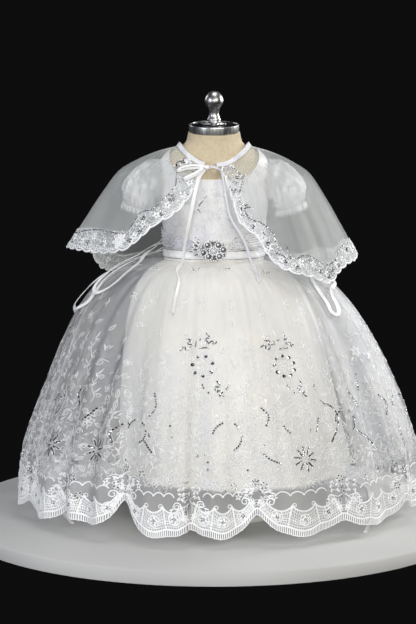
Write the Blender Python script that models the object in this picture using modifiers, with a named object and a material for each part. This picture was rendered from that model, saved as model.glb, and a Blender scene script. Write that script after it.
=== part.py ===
"""Christening gown with an organza cape, worn by a limbless dress form on a round base.

Metres, +Z up, front towards -Y, the wearer's right towards -X. The origin is on the
floor under the form's pole.  Angles run round the body: 0 at the front, +90 at +X,
180 at the back.
"""
import math

import bmesh
import bpy
import numpy as np

for old in list(bpy.data.objects):
    bpy.data.objects.remove(old, do_unlink=True)

# ---------------------------------------------------------------- driving sizes
GAP = 0.0003            # clearance between pieces at seams
CLOTH = 0.0012          # wall of sewn cloth
ORGANZA = 0.0010        # wall of the sheer pieces
RIBBON_W = 0.0058       # width of the satin ribbon tied behind the waist
TIE_W = 0.0046          # width of the satin ribbon tied at the neck
RIBBON_T = 0.0010       # its solid thickness

BASE_R, BASE_H = 0.120, 0.009
POLE_R = 0.0105
FORM_BOTTOM, FORM_TOP = 0.268, 0.548
CAP_R, CAP_H = 0.0357, 0.0112
NECK_TILT = 6.0         # degrees, the neck's top and its cap look a little forward
KNOB_TOP = 0.0480       # above the cap's top
WAIST_Z = 0.3675
SASH_LOW, SASH_HIGH = 0.3692, 0.3832
FIT = 0.0027            # middle of the bodice cloth outside the form
SCALLOP_COLS = 6        # columns across one hem scallop

# the dress form: height, half width, half depth in front and behind
TORSO = [
    # z, half_width, front, back
    (0.268, 0.0620, 0.0460, 0.0460),
    (0.274, 0.0700, 0.0530, 0.0530),
    (0.300, 0.0755, 0.0600, 0.0600),
    (0.335, 0.0740, 0.0585, 0.0595),
    (0.372, 0.0685, 0.0535, 0.0540),
    (0.405, 0.0700, 0.0550, 0.0540),
    (0.440, 0.0735, 0.0565, 0.0545),
    (0.470, 0.0765, 0.0560, 0.0545),
    (0.490, 0.0775, 0.0535, 0.0530),
    (0.503, 0.0755, 0.0500, 0.0500),
    (0.515, 0.0680, 0.0455, 0.0460),
    (0.5225, 0.0580, 0.0425, 0.0430),
    (0.528, 0.0480, 0.0400, 0.0405),
    (0.534, 0.0405, 0.0380, 0.0385),
    (0.548, 0.0370, 0.0360, 0.0365),
]

# the embroidered overskirt: share of the way down, height, half sizes
OVERSKIRT = [
    # v, z, half_width, front, back
    (0.00, 0.3672, 0.0722, 0.0574, 0.0580),
    (0.05, 0.3640, 0.0960, 0.0800, 0.0830),
    (0.12, 0.3555, 0.1260, 0.1050, 0.1090),
    (0.20, 0.3400, 0.1560, 0.1310, 0.1360),
    (0.30, 0.3120, 0.1850, 0.1570, 0.1630),
    (0.42, 0.2700, 0.2140, 0.1840, 0.1900),
    (0.56, 0.2130, 0.2430, 0.2120, 0.2180),
    (0.70, 0.1510, 0.2670, 0.2350, 0.2400),
    (0.85, 0.0830, 0.2850, 0.2510, 0.2560),
    (1.00, 0.0135, 0.2910, 0.2600, 0.2620),
]
OVERSKIRT_LEAN = 0.008   # the hem's centre lies this far towards +X
OVERSKIRT_LENGTH = 0.440  # along the cloth, waist to hem

# crests (+) and troughs (-) round the overskirt's hem
FOLDS = [
    # angle_deg, offset_mm
    (-174, -8), (-166, 9), (-158, -8), (-149, 11), (-140, -7), (-131, 8), (-122, -9),
    (-113, 10), (-104, -8), (-95, 8), (-86, -7), (-77, 7), (-66, -5), (-56, 7),
    (-49.5, -8), (-44, 8), (-39.5, -5), (-34.5, 8), (-28, -11), (-19, 5), (-10.5, 6),
    (-6.5, -7), (-1, 4), (6, -6), (13, 3), (22, 6), (32, -5), (43, 6), (54, -6),
    (65, 8), (74, -7), (83, 8), (92, -8), (101, 9), (111, -9), (121, 9), (130, -7),
    (140, 11), (149, -8), (158, 8), (167, -9), (177, 9),
]
FOLD_GROWTH = [
    # v, share of the hem's depth
    (0.00, 0.00), (0.05, 0.06), (0.12, 0.22), (0.30, 0.52), (0.60, 0.82), (1.00, 1.00),
]

# where two scallops of the hem meet, and how far the notch rises above the tips
NOTCHES = [
    # angle_deg, rise_mm
    (-174, 26), (-152, 30), (-130, 24), (-110, 28), (-90, 24), (-70, 16), (-48.8, 18),
    (-27.5, 34), (-8.2, 26), (9.9, 36), (36.2, 14), (63, 24), (90, 40), (112, 30),
    (136, 26), (161, 28),
]

# the satin underskirt
UNDERSKIRT = [
    # v, z, half_width, front, back
    (0.00, 0.3643, 0.0704, 0.0556, 0.0562),
    (0.07, 0.3570, 0.0880, 0.0720, 0.0740),
    (0.16, 0.3360, 0.1120, 0.0960, 0.0980),
    (0.30, 0.2900, 0.1330, 0.1230, 0.1240),
    (0.50, 0.2200, 0.1480, 0.1500, 0.1500),
    (0.75, 0.1350, 0.1600, 0.1760, 0.1720),
    (1.00, 0.0640, 0.1680, 0.1930, 0.1860),
]
UNDERSKIRT_LEAN = 0.030
UNDER_WAVES = 11         # soft waves round its hem
UNDER_WAVE_DEPTH = 0.0050

# top edge of the bodice round the body (both sides alike)
NECKLINE = [
    # angle_deg, z
    (0, 0.4830), (20, 0.4832), (30, 0.4850), (37.5, 0.4885), (45, 0.4955),
    (52.5, 0.5040), (60, 0.5110), (67.5, 0.5160), (75, 0.5190), (90, 0.5212),
    (105, 0.5190), (112.5, 0.5160), (120, 0.5125), (127.5, 0.5090), (135, 0.5065),
    (150, 0.5030), (165, 0.5010), (180, 0.5005),
]
ARMHOLE_Z, ARMHOLE_HALF_H, ARMHOLE_HALF_DEG = 0.4790, 0.0270, 26.0

# puffed sleeve at +X: centre, half height along its tilted plane, half depth
SLEEVE = [
    # x, z, half_height, tilt_deg, half_depth
    (0.0900, 0.4795, 0.0295, 12, 0.0385),
    (0.0990, 0.4710, 0.0285, 30, 0.0420),
    (0.1075, 0.4575, 0.0275, 56, 0.0420),
    (0.1100, 0.4465, 0.0200, 72, 0.0340),
]
CUFF = [
    # x, z, half_height, tilt_deg, half_depth
    (0.1101, 0.4456, 0.0200, 72, 0.0340),
    (0.1115, 0.4335, 0.0232, 74, 0.0380),
]
SLEEVE_COLS = 24

# the cape: neck angle and matching point of its edge, with the lift of the cloth
# between them, from the front edge at -X round the back to the front edge at +X
CAPE = [
    # neck_deg, edge_deg, edge_radius, edge_z, lift_mm
    (-36, -17.0, 0.0640, 0.5030, 1.0),
    (-40, -20.0, 0.0767, 0.4780, 2.0),
    (-45, -25.0, 0.0880, 0.4577, 4.0),
    (-51, -33.0, 0.1050, 0.4367, 9.0),
    (-57, -41.0, 0.1260, 0.4220, 15.0),
    (-63, -48.0, 0.1430, 0.4020, 21.0),
    (-70, -56.0, 0.1580, 0.3850, 26.0),
    (-78, -71.0, 0.1750, 0.3790, 30.0),
    (-86, -84.0, 0.2000, 0.3800, 31.0),
    (-92, -93.0, 0.2145, 0.3810, 31.0),
    (-102, -101.0, 0.1900, 0.3760, 31.0),
    (-115, -111.0, 0.1790, 0.3450, 29.0),
    (-130, -126.0, 0.1800, 0.3360, 20.0),
    (-152, -150.0, 0.1735, 0.3320, 14.0),
    (-180, -180.0, 0.1690, 0.3300, 10.0),
    (-208, -203.0, 0.1740, 0.3320, 14.0),
    (-230, -223.0, 0.1840, 0.3340, 20.0),
    (-245, -239.0, 0.1940, 0.3400, 26.0),
    (-258, -254.0, 0.2040, 0.3540, 31.0),
    (-267, -265.0, 0.2095, 0.3700, 33.0),
    (-274, -272.0, 0.2040, 0.3640, 33.0),
    (-281, -281.0, 0.1950, 0.3610, 32.0),
    (-288, -290.0, 0.1890, 0.3520, 30.0),
    (-295, -299.0, 0.1850, 0.3390, 27.0),
    (-301, -308.0, 0.1760, 0.3490, 24.0),
    (-307, -316.0, 0.1690, 0.3560, 20.0),
    (-312, -322.0, 0.1510, 0.3650, 16.0),
    (-317, -325.0, 0.1310, 0.3815, 12.0),
    (-321, -328.0, 0.1170, 0.4038, 9.0),
    (-325, -332.0, 0.1040, 0.4143, 6.5),
    (-328, -337.0, 0.0930, 0.4254, 4.5),
    (-331, -341.5, 0.0820, 0.4554, 3.0),
    (-334, -346.0, 0.0735, 0.4787, 2.0),
    (-337, -351.5, 0.0630, 0.5010, 1.0),
]
NECK_CURVE = [
    # angle_deg, z
    (0, 0.5040), (20, 0.5065), (40, 0.5150), (60, 0.5243), (75, 0.5298), (84, 0.5305),
    (92, 0.5308), (100, 0.5301), (110, 0.5282), (120, 0.5252), (135, 0.5218), (150, 0.5201),
    (180, 0.5195),
]
NECK_HALF_W, NECK_FRONT, NECK_BACK = 0.0515, 0.0580, 0.0500
BAND_H = 0.0070
CAPE_LACE_W = 0.0210     # lace border along the cape's edge
HUMP = [
    # share of the way out, share of the lift
    (0.00, 0.00), (0.12, 0.46), (0.25, 0.80), (0.39, 1.00), (0.55, 0.82), (0.80, 0.40),
    (1.00, 0.00),
]


# ---------------------------------------------------------------- shape functions
def table(rows):
    return np.array(rows, dtype=float)


def smooth(xs, ys, x):
    """Monotone cubic through the table's rows."""
    xs, ys = np.asarray(xs, float), np.asarray(ys, float)
    x = np.clip(np.asarray(x, float), xs[0], xs[-1])
    h = np.diff(xs)
    d = np.diff(ys) / h
    m = np.zeros_like(ys)
    m[0], m[-1] = d[0], d[-1]
    for i in range(1, len(ys) - 1):
        if d[i - 1] * d[i] > 0:
            w1, w2 = 2 * h[i] + h[i - 1], h[i] + 2 * h[i - 1]
            m[i] = (w1 + w2) / (w1 / d[i - 1] + w2 / d[i])
    i = np.clip(np.searchsorted(xs, x, side="right") - 1, 0, len(h) - 1)
    t = (x - xs[i]) / h[i]
    return (
        ys[i] * (1 + 2 * t) * (1 - t) ** 2
        + m[i] * h[i] * t * (1 - t) ** 2
        + ys[i + 1] * t * t * (3 - 2 * t)
        + m[i + 1] * h[i] * t * t * (t - 1)
    )


def oval(a, half_width, front, back):
    """A point of an oval section; a in radians from the front."""
    depth = np.where(np.cos(a) > 0, front, back)
    return half_width * np.sin(a), -depth * np.cos(a)


def on_torso(a, z, out):
    """A point `out` metres off the form's skin, at angle a and height z."""
    rows = table(TORSO)

    def skin(a, z):
        w, f, b = (smooth(rows[:, 0], rows[:, k], z) for k in (1, 2, 3))
        x, y = oval(a, w, f, b)
        return np.stack([x, y, z], -1)

    a, z = np.broadcast_arrays(np.asarray(a, float), np.asarray(z, float))
    e = 1e-4
    across = skin(a + e, z) - skin(a - e, z)
    up = skin(a, z + e) - skin(a, z - e)
    n = np.cross(across, up)
    n /= np.linalg.norm(n, axis=-1, keepdims=True)
    return skin(a, z) + n * out


FOLD_T, GROW_T, OVER_T, UNDER_T = (
    table(FOLDS),
    table(FOLD_GROWTH),
    table(OVERSKIRT),
    table(UNDERSKIRT),
)
FOLD_WRAP = np.vstack(
    [FOLD_T[-2:] - [360, 0], FOLD_T, FOLD_T[:2] + [360, 0]]
)


def fold_offset(deg):
    deg = (np.asarray(deg, float) + 174) % 360 - 174
    return smooth(FOLD_WRAP[:, 0], FOLD_WRAP[:, 1], deg) / 1000


def skirt_skin(u, v, rows, lean, offset):
    z, w, f, b = (smooth(rows[:, 0], rows[:, k], v) for k in (1, 2, 3, 4))
    x, y = oval(u, w, f, b)
    depth = np.where(np.cos(u) > 0, f, b)
    nx, ny = np.sin(u) / w, -np.cos(u) / depth
    size = np.hypot(nx, ny)
    return np.stack([x + lean * v + offset * nx / size, y + offset * ny / size, z], -1)


def on_overskirt(u, v, out=0.0):
    """A point of the overskirt; u in radians round the body, v from waist to hem."""
    u, v = np.broadcast_arrays(np.asarray(u, float), np.asarray(v, float))

    def skin(u, v):
        grow = smooth(GROW_T[:, 0], GROW_T[:, 1], v)
        return skirt_skin(u, v, OVER_T, OVERSKIRT_LEAN, fold_offset(np.degrees(u)) * grow)

    e = 1e-3
    low, high = np.clip(v - e, 0, 1), np.clip(v + e, 0, 1)
    n = np.cross(skin(u + e, v) - skin(u - e, v), skin(u, low) - skin(u, high))
    n /= np.linalg.norm(n, axis=-1, keepdims=True)
    return skin(u, v) + n * out


def on_underskirt(u, v):
    u, v = np.broadcast_arrays(np.asarray(u, float), np.asarray(v, float))
    wave = UNDER_WAVE_DEPTH * np.cos(UNDER_WAVES * u + 0.6) * v**1.5
    return skirt_skin(u, v, UNDER_T, UNDERSKIRT_LEAN, wave)


def hem_rise(deg):
    """How far the scalloped hem is above its tips, in metres."""
    rows = table(NOTCHES + [(NOTCHES[0][0] + 360, NOTCHES[0][1])])
    deg = (np.asarray(deg, float) + 174) % 360 - 174
    i = np.clip(np.searchsorted(rows[:, 0], deg, side="right") - 1, 0, len(NOTCHES) - 1)
    t = (deg - rows[i, 0]) / (rows[i + 1, 0] - rows[i, 0])
    side = rows[i, 1] * (1 - t) + rows[i + 1, 1] * t
    return side * np.abs(2 * t - 1) ** 2.2 / 1000


def neck_point(deg):
    """The middle line of the cape's neck band."""
    a = np.radians(np.asarray(deg, float))
    x, y = oval(a, NECK_HALF_W, NECK_FRONT, NECK_BACK)
    behind = np.cos(a) < 0
    side, depth = np.abs(np.sin(a)), np.abs(np.cos(a))
    x = np.where(behind, NECK_HALF_W * np.sign(np.sin(a)) * side**0.6, x)
    y = np.where(behind, NECK_BACK * depth**0.75, y)
    rows = table(NECK_CURVE)
    fold = np.abs((np.asarray(deg, float) + 180) % 360 - 180)
    return np.stack([x, y, smooth(rows[:, 0], rows[:, 1], fold)], -1)


def neck_slope(deg):
    """Unit vector down and out across the neck band."""
    a = np.radians(np.asarray(deg, float))
    return np.stack([0.6 * np.sin(a), -0.6 * np.cos(a), np.full_like(a, -0.8)], -1)


def cape_column(s):
    """Neck end, edge end and lift of the cape's column s, in rows of the table."""
    rows = table(CAPE)
    k = np.arange(len(rows))
    neck, edge, radius, z, lift = (smooth(k, rows[:, c], s) for c in range(5))
    inner = neck_point(neck) + neck_slope(neck) * (BAND_H / 2 + GAP + 0.0004)
    a = np.radians(edge)
    outer = np.stack([radius * np.sin(a), -radius * np.cos(a), z], -1)
    return inner, outer, lift / 1000


def on_cape(s, t, out=0.0):
    """A point of the cape: s along its edge, t from the neck to the edge."""
    s, t = np.broadcast_arrays(np.asarray(s, float), np.asarray(t, float))

    def skin(s, t):
        inner, outer, lift = cape_column(s)
        way = outer - inner
        side = np.stack([-(inner + outer)[..., 1], (inner + outer)[..., 0]], -1)
        side = np.concatenate([side, np.zeros(side.shape[:-1] + (1,))], -1)
        n = np.cross(side, way)
        n /= np.linalg.norm(n, axis=-1, keepdims=True)
        n *= np.where(n[..., 2:3] < 0, -1, 1)
        rows = table(HUMP)
        hump = smooth(rows[:, 0], rows[:, 1], t)
        return inner + way * t[..., None] + n * (lift * hump)[..., None]

    if not np.any(out):
        return skin(s, t)
    e = 1e-3
    last = len(CAPE) - 1
    s0, s1 = np.clip(s - e, 0, last), np.clip(s + e, 0, last)
    t0, t1 = np.clip(t - e, 0, 1), np.clip(t + e, 0, 1)
    n = np.cross(skin(s, t1) - skin(s, t0), skin(s1, t) - skin(s0, t))
    n /= np.linalg.norm(n, axis=-1, keepdims=True)
    n *= np.where(n[..., 2:3] < 0, -1, 1)
    return skin(s, t) + n * out


def sleeve_ring(row, side, phi):
    """One ring of a sleeve; phi runs from the front over the top."""
    x, z, half, tilt, depth = row
    lean = math.radians(tilt)
    return np.stack(
        [
            side * (x + half * np.sin(phi) * math.sin(lean)),
            -depth * np.cos(phi),
            z + half * np.sin(phi) * math.cos(lean),
        ],
        -1,
    )


# ---------------------------------------------------------------- building helpers
GOWN = bpy.data.collections.new("christening_gown_on_form")
CUTTERS = bpy.data.collections.new("cutters")
for c in (GOWN, CUTTERS):
    bpy.context.scene.collection.children.link(c)


def finish(name):
    """Each piece has a material of its own, picked by the kind of piece."""
    kinds = {
        # first word of the name: colour, roughness, metallic
        "form_torso": ((0.66, 0.58, 0.44), 0.85, 0.0),
        "form_cap": ((0.62, 0.62, 0.63), 0.15, 1.0),
        "form_knob": ((0.62, 0.62, 0.63), 0.15, 1.0),
        "form_pole": ((0.75, 0.75, 0.74), 0.35, 1.0),
        "form_base": ((0.80, 0.79, 0.76), 0.45, 0.0),
        "brooch": ((0.60, 0.60, 0.62), 0.20, 1.0),
        "underskirt": ((0.86, 0.83, 0.76), 0.45, 0.0),
        "overskirt": ((0.84, 0.85, 0.87), 0.60, 0.0),
        "cape": ((0.78, 0.80, 0.80), 0.60, 0.0),
    }
    found = next((v for k, v in kinds.items() if name.startswith(k)), None)
    colour, rough, metal = found or ((0.86, 0.86, 0.87), 0.50, 0.0)
    mat = bpy.data.materials.new(name)
    mat.use_nodes = True
    shader = mat.node_tree.nodes["Principled BSDF"]
    shader.inputs["Base Color"].default_value = (*colour, 1)
    shader.inputs["Roughness"].default_value = rough
    shader.inputs["Metallic"].default_value = metal
    return mat


def add(name, mesh):
    mesh.materials.append(finish(name))
    ob = bpy.data.objects.new(name, mesh)
    GOWN.objects.link(ob)
    return ob


def take(name, ob):
    """Names an object made by an operator and moves it to the gown's collection."""
    ob.name = ob.data.name = name
    for c in list(ob.users_collection):
        c.objects.unlink(ob)
    GOWN.objects.link(ob)
    ob.data.materials.append(finish(name))
    return ob


def sheet_mesh(name, points, faces):
    mesh = bpy.data.meshes.new(name)
    mesh.from_pydata([tuple(p) for p in points], [], faces)
    bm = bmesh.new()
    bm.from_mesh(mesh)
    bmesh.ops.recalc_face_normals(bm, faces=bm.faces)
    bm.to_mesh(mesh)
    bm.free()
    mesh.shade_smooth()
    return mesh


def grid_faces(rows, cols, closed=False):
    span = cols if closed else cols - 1
    return [
        (r * cols + c, r * cols + (c + 1) % cols, (r + 1) * cols + (c + 1) % cols, (r + 1) * cols + c)
        for r in range(rows - 1)
        for c in range(span)
    ]


def wall(name, points, faces, thick):
    """Cloth: an open surface with a wall built on both sides of it."""
    ob = add(name, sheet_mesh(name, points, faces))
    solid = ob.modifiers.new("cloth", "SOLIDIFY")
    solid.thickness = thick
    solid.offset = 0.0
    solid.use_even_offset = True
    solid.use_rim = True
    return ob


def grid_wall(name, grid, thick, closed=False):
    rows, cols = grid.shape[:2]
    return wall(name, grid.reshape(-1, 3), grid_faces(rows, cols, closed), thick)


def lathe(name, profile, rise, steps=40):
    """A turned piece from (radius, height) rows, listed top to bottom, on the tilted neck."""
    mesh = bpy.data.meshes.new(name)
    pts = [(r, 0, rise + z) for r, z in profile]
    mesh.from_pydata(pts, [(i, i + 1) for i in range(len(pts) - 1)], [])
    ob = add(name, mesh)
    ob.location.z = FORM_TOP
    ob.rotation_euler.x = math.radians(NECK_TILT)
    turn = ob.modifiers.new("turn", "SCREW")
    turn.steps = turn.render_steps = steps
    turn.use_merge_vertices = True
    turn.merge_threshold = 0.00001
    turn.use_smooth_shade = True
    return ob


def capped_loft(name, rings):
    """A closed body through rings of points that all have the same count."""
    count = len(rings[0])
    points = np.concatenate(rings)
    faces = grid_faces(len(rings), count, closed=True)
    faces.append(tuple(range(count - 1, -1, -1)))
    faces.append(tuple((len(rings) - 1) * count + i for i in range(count)))
    return add(name, sheet_mesh(name, points, faces))


def through(rows, step):
    """Points every `step` metres on a smooth curve through the rows."""
    rows = np.asarray(rows, float)
    ends = np.vstack([2 * rows[0] - rows[1], rows, 2 * rows[-1] - rows[-2]])
    fine = []
    for i in range(1, len(ends) - 2):
        p0, p1, p2, p3 = ends[i - 1 : i + 3]
        for t in np.linspace(0, 1, 24, endpoint=False):
            fine.append(
                0.5
                * (
                    2 * p1
                    + (p2 - p0) * t
                    + (2 * p0 - 5 * p1 + 4 * p2 - p3) * t * t
                    + (3 * p1 - p0 - 3 * p2 + p3) * t**3
                )
            )
    fine.append(ends[-2])
    fine = np.array(fine)
    run = np.r_[0, np.cumsum(np.linalg.norm(np.diff(fine[:, :3], axis=0), axis=1))]
    count = max(4, int(round(run[-1] / step)))
    at = np.linspace(0, run[-1], count + 1)
    return np.stack([np.interp(at, run, fine[:, k]) for k in range(fine.shape[1])], -1)


def ribbon(name, rows, step=0.016, width=RIBBON_W):
    """A flat ribbon through rows of x, y, z and the direction its face looks."""
    path = through(rows, step)
    mid, face = path[:, :3], path[:, 3:]
    along = np.gradient(mid, axis=0)
    along /= np.linalg.norm(along, axis=1, keepdims=True)
    across = np.cross(along, face)
    across /= np.linalg.norm(across, axis=1, keepdims=True)
    face = np.cross(across, along)
    low = np.abs(across[:, 2]) * width / 2 + np.abs(face[:, 2]) * RIBBON_T / 2 + 0.0002
    mid[:, 2] = np.maximum(mid[:, 2], low)
    rings = [
        np.array([m + sx * a * width / 2 + sn * f * RIBBON_T / 2 for sx, sn in ((-1, -1), (1, -1), (1, 1), (-1, 1))])
        for m, a, f in zip(mid, across, face)
    ]
    return capped_loft(name, rings)


def on_skirt_row(deg, v, out):
    """A ribbon's row that lies on the overskirt, `out` metres off it."""
    u = math.radians(deg)
    p = on_overskirt(u, v, out)
    far = on_overskirt(u, v, out + 0.01)
    return (*p, *((far - p) * 100))


def rad(degrees):
    return np.radians(np.asarray(degrees, float))


# ---------------------------------------------------------------- dress form
bpy.ops.mesh.primitive_cylinder_add(vertices=48, radius=BASE_R, depth=BASE_H, location=(0, 0, BASE_H / 2))
base = take("form_base", bpy.context.active_object)
edge = base.modifiers.new("edge", "BEVEL")
edge.width, edge.segments, edge.limit_method = 0.0025, 2, "ANGLE"

pole_low, pole_high = BASE_H + GAP, FORM_BOTTOM - GAP
bpy.ops.mesh.primitive_cylinder_add(
    vertices=24, radius=POLE_R, depth=pole_high - pole_low, location=(0, 0, (pole_low + pole_high) / 2)
)
take("form_pole", bpy.context.active_object)

BODY_COLS = 40
body_angles = rad(np.arange(BODY_COLS) * 360 / BODY_COLS)
torso_z = [r[0] for r in TORSO]
torso_rings = [on_torso(body_angles, z, 0.0) for z in torso_z]
torso_rings[-1][:, 2] += torso_rings[-1][:, 1] * math.tan(math.radians(NECK_TILT))
capped_loft("form_torso", torso_rings)

cap_low = GAP
lathe(
    "form_cap",
    [(0, CAP_H), (CAP_R * 0.80, CAP_H), (CAP_R * 0.94, CAP_H - 0.0006), (CAP_R, CAP_H - 0.0022), (CAP_R, 0.0), (0, 0)],
    cap_low,
)
knob_low = cap_low + CAP_H + GAP
lathe(
    "form_knob",
    [
        (0, KNOB_TOP),
        (0.0062, KNOB_TOP - 0.0012),
        (0.0112, KNOB_TOP - 0.0052),
        (0.0134, KNOB_TOP - 0.0112),
        (0.0124, KNOB_TOP - 0.0170),
        (0.0092, KNOB_TOP - 0.0220),
        (0.0072, KNOB_TOP - 0.0265),
        (0.0070, 0.0120),
        (0.0088, 0.0085),
        (0.0120, 0.0060),
        (0.0130, 0.0025),
        (0.0175, 0.0012),
        (0.0175, 0.0),
        (0, 0),
    ],
    knob_low,
    steps=28,
)

# ---------------------------------------------------------------- bodice
SEAM = math.degrees(GAP / 0.068)
neckline = table(NECKLINE)
lower_rows = [0.0, 0.30, 0.62, 1.0]
upper_rows = [0.0, 0.34, 0.67, 1.0]


def bodice_piece(name, degrees):
    """Bodice cloth between two seams, with the armhole left open."""
    degrees = np.asarray(degrees, float)
    from_front = np.abs((degrees + 180) % 360 - 180)
    top = smooth(neckline[:, 0], neckline[:, 1], from_front)
    off = np.clip(1 - ((from_front - 90) / ARMHOLE_HALF_DEG) ** 2, 0, 1)
    half = ARMHOLE_HALF_H * np.sqrt(off)
    half[half < 0.004] = 0
    middle = np.minimum(ARMHOLE_Z, top - 0.006)
    points, faces = [], []
    cols = len(degrees)
    for w in lower_rows:
        z = WAIST_Z + (middle - half - WAIST_Z) * w
        points.append(on_torso(rad(degrees), z, FIT))
    faces += grid_faces(len(lower_rows), cols)
    first_upper = len(lower_rows) * cols
    for w in upper_rows:
        z = (middle + half) + (top - middle - half) * w
        points.append(on_torso(rad(degrees), z, FIT))
    faces += [tuple(i + first_upper for i in f) for f in grid_faces(len(upper_rows), cols)]
    ob_points = np.concatenate(points)
    mesh = sheet_mesh(name, ob_points, faces)
    bm = bmesh.new()
    bm.from_mesh(mesh)
    bmesh.ops.remove_doubles(bm, verts=bm.verts, dist=1e-6)
    bm.to_mesh(mesh)
    bm.free()
    ob = add(name, mesh)
    solid = ob.modifiers.new("cloth", "SOLIDIFY")
    solid.thickness, solid.offset, solid.use_even_offset = CLOTH, 0.0, True
    return ob


step = 360 / BODY_COLS
bodice_piece("bodice_front", [-90 + SEAM, *np.arange(-90 + step, 90, step), 90 - SEAM])
bodice_piece("bodice_back_right", [-180 + SEAM, *np.arange(-180 + step, -90, step), -90 - SEAM])
bodice_piece("bodice_back_left", [90 + SEAM, *np.arange(90 + step, 180, step), 180 - SEAM])

# ---------------------------------------------------------------- sleeves
phi = rad(np.arange(SLEEVE_COLS) * 360 / SLEEVE_COLS)
gather = 0.0014 * np.cos(6 * phi + 0.4)
for side, name in ((-1, "sleeve_right"), (1, "sleeve_left")):
    hole_deg = 90 - (ARMHOLE_HALF_DEG + 2.0) * np.cos(phi)
    hole_z = ARMHOLE_Z + (ARMHOLE_HALF_H + 0.0005) * np.sin(phi)
    first = on_torso(rad(hole_deg), hole_z, FIT + CLOTH + 0.0012)
    first = first * [side, 1, 1]
    rings = [first]
    for k, row in enumerate(SLEEVE):
        ring = sleeve_ring(row, side, phi)
        mid = ring.mean(0)
        out = ring - mid
        size = np.linalg.norm(out, axis=1, keepdims=True)
        amount = gather * (1.0 if k < 3 else 0.3)
        rings.append(mid + out * (1 + amount[:, None] / size))
    grid_wall(name, np.stack(rings), ORGANZA, closed=True)
    cuffs = [sleeve_ring(row, side, phi) for row in CUFF]
    for ring, amount in zip(cuffs, (0.3, 1.0)):
        mid = ring.mean(0)
        out = ring - mid
        ring += out / np.linalg.norm(out, axis=1, keepdims=True) * (gather * amount)[:, None]
    cuffs[0] -= [0, 0, 0.0004]
    grid_wall(name.replace("sleeve", "sleeve_lace"), np.stack(cuffs), ORGANZA, closed=True)

# ---------------------------------------------------------------- skirts
UNDER_ROWS = [r[0] for r in UNDERSKIRT]
for name, low, high in (("underskirt_front", -90, 90), ("underskirt_back", 90, 270)):
    degrees = np.linspace(low, high, 21)
    degrees[0] += 0.22
    degrees[-1] -= 0.22
    grid = np.stack([on_underskirt(rad(degrees), v) for v in UNDER_ROWS])
    grid_wall(name, grid, CLOTH)

OVER_ROWS = [0.0, 0.06, 0.17, 0.34, 0.56, 0.79, 1.0]
notch_degrees = [n[0] for n in NOTCHES] + [NOTCHES[0][0] + 360]
columns = np.concatenate(
    [np.linspace(a, b, SCALLOP_COLS, endpoint=False) for a, b in zip(notch_degrees, notch_degrees[1:])]
)
front_columns = columns[(columns >= -90.01) & (columns <= 90.01)]
back_columns = np.r_[columns[columns >= 89.99], columns[columns <= -89.99] + 360]
for name, degrees in (("overskirt_front", front_columns), ("overskirt_back", back_columns)):
    degrees = degrees.copy()
    degrees[0] += 0.12
    degrees[-1] -= 0.12
    last = 1 - hem_rise(degrees) / OVERSKIRT_LENGTH
    grid = np.stack([on_overskirt(rad(degrees), v * last) for v in OVER_ROWS])
    grid_wall(name, grid, ORGANZA)

# ---------------------------------------------------------------- waist
sash_degrees = np.r_[-178.5, np.arange(-171, 172, step), 178.5]
sash_out = FIT + CLOTH + 0.0009
grid = np.stack([on_torso(rad(sash_degrees), z, sash_out) for z in (SASH_LOW, SASH_HIGH)])
grid_wall("sash", grid, CLOTH)

# pleated drapes that rise from the brooch to the side seams
for name, side in (("waist_drape_right", -1), ("waist_drape_left", 1)):
    degrees = np.r_[19.5, np.arange(27, 86, step)]
    if side < 0:
        high = 0.3950 + (degrees - 15) / 75 * 0.0190
    else:
        high = 0.3935 + 0.0200 * (1 - np.exp(-(degrees - 15) / 22))
    rows = [
        on_torso(rad(side * degrees), SASH_HIGH + 0.0012 + (high - SASH_HIGH) * w, sash_out)
        for w in (0.0, 0.5, 1.0)
    ]
    grid_wall(name, np.stack(rows), CLOTH)

bpy.ops.mesh.primitive_cylinder_add(vertices=40, radius=1.0, depth=0.0030, rotation=(math.pi / 2, 0, 0))
brooch = take("brooch", bpy.context.active_object)
brooch.data.transform(brooch.matrix_basis)
brooch.matrix_basis.identity()
BROOCH_W, BROOCH_H, BROOCH_Z, BROOCH_X = 0.0225, 0.0155, 0.3835, -0.0010
for p in brooch.data.vertices:
    p.co.x, p.co.z = p.co.x * BROOCH_W + BROOCH_X, p.co.z * BROOCH_H + BROOCH_Z
    p.co.y -= 0.0625

# ---------------------------------------------------------------- cape
CAPE_COLS = 50
stations = np.linspace(0, len(CAPE) - 1, CAPE_COLS)
inner, outer, _ = cape_column(stations)
length = np.linalg.norm(outer - inner, axis=-1)
lace_from = 1 - np.clip(CAPE_LACE_W / (length * 1.06), 0, 0.62)
body_rows = (0.0, 0.18, 0.42, 0.70, 1.0)
grid = np.stack([on_cape(stations, lace_from * w) for w in body_rows])
grid_wall("cape_organza", grid, ORGANZA)
joint = lace_from + 0.0017 / length
grid = np.stack([on_cape(stations, joint + (1 - joint) * w) for w in (0.0, 1.0)])
grid_wall("cape_lace", grid, ORGANZA)

band_degrees = np.linspace(-345, -15, 37)
mid, slope = neck_point(band_degrees), neck_slope(band_degrees)
grid_wall("cape_neck_band", np.stack([mid - slope * BAND_H / 2, mid + slope * BAND_H / 2]), CLOTH)

# ---------------------------------------------------------------- neck tie
KNOT = (-0.0073, -0.0660, 0.5030)
bpy.ops.mesh.primitive_uv_sphere_add(segments=16, ring_count=10, radius=1.0)
knot = take("tie_knot", bpy.context.active_object)
for p in knot.data.vertices:
    p.co.x, p.co.y, p.co.z = p.co.x * 0.0052 + KNOT[0], p.co.y * 0.0036 + KNOT[1], p.co.z * 0.0046 + KNOT[2]

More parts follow.
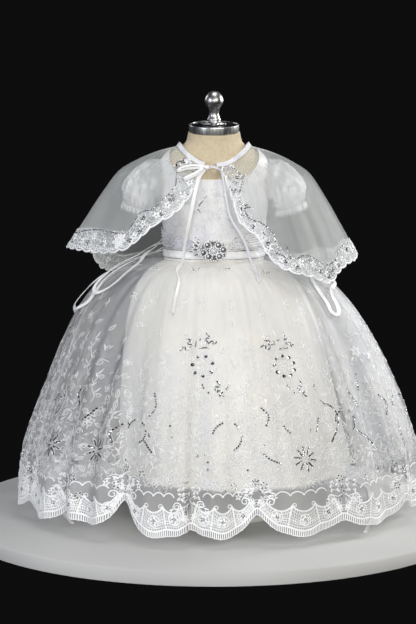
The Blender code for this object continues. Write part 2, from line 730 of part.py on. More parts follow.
TIE = {
    # name: rows of x, y, z and the way the ribbon's face looks
    "tie_loop_upper": [
        (-0.0140, -0.0672, 0.5040, 0.0, -0.9, 0.5),
        (-0.0260, -0.0695, 0.5060, -0.1, -0.8, 0.6),
        (-0.0360, -0.0700, 0.5055, -0.1, -0.8, 0.6),
        (-0.0447, -0.0690, 0.5033, -0.2, -0.8, 0.5),
        (-0.0515, -0.0662, 0.4985, -0.6, -0.8, 0.2),
        (-0.0510, -0.0690, 0.4952, -0.3, -0.9, -0.2),
        (-0.0423, -0.0722, 0.4985, 0.1, -0.9, -0.3),
        (-0.0270, -0.0735, 0.5003, 0.0, -0.9, -0.3),
        (-0.0138, -0.0708, 0.5010, 0.0, -0.9, -0.3),
    ],
    "tie_loop_lower": [
        (-0.0145, -0.0738, 0.4965, 0.0, -1.0, 0.2),
        (-0.0220, -0.0772, 0.4948, -0.1, -0.9, 0.3),
        (-0.0300, -0.0787, 0.4928, -0.1, -0.9, 0.3),
        (-0.0385, -0.0787, 0.4898, -0.3, -0.9, 0.2),
        (-0.0430, -0.0792, 0.4862, -0.6, -0.8, 0.0),
        (-0.0395, -0.0815, 0.4843, 0.2, -0.9, -0.3),
        (-0.0300, -0.0830, 0.4866, 0.1, -1.0, -0.2),
        (-0.0215, -0.0832, 0.4903, 0.0, -1.0, -0.2),
        (-0.0150, -0.0790, 0.4940, 0.0, -1.0, -0.2),
    ],
}
for name, rows in TIE.items():
    ribbon(name, rows, 0.007, TIE_W)

TAIL_RIGHT_SIDE = [
    (-0.0068, -0.0662, 0.4958, -0.1, -1.0, 0.1),
    (-0.0155, -0.0690, 0.4900, -0.1, -1.0, 0.1),
    (-0.0207, -0.0742, 0.4780, -0.1, -1.0, 0.1),
    (-0.0254, -0.0792, 0.4560, -0.1, -1.0, 0.1),
    (-0.0308, -0.0800, 0.4300, -0.1, -1.0, 0.0),
    (-0.0362, -0.0790, 0.4050, -0.1, -1.0, 0.0),
    (-0.0401, -0.0795, 0.3850, -0.1, -1.0, 0.1),
    (-0.0428, -0.0850, 0.3700, -0.1, -0.9, 0.4),
    on_skirt_row(-24.0, 0.12, 0.0050),
    on_skirt_row(-19.5, 0.175, 0.0035),
    on_skirt_row(-18.2, 0.25, 0.0035),
    on_skirt_row(-17.8, 0.325, 0.0035),
]
TAIL_LEFT_SIDE = [
    (0.0004, -0.0685, 0.5000, 0.2, -1.0, 0.1),
    (0.0105, -0.0712, 0.4950, 0.2, -1.0, 0.1),
    (0.0138, -0.0770, 0.4760, 0.2, -1.0, 0.1),
    (0.0175, -0.0832, 0.4550, 0.1, -1.0, 0.1),
    (0.0225, -0.0868, 0.4330, 0.1, -1.0, 0.1),
    (0.0355, -0.0900, 0.4120, 0.1, -1.0, 0.1),
    (0.0445, -0.0905, 0.3940, 0.1, -1.0, 0.1),
    (0.0505, -0.0925, 0.3750, 0.1, -0.9, 0.3),
    on_skirt_row(26.0, 0.12, 0.0050),
    on_skirt_row(24.0, 0.155, 0.0035),
    on_skirt_row(22.6, 0.188, 0.0035),
]
ribbon("tie_tail_right", TAIL_RIGHT_SIDE, 0.016, TIE_W)
ribbon("tie_tail_left", TAIL_LEFT_SIDE, 0.016, TIE_W)

# ---------------------------------------------------------------- bow behind the waist
BOW = (0.0, 0.0745, 0.3805)
bpy.ops.mesh.primitive_uv_sphere_add(segments=16, ring_count=10, radius=1.0)
bow = take("bow_knot", bpy.context.active_object)
for p in bow.data.vertices:
    p.co.x, p.co.y, p.co.z = p.co.x * 0.0078 + BOW[0], p.co.y * 0.0095 + BOW[1], p.co.z * 0.0075 + BOW[2]


def waist_row(side, x, y, z, tilt):
    """A ribbon's row in the air round the waist, its face looking out and up."""
    return (side * x, y, z, side * x * 6, y * 6, tilt)


# each loop runs round the waist, lies on the skirt, turns and comes back
BOW_LOOPS = {
    "bow_loop_right_long": [
        waist_row(-1, 0.0085, 0.0690, 0.3790, 0.3),
        waist_row(-1, 0.0400, 0.0735, 0.3775, 0.4),
        waist_row(-1, 0.0700, 0.0520, 0.3735, 0.8),
        on_skirt_row(-110, 0.070, 0.0060),
        on_skirt_row(-99, 0.130, 0.0045),
        on_skirt_row(-91, 0.195, 0.0045),
        on_skirt_row(-93, 0.250, 0.0045),
        on_skirt_row(-95, 0.305, 0.0045),
        on_skirt_row(-94, 0.350, 0.0045),
        on_skirt_row(-87, 0.370, 0.0055),
        on_skirt_row(-76.5, 0.352, 0.0050),
        on_skirt_row(-71.5, 0.318, 0.0045),
        on_skirt_row(-71.5, 0.270, 0.0045),
        on_skirt_row(-74, 0.215, 0.0045),
        on_skirt_row(-77, 0.150, 0.0045),
        on_skirt_row(-85, 0.088, 0.0060),
        waist_row(-1, 0.0870, 0.0260, 0.3725, 0.9),
        waist_row(-1, 0.0690, 0.0580, 0.3785, 0.6),
        waist_row(-1, 0.0380, 0.0800, 0.3840, 0.4),
        waist_row(-1, 0.0090, 0.0745, 0.3845, 0.3),
    ],
    "bow_loop_right_short": [
        waist_row(-1, 0.0100, 0.0860, 0.3810, 0.3),
        waist_row(-1, 0.0480, 0.0860, 0.3830, 0.4),
        waist_row(-1, 0.0820, 0.0530, 0.3815, 0.8),
        waist_row(-1, 0.0965, 0.0200, 0.3785, 1.0),
        on_skirt_row(-86, 0.080, 0.0110),
        on_skirt_row(-79, 0.140, 0.0095),
        on_skirt_row(-74.5, 0.195, 0.0090),
        on_skirt_row(-73.5, 0.238, 0.0090),
        on_skirt_row(-72.0, 0.266, 0.0085),
        on_skirt_row(-67.5, 0.278, 0.0075),
        on_skirt_row(-61.5, 0.252, 0.0050),
        on_skirt_row(-58, 0.212, 0.0045),
        on_skirt_row(-59.5, 0.170, 0.0045),
        on_skirt_row(-62, 0.138, 0.0045),
        on_skirt_row(-66.5, 0.092, 0.0070),
        on_skirt_row(-75, 0.058, 0.0120),
        waist_row(-1, 0.0840, 0.0060, 0.3830, 0.8),
        waist_row(-1, 0.0760, 0.0420, 0.3890, 0.6),
        waist_row(-1, 0.0440, 0.0830, 0.3910, 0.4),
        waist_row(-1, 0.0120, 0.0850, 0.3880, 0.3),
    ],
    "bow_loop_left": [
        waist_row(1, 0.0085, 0.0690, 0.3790, 0.3),
        waist_row(1, 0.0400, 0.0735, 0.3775, 0.4),
        waist_row(1, 0.0710, 0.0510, 0.3735, 0.8),
        on_skirt_row(102, 0.085, 0.0060),
        on_skirt_row(92, 0.150, 0.0050),
        on_skirt_row(84, 0.205, 0.0050),
        on_skirt_row(80, 0.240, 0.0060),
        on_skirt_row(73, 0.256, 0.0050),
        on_skirt_row(66, 0.254, 0.0045),
        on_skirt_row(62.3, 0.283, 0.0045),
        on_skirt_row(61.2, 0.316, 0.0045),
        on_skirt_row(59.6, 0.344, 0.0045),
        on_skirt_row(57.4, 0.356, 0.0055),
        on_skirt_row(55.6, 0.340, 0.0045),
        on_skirt_row(56.4, 0.305, 0.0045),
        on_skirt_row(56.8, 0.262, 0.0045),
        on_skirt_row(58.5, 0.215, 0.0045),
        on_skirt_row(66, 0.150, 0.0060),
        on_skirt_row(78, 0.095, 0.0080),
        waist_row(1, 0.0930, 0.0180, 0.3745, 0.9),
        waist_row(1, 0.0720, 0.0580, 0.3800, 0.6),
        waist_row(1, 0.0400, 0.0810, 0.3845, 0.4),
        waist_row(1, 0.0090, 0.0745, 0.3845, 0.3),
    ],
}
for name, rows in BOW_LOOPS.items():
    ribbon(name, rows, 0.010)


def bow_tail(side, rows):
    """Down the back of the skirt, then along the floor under the hem."""
    start = [
        (side * 0.0040, 0.0690, 0.3700, 0.0, 1.0, 0.4),
        (side * 0.0100, 0.0760, 0.3700, 0.0, 0.9, 0.6),
    ]
    return start + rows


for side, name, end in (
    (-1, "bow_tail_right", [(-0.2350, 0.1200), (-0.2300, 0.0500), (-0.2220, -0.0200), (-0.2100, -0.0750), (-0.2010, -0.1090)]),
    (1, "bow_tail_left", [(0.2350, 0.1200), (0.2330, 0.0400), (0.2300, -0.0400), (0.2200, -0.1100), (0.2090, -0.1640)]),
):
    rows = [
        on_skirt_row(side * 172, 0.10, 0.0045),
        on_skirt_row(side * 168, 0.20, 0.0035),
        on_skirt_row(side * 163, 0.32, 0.0035),
        on_skirt_row(side * 158, 0.46, 0.0035),
        on_skirt_row(side * 153, 0.60, 0.0035),
        on_skirt_row(side * 148, 0.74, 0.0035),
        on_skirt_row(side * 144, 0.86, 0.0040),
        on_skirt_row(side * 141, 0.955, 0.0060),
        (side * 0.1930, 0.2240, 0.0045, side * 0.5, 0.5, 0.7),
        (side * 0.2090, 0.2030, 0.0010, 0.0, 0.0, 1.0),
        (side * 0.2230, 0.1600, 0.0008, 0.0, 0.0, 1.0),
    ] + [(x, y, 0.0008, 0.0, 0.0, 1.0) for x, y in end]
    ribbon(name, bow_tail(side, rows), 0.020)
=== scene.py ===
import math
import random

import bmesh
import bpy
import numpy as np
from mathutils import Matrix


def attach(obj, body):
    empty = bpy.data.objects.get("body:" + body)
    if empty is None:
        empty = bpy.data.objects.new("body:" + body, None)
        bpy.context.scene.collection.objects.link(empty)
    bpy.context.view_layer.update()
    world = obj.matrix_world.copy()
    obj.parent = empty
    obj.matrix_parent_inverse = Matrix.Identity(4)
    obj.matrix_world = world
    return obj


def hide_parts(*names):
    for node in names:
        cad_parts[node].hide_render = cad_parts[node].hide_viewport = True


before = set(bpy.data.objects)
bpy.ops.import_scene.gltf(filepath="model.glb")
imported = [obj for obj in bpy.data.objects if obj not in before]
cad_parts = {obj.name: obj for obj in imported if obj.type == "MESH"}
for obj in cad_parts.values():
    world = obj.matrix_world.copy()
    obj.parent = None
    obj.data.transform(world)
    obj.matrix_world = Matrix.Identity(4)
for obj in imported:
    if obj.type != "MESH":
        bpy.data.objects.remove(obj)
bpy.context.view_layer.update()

# Looks of the christening gown on its dress form.  Metres, +Z up, front towards -Y.
# Angles run round the body: 0 at the front, +90 at +X.  The surface functions are the
# CAD's own, so every stitch sits on the wall that carries it.

GAP, CLOTH, ORGANZA = 0.0003, 0.0012, 0.0010
WAIST_Z, SASH_LOW, SASH_HIGH, FIT = 0.3675, 0.3692, 0.3832, 0.0027

# the dress form: height, half width, half depth in front and behind
TORSO = [
    # z, half_width, front, back
    (0.268, 0.0620, 0.0460, 0.0460),
    (0.274, 0.0700, 0.0530, 0.0530),
    (0.300, 0.0755, 0.0600, 0.0600),
    (0.335, 0.0740, 0.0585, 0.0595),
    (0.372, 0.0685, 0.0535, 0.0540),
    (0.405, 0.0700, 0.0550, 0.0540),
    (0.440, 0.0735, 0.0565, 0.0545),
    (0.470, 0.0765, 0.0560, 0.0545),
    (0.490, 0.0775, 0.0535, 0.0530),
    (0.503, 0.0755, 0.0500, 0.0500),
    (0.515, 0.0680, 0.0455, 0.0460),
    (0.5225, 0.0580, 0.0425, 0.0430),
    (0.528, 0.0480, 0.0400, 0.0405),
    (0.534, 0.0405, 0.0380, 0.0385),
    (0.548, 0.0370, 0.0360, 0.0365),
]

# the embroidered overskirt: share of the way down, height, half sizes
OVERSKIRT = [
    # v, z, half_width, front, back
    (0.00, 0.3672, 0.0722, 0.0574, 0.0580),
    (0.05, 0.3640, 0.0960, 0.0800, 0.0830),
    (0.12, 0.3555, 0.1260, 0.1050, 0.1090),
    (0.20, 0.3400, 0.1560, 0.1310, 0.1360),
    (0.30, 0.3120, 0.1850, 0.1570, 0.1630),
    (0.42, 0.2700, 0.2140, 0.1840, 0.1900),
    (0.56, 0.2130, 0.2430, 0.2120, 0.2180),
    (0.70, 0.1510, 0.2670, 0.2350, 0.2400),
    (0.85, 0.0830, 0.2850, 0.2510, 0.2560),
    (1.00, 0.0135, 0.2910, 0.2600, 0.2620),
]
OVERSKIRT_LEAN = 0.008   # the hem's centre lies this far towards +X
OVERSKIRT_LENGTH = 0.440  # along the cloth, waist to hem

# crests (+) and troughs (-) round the overskirt's hem
FOLDS = [
    # angle_deg, offset_mm
    (-174, -8), (-166, 9), (-158, -8), (-149, 11), (-140, -7), (-131, 8), (-122, -9),
    (-113, 10), (-104, -8), (-95, 8), (-86, -7), (-77, 7), (-66, -5), (-56, 7),
    (-49.5, -8), (-44, 8), (-39.5, -5), (-34.5, 8), (-28, -11), (-19, 5), (-10.5, 6),
    (-6.5, -7), (-1, 4), (6, -6), (13, 3), (22, 6), (32, -5), (43, 6), (54, -6),
    (65, 8), (74, -7), (83, 8), (92, -8), (101, 9), (111, -9), (121, 9), (130, -7),
    (140, 11), (149, -8), (158, 8), (167, -9), (177, 9),
]
FOLD_GROWTH = [
    # v, share of the hem's depth
    (0.00, 0.00), (0.05, 0.06), (0.12, 0.22), (0.30, 0.52), (0.60, 0.82), (1.00, 1.00),
]

# where two scallops of the hem meet, and how far the notch rises above the tips
NOTCHES = [
    # angle_deg, rise_mm
    (-174, 26), (-152, 30), (-130, 24), (-110, 28), (-90, 24), (-70, 16), (-48.8, 18),
    (-27.5, 34), (-8.2, 26), (9.9, 36), (36.2, 14), (63, 24), (90, 40), (112, 30),
    (136, 26), (161, 28),
]

# the satin underskirt
UNDERSKIRT = [
    # v, z, half_width, front, back
    (0.00, 0.3643, 0.0704, 0.0556, 0.0562),
    (0.07, 0.3570, 0.0880, 0.0720, 0.0740),
    (0.16, 0.3360, 0.1120, 0.0960, 0.0980),
    (0.30, 0.2900, 0.1330, 0.1230, 0.1240),
    (0.50, 0.2200, 0.1480, 0.1500, 0.1500),
    (0.75, 0.1350, 0.1600, 0.1760, 0.1720),
    (1.00, 0.0640, 0.1680, 0.1930, 0.1860),
]
UNDERSKIRT_LEAN = 0.030
UNDER_WAVES = 11         # soft waves round its hem
UNDER_WAVE_DEPTH = 0.0050

# top edge of the bodice round the body (both sides alike)
NECKLINE = [
    # angle_deg, z
    (0, 0.4830), (20, 0.4832), (30, 0.4850), (37.5, 0.4885), (45, 0.4955),
    (52.5, 0.5040), (60, 0.5110), (67.5, 0.5160), (75, 0.5190), (90, 0.5212),
    (105, 0.5190), (112.5, 0.5160), (120, 0.5125), (127.5, 0.5090), (135, 0.5065),
    (150, 0.5030), (165, 0.5010), (180, 0.5005),
]
ARMHOLE_Z, ARMHOLE_HALF_H, ARMHOLE_HALF_DEG = 0.4790, 0.0270, 26.0

# puffed sleeve at +X: centre, half height along its tilted plane, half depth
SLEEVE = [
    # x, z, half_height, tilt_deg, half_depth
    (0.0900, 0.4795, 0.0295, 12, 0.0385),
    (0.0990, 0.4710, 0.0285, 30, 0.0420),
    (0.1075, 0.4575, 0.0275, 56, 0.0420),
    (0.1100, 0.4465, 0.0200, 72, 0.0340),
]
CUFF = [
    # x, z, half_height, tilt_deg, half_depth
    (0.1101, 0.4456, 0.0200, 72, 0.0340),
    (0.1115, 0.4335, 0.0232, 74, 0.0380),
]
SLEEVE_COLS = 24

# the cape: neck angle and matching point of its edge, with the lift of the cloth
# between them, from the front edge at -X round the back to the front edge at +X
CAPE = [
    # neck_deg, edge_deg, edge_radius, edge_z, lift_mm
    (-36, -17.0, 0.0640, 0.5030, 1.0),
    (-40, -20.0, 0.0767, 0.4780, 2.0),
    (-45, -25.0, 0.0880, 0.4577, 4.0),
    (-51, -33.0, 0.1050, 0.4367, 9.0),
    (-57, -41.0, 0.1260, 0.4220, 15.0),
    (-63, -48.0, 0.1430, 0.4020, 21.0),
    (-70, -56.0, 0.1580, 0.3850, 26.0),
    (-78, -71.0, 0.1750, 0.3790, 30.0),
    (-86, -84.0, 0.2000, 0.3800, 31.0),
    (-92, -93.0, 0.2145, 0.3810, 31.0),
    (-102, -101.0, 0.1900, 0.3760, 31.0),
    (-115, -111.0, 0.1790, 0.3450, 29.0),
    (-130, -126.0, 0.1800, 0.3360, 20.0),
    (-152, -150.0, 0.1735, 0.3320, 14.0),
    (-180, -180.0, 0.1690, 0.3300, 10.0),
    (-208, -203.0, 0.1740, 0.3320, 14.0),
    (-230, -223.0, 0.1840, 0.3340, 20.0),
    (-245, -239.0, 0.1940, 0.3400, 26.0),
    (-258, -254.0, 0.2040, 0.3540, 31.0),
    (-267, -265.0, 0.2095, 0.3700, 33.0),
    (-274, -272.0, 0.2040, 0.3640, 33.0),
    (-281, -281.0, 0.1950, 0.3610, 32.0),
    (-288, -290.0, 0.1890, 0.3520, 30.0),
    (-295, -299.0, 0.1850, 0.3390, 27.0),
    (-301, -308.0, 0.1760, 0.3490, 24.0),
    (-307, -316.0, 0.1690, 0.3560, 20.0),
    (-312, -322.0, 0.1510, 0.3650, 16.0),
    (-317, -325.0, 0.1310, 0.3815, 12.0),
    (-321, -328.0, 0.1170, 0.4038, 9.0),
    (-325, -332.0, 0.1040, 0.4143, 6.5),
    (-328, -337.0, 0.0930, 0.4254, 4.5),
    (-331, -341.5, 0.0820, 0.4554, 3.0),
    (-334, -346.0, 0.0735, 0.4787, 2.0),
    (-337, -351.5, 0.0630, 0.5010, 1.0),
]
NECK_CURVE = [
    # angle_deg, z
    (0, 0.5040), (20, 0.5065), (40, 0.5150), (60, 0.5243), (75, 0.5298), (84, 0.5305),
    (92, 0.5308), (100, 0.5301), (110, 0.5282), (120, 0.5252), (135, 0.5218), (150, 0.5201),
    (180, 0.5195),
]
NECK_HALF_W, NECK_FRONT, NECK_BACK = 0.0515, 0.0580, 0.0500
BAND_H = 0.0070
CAPE_LACE_W = 0.0210     # lace border along the cape's edge
HUMP = [
    # share of the way out, share of the lift
    (0.00, 0.00), (0.12, 0.46), (0.25, 0.80), (0.39, 1.00), (0.55, 0.82), (0.80, 0.40),
    (1.00, 0.00),
]


# ---------------------------------------------------------------- shape functions
def table(rows):
    return np.array(rows, dtype=float)


def smooth(xs, ys, x):
    """Monotone cubic through the table's rows."""
    xs, ys = np.asarray(xs, float), np.asarray(ys, float)
    x = np.clip(np.asarray(x, float), xs[0], xs[-1])
    h = np.diff(xs)
    d = np.diff(ys) / h
    m = np.zeros_like(ys)
    m[0], m[-1] = d[0], d[-1]
    for i in range(1, len(ys) - 1):
        if d[i - 1] * d[i] > 0:
            w1, w2 = 2 * h[i] + h[i - 1], h[i] + 2 * h[i - 1]
            m[i] = (w1 + w2) / (w1 / d[i - 1] + w2 / d[i])
    i = np.clip(np.searchsorted(xs, x, side="right") - 1, 0, len(h) - 1)
    t = (x - xs[i]) / h[i]
    return (
        ys[i] * (1 + 2 * t) * (1 - t) ** 2
        + m[i] * h[i] * t * (1 - t) ** 2
        + ys[i + 1] * t * t * (3 - 2 * t)
        + m[i + 1] * h[i] * t * t * (t - 1)
    )


def oval(a, half_width, front, back):
    """A point of an oval section; a in radians from the front."""
    depth = np.where(np.cos(a) > 0, front, back)
    return half_width * np.sin(a), -depth * np.cos(a)


def on_torso(a, z, out):
    """A point `out` metres off the form's skin, at angle a and height z."""
    rows = table(TORSO)

    def skin(a, z):
        w, f, b = (smooth(rows[:, 0], rows[:, k], z) for k in (1, 2, 3))
        x, y = oval(a, w, f, b)
        return np.stack([x, y, z], -1)

    a, z = np.broadcast_arrays(np.asarray(a, float), np.asarray(z, float))
    e = 1e-4
    across = skin(a + e, z) - skin(a - e, z)
    up = skin(a, z + e) - skin(a, z - e)
    n = np.cross(across, up)
    n /= np.linalg.norm(n, axis=-1, keepdims=True)
    return skin(a, z) + n * out


FOLD_T, GROW_T, OVER_T, UNDER_T = (
    table(FOLDS),
    table(FOLD_GROWTH),
    table(OVERSKIRT),
    table(UNDERSKIRT),
)
FOLD_WRAP = np.vstack(
    [FOLD_T[-2:] - [360, 0], FOLD_T, FOLD_T[:2] + [360, 0]]
)


def fold_offset(deg):
    deg = (np.asarray(deg, float) + 174) % 360 - 174
    return smooth(FOLD_WRAP[:, 0], FOLD_WRAP[:, 1], deg) / 1000


def skirt_skin(u, v, rows, lean, offset):
    z, w, f, b = (smooth(rows[:, 0], rows[:, k], v) for k in (1, 2, 3, 4))
    x, y = oval(u, w, f, b)
    depth = np.where(np.cos(u) > 0, f, b)
    nx, ny = np.sin(u) / w, -np.cos(u) / depth
    size = np.hypot(nx, ny)
    return np.stack([x + lean * v + offset * nx / size, y + offset * ny / size, z], -1)


def on_overskirt(u, v, out=0.0):
    """A point of the overskirt; u in radians round the body, v from waist to hem."""
    u, v = np.broadcast_arrays(np.asarray(u, float), np.asarray(v, float))

    def skin(u, v):
        grow = smooth(GROW_T[:, 0], GROW_T[:, 1], v)
        return skirt_skin(u, v, OVER_T, OVERSKIRT_LEAN, fold_offset(np.degrees(u)) * grow)

    e = 1e-3
    low, high = np.clip(v - e, 0, 1), np.clip(v + e, 0, 1)
    n = np.cross(skin(u + e, v) - skin(u - e, v), skin(u, low) - skin(u, high))
    n /= np.linalg.norm(n, axis=-1, keepdims=True)
    return skin(u, v) + n * out


def on_underskirt(u, v):
    u, v = np.broadcast_arrays(np.asarray(u, float), np.asarray(v, float))
    wave = UNDER_WAVE_DEPTH * np.cos(UNDER_WAVES * u + 0.6) * v**1.5
    return skirt_skin(u, v, UNDER_T, UNDERSKIRT_LEAN, wave)


def hem_rise(deg):
    """How far the scalloped hem is above its tips, in metres."""
    rows = table(NOTCHES + [(NOTCHES[0][0] + 360, NOTCHES[0][1])])
    deg = (np.asarray(deg, float) + 174) % 360 - 174
    i = np.clip(np.searchsorted(rows[:, 0], deg, side="right") - 1, 0, len(NOTCHES) - 1)
    t = (deg - rows[i, 0]) / (rows[i + 1, 0] - rows[i, 0])
    side = rows[i, 1] * (1 - t) + rows[i + 1, 1] * t
    return side * np.abs(2 * t - 1) ** 2.2 / 1000


def neck_point(deg):
    """The middle line of the cape's neck band."""
    a = np.radians(np.asarray(deg, float))
    x, y = oval(a, NECK_HALF_W, NECK_FRONT, NECK_BACK)
    behind = np.cos(a) < 0
    side, depth = np.abs(np.sin(a)), np.abs(np.cos(a))
    x = np.where(behind, NECK_HALF_W * np.sign(np.sin(a)) * side**0.6, x)
    y = np.where(behind, NECK_BACK * depth**0.75, y)
    rows = table(NECK_CURVE)
    fold = np.abs((np.asarray(deg, float) + 180) % 360 - 180)
    return np.stack([x, y, smooth(rows[:, 0], rows[:, 1], fold)], -1)


def neck_slope(deg):
    """Unit vector down and out across the neck band."""
    a = np.radians(np.asarray(deg, float))
    return np.stack([0.6 * np.sin(a), -0.6 * np.cos(a), np.full_like(a, -0.8)], -1)


def cape_column(s):
    """Neck end, edge end and lift of the cape's column s, in rows of the table."""
    rows = table(CAPE)
    k = np.arange(len(rows))
    neck, edge, radius, z, lift = (smooth(k, rows[:, c], s) for c in range(5))
    inner = neck_point(neck) + neck_slope(neck) * (BAND_H / 2 + GAP + 0.0004)
    a = np.radians(edge)
    outer = np.stack([radius * np.sin(a), -radius * np.cos(a), z], -1)
    return inner, outer, lift / 1000


def on_cape(s, t, out=0.0):
    """A point of the cape: s along its edge, t from the neck to the edge."""
    s, t = np.broadcast_arrays(np.asarray(s, float), np.asarray(t, float))

    def skin(s, t):
        inner, outer, lift = cape_column(s)
        way = outer - inner
        side = np.stack([-(inner + outer)[..., 1], (inner + outer)[..., 0]], -1)
        side = np.concatenate([side, np.zeros(side.shape[:-1] + (1,))], -1)
        n = np.cross(side, way)
        n /= np.linalg.norm(n, axis=-1, keepdims=True)
        n *= np.where(n[..., 2:3] < 0, -1, 1)
        rows = table(HUMP)
        hump = smooth(rows[:, 0], rows[:, 1], t)
        return inner + way * t[..., None] + n * (lift * hump)[..., None]

    if not np.any(out):
        return skin(s, t)
    e = 1e-3
    last = len(CAPE) - 1
    s0, s1 = np.clip(s - e, 0, last), np.clip(s + e, 0, last)
    t0, t1 = np.clip(t - e, 0, 1), np.clip(t + e, 0, 1)
    n = np.cross(skin(s, t1) - skin(s, t0), skin(s1, t) - skin(s0, t))
    n /= np.linalg.norm(n, axis=-1, keepdims=True)
    n *= np.where(n[..., 2:3] < 0, -1, 1)
    return skin(s, t) + n * out


def sleeve_ring(row, side, phi):
    """One ring of a sleeve; phi runs from the front over the top."""
    x, z, half, tilt, depth = row
    lean = math.radians(tilt)
    return np.stack(
        [
            side * (x + half * np.sin(phi) * math.sin(lean)),
            -depth * np.cos(phi),
            z + half * np.sin(phi) * math.cos(lean),
        ],
        -1,
    )

def rad(degrees):
    return np.radians(np.asarray(degrees, float))


def through(rows, step):
    """Points every `step` metres on a smooth curve through the rows."""
    rows = np.asarray(rows, float)
    ends = np.vstack([2 * rows[0] - rows[1], rows, 2 * rows[-1] - rows[-2]])
    fine = []
    for i in range(1, len(ends) - 2):
        p0, p1, p2, p3 = ends[i - 1 : i + 3]
        for t in np.linspace(0, 1, 24, endpoint=False):
            fine.append(
                0.5
                * (
                    2 * p1
                    + (p2 - p0) * t
                    + (2 * p0 - 5 * p1 + 4 * p2 - p3) * t * t
                    + (3 * p1 - p0 - 3 * p2 + p3) * t**3
                )
            )
    fine.append(ends[-2])
    fine = np.array(fine)
    k = min(3, fine.shape[1])
    run = np.r_[0, np.cumsum(np.linalg.norm(np.diff(fine[:, :k], axis=0), axis=1))]
    count = max(4, int(round(run[-1] / step)))
    at = np.linspace(0, run[-1], count + 1)
    return np.stack([np.interp(at, run, fine[:, c]) for c in range(fine.shape[1])], -1)


# ================================================================ camera and light
VIEW_DOWN = math.radians(7.5)
AIM = (-0.0087, 0.0, 0.288)
AWAY = 3.0
cam = bpy.data.cameras.new("camera")
cam.lens, cam.sensor_width = 119.42, 36.0
camera = bpy.data.objects.new("camera", cam)
camera.location = (AIM[0], AIM[1] - AWAY * math.cos(VIEW_DOWN), AIM[2] + AWAY * math.sin(VIEW_DOWN))
camera.rotation_euler = (math.pi / 2 - VIEW_DOWN, 0, 0)
bpy.context.scene.collection.objects.link(camera)
bpy.context.scene.camera = camera

world = bpy.data.worlds.new("studio")
world.use_nodes = True
back = world.node_tree.nodes["Background"]
back.inputs["Color"].default_value = (0.012, 0.012, 0.013, 1)
back.inputs["Strength"].default_value = 0.35
bpy.context.scene.world = world
bpy.context.scene.view_settings.view_transform = "Standard"
bpy.context.scene.cycles.transparent_max_bounces = 40


def soft_light(name, at, aim, size, watts, colour=(1, 1, 1)):
    lamp = bpy.data.lights.new(name, "AREA")
    lamp.shape, lamp.size, lamp.energy, lamp.color = "DISK", size, watts, colour
    ob = bpy.data.objects.new(name, lamp)
    ob.location = at
    way = np.array(aim, float) - np.array(at, float)
    ob.rotation_euler = (
        math.atan2(math.hypot(way[0], way[1]), -way[2]),
        0,
        math.atan2(way[1], way[0]) - math.pi / 2,
    )
    bpy.context.scene.collection.objects.link(ob)


soft_light("key", (1.25, -2.35, 1.25), (0.02, 0, 0.24), 1.2, 34, (1.0, 0.985, 0.955))
soft_light("front", (-0.1, -2.9, 0.85), (0.0, 0, 0.22), 1.0, 27, (1.0, 0.99, 0.97))
soft_light("fill", (-1.9, -1.6, 0.8), (-0.05, 0, 0.3), 1.2, 26, (0.90, 0.93, 1.0))
soft_light("top", (0.2, -0.3, 2.3), (0, 0, 0.3), 1.2, 14)
soft_light("rim_left", (-1.5, 1.5, 1.2), (0, 0, 0.35), 0.9, 6, (0.9, 0.94, 1.0))
soft_light("rim_right", (1.9, 0.9, 1.0), (0, 0, 0.30), 0.9, 37)


# ================================================================ small helpers
def link(ob):
    bpy.context.scene.collection.objects.link(ob)
    return ob


def mesh_object(name, points, quads=(), tris=(), smooth=True):
    mesh = bpy.data.meshes.new(name)
    quads, tris = np.asarray(quads, np.int32).reshape(-1, 4), np.asarray(tris, np.int32).reshape(-1, 3)
    points = np.asarray(points, np.float32).reshape(-1, 3)
    mesh.vertices.add(len(points))
    mesh.vertices.foreach_set("co", points.ravel())
    loops = np.concatenate([quads.ravel(), tris.ravel()])
    mesh.loops.add(len(loops))
    mesh.loops.foreach_set("vertex_index", loops)
    sizes = np.r_[np.full(len(quads), 4), np.full(len(tris), 3)].astype(np.int32)
    mesh.polygons.add(len(sizes))
    mesh.polygons.foreach_set("loop_start", np.r_[0, np.cumsum(sizes)[:-1]].astype(np.int32))
    mesh.polygons.foreach_set("use_smooth", np.full(len(sizes), smooth))
    mesh.update(calc_edges=True)
    mesh.validate()
    return link(bpy.data.objects.new(name, mesh))


def grid_quads(rows, cols, closed=False):
    r, c = np.meshgrid(np.arange(rows - 1), np.arange(cols if closed else cols - 1), indexing="ij")
    r, c = r.ravel(), c.ravel()
    d = (c + 1) % cols
    return np.stack([r * cols + c, r * cols + d, (r + 1) * cols + d, (r + 1) * cols + c], -1)


def grid_object(name, grid, closed=False):
    rows, cols = grid.shape[:2]
    return mesh_object(name, grid.reshape(-1, 3), grid_quads(rows, cols, closed))


def piece(ob, material, replaces=()):
    """Gives a piece its material, hangs it on the root and hides the CAD nodes it stands for."""
    if material is not None:
        ob.data.materials.clear()
        ob.data.materials.append(material)
    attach(ob, "root")
    if replaces:
        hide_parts(*replaces)
    return ob


def area_of(ob):
    return float(sum(p.area for p in ob.data.polygons))


def sheet(ob, width, length, held, on, layers=1, fulled=1.0):
    """Prints a sheet's cut size and the area of one layer of its cloth."""
    print(f"{ob.name}: cut {width:.3f} x {length:.3f} m, cloth {area_of(ob) / layers:.4f} m2")


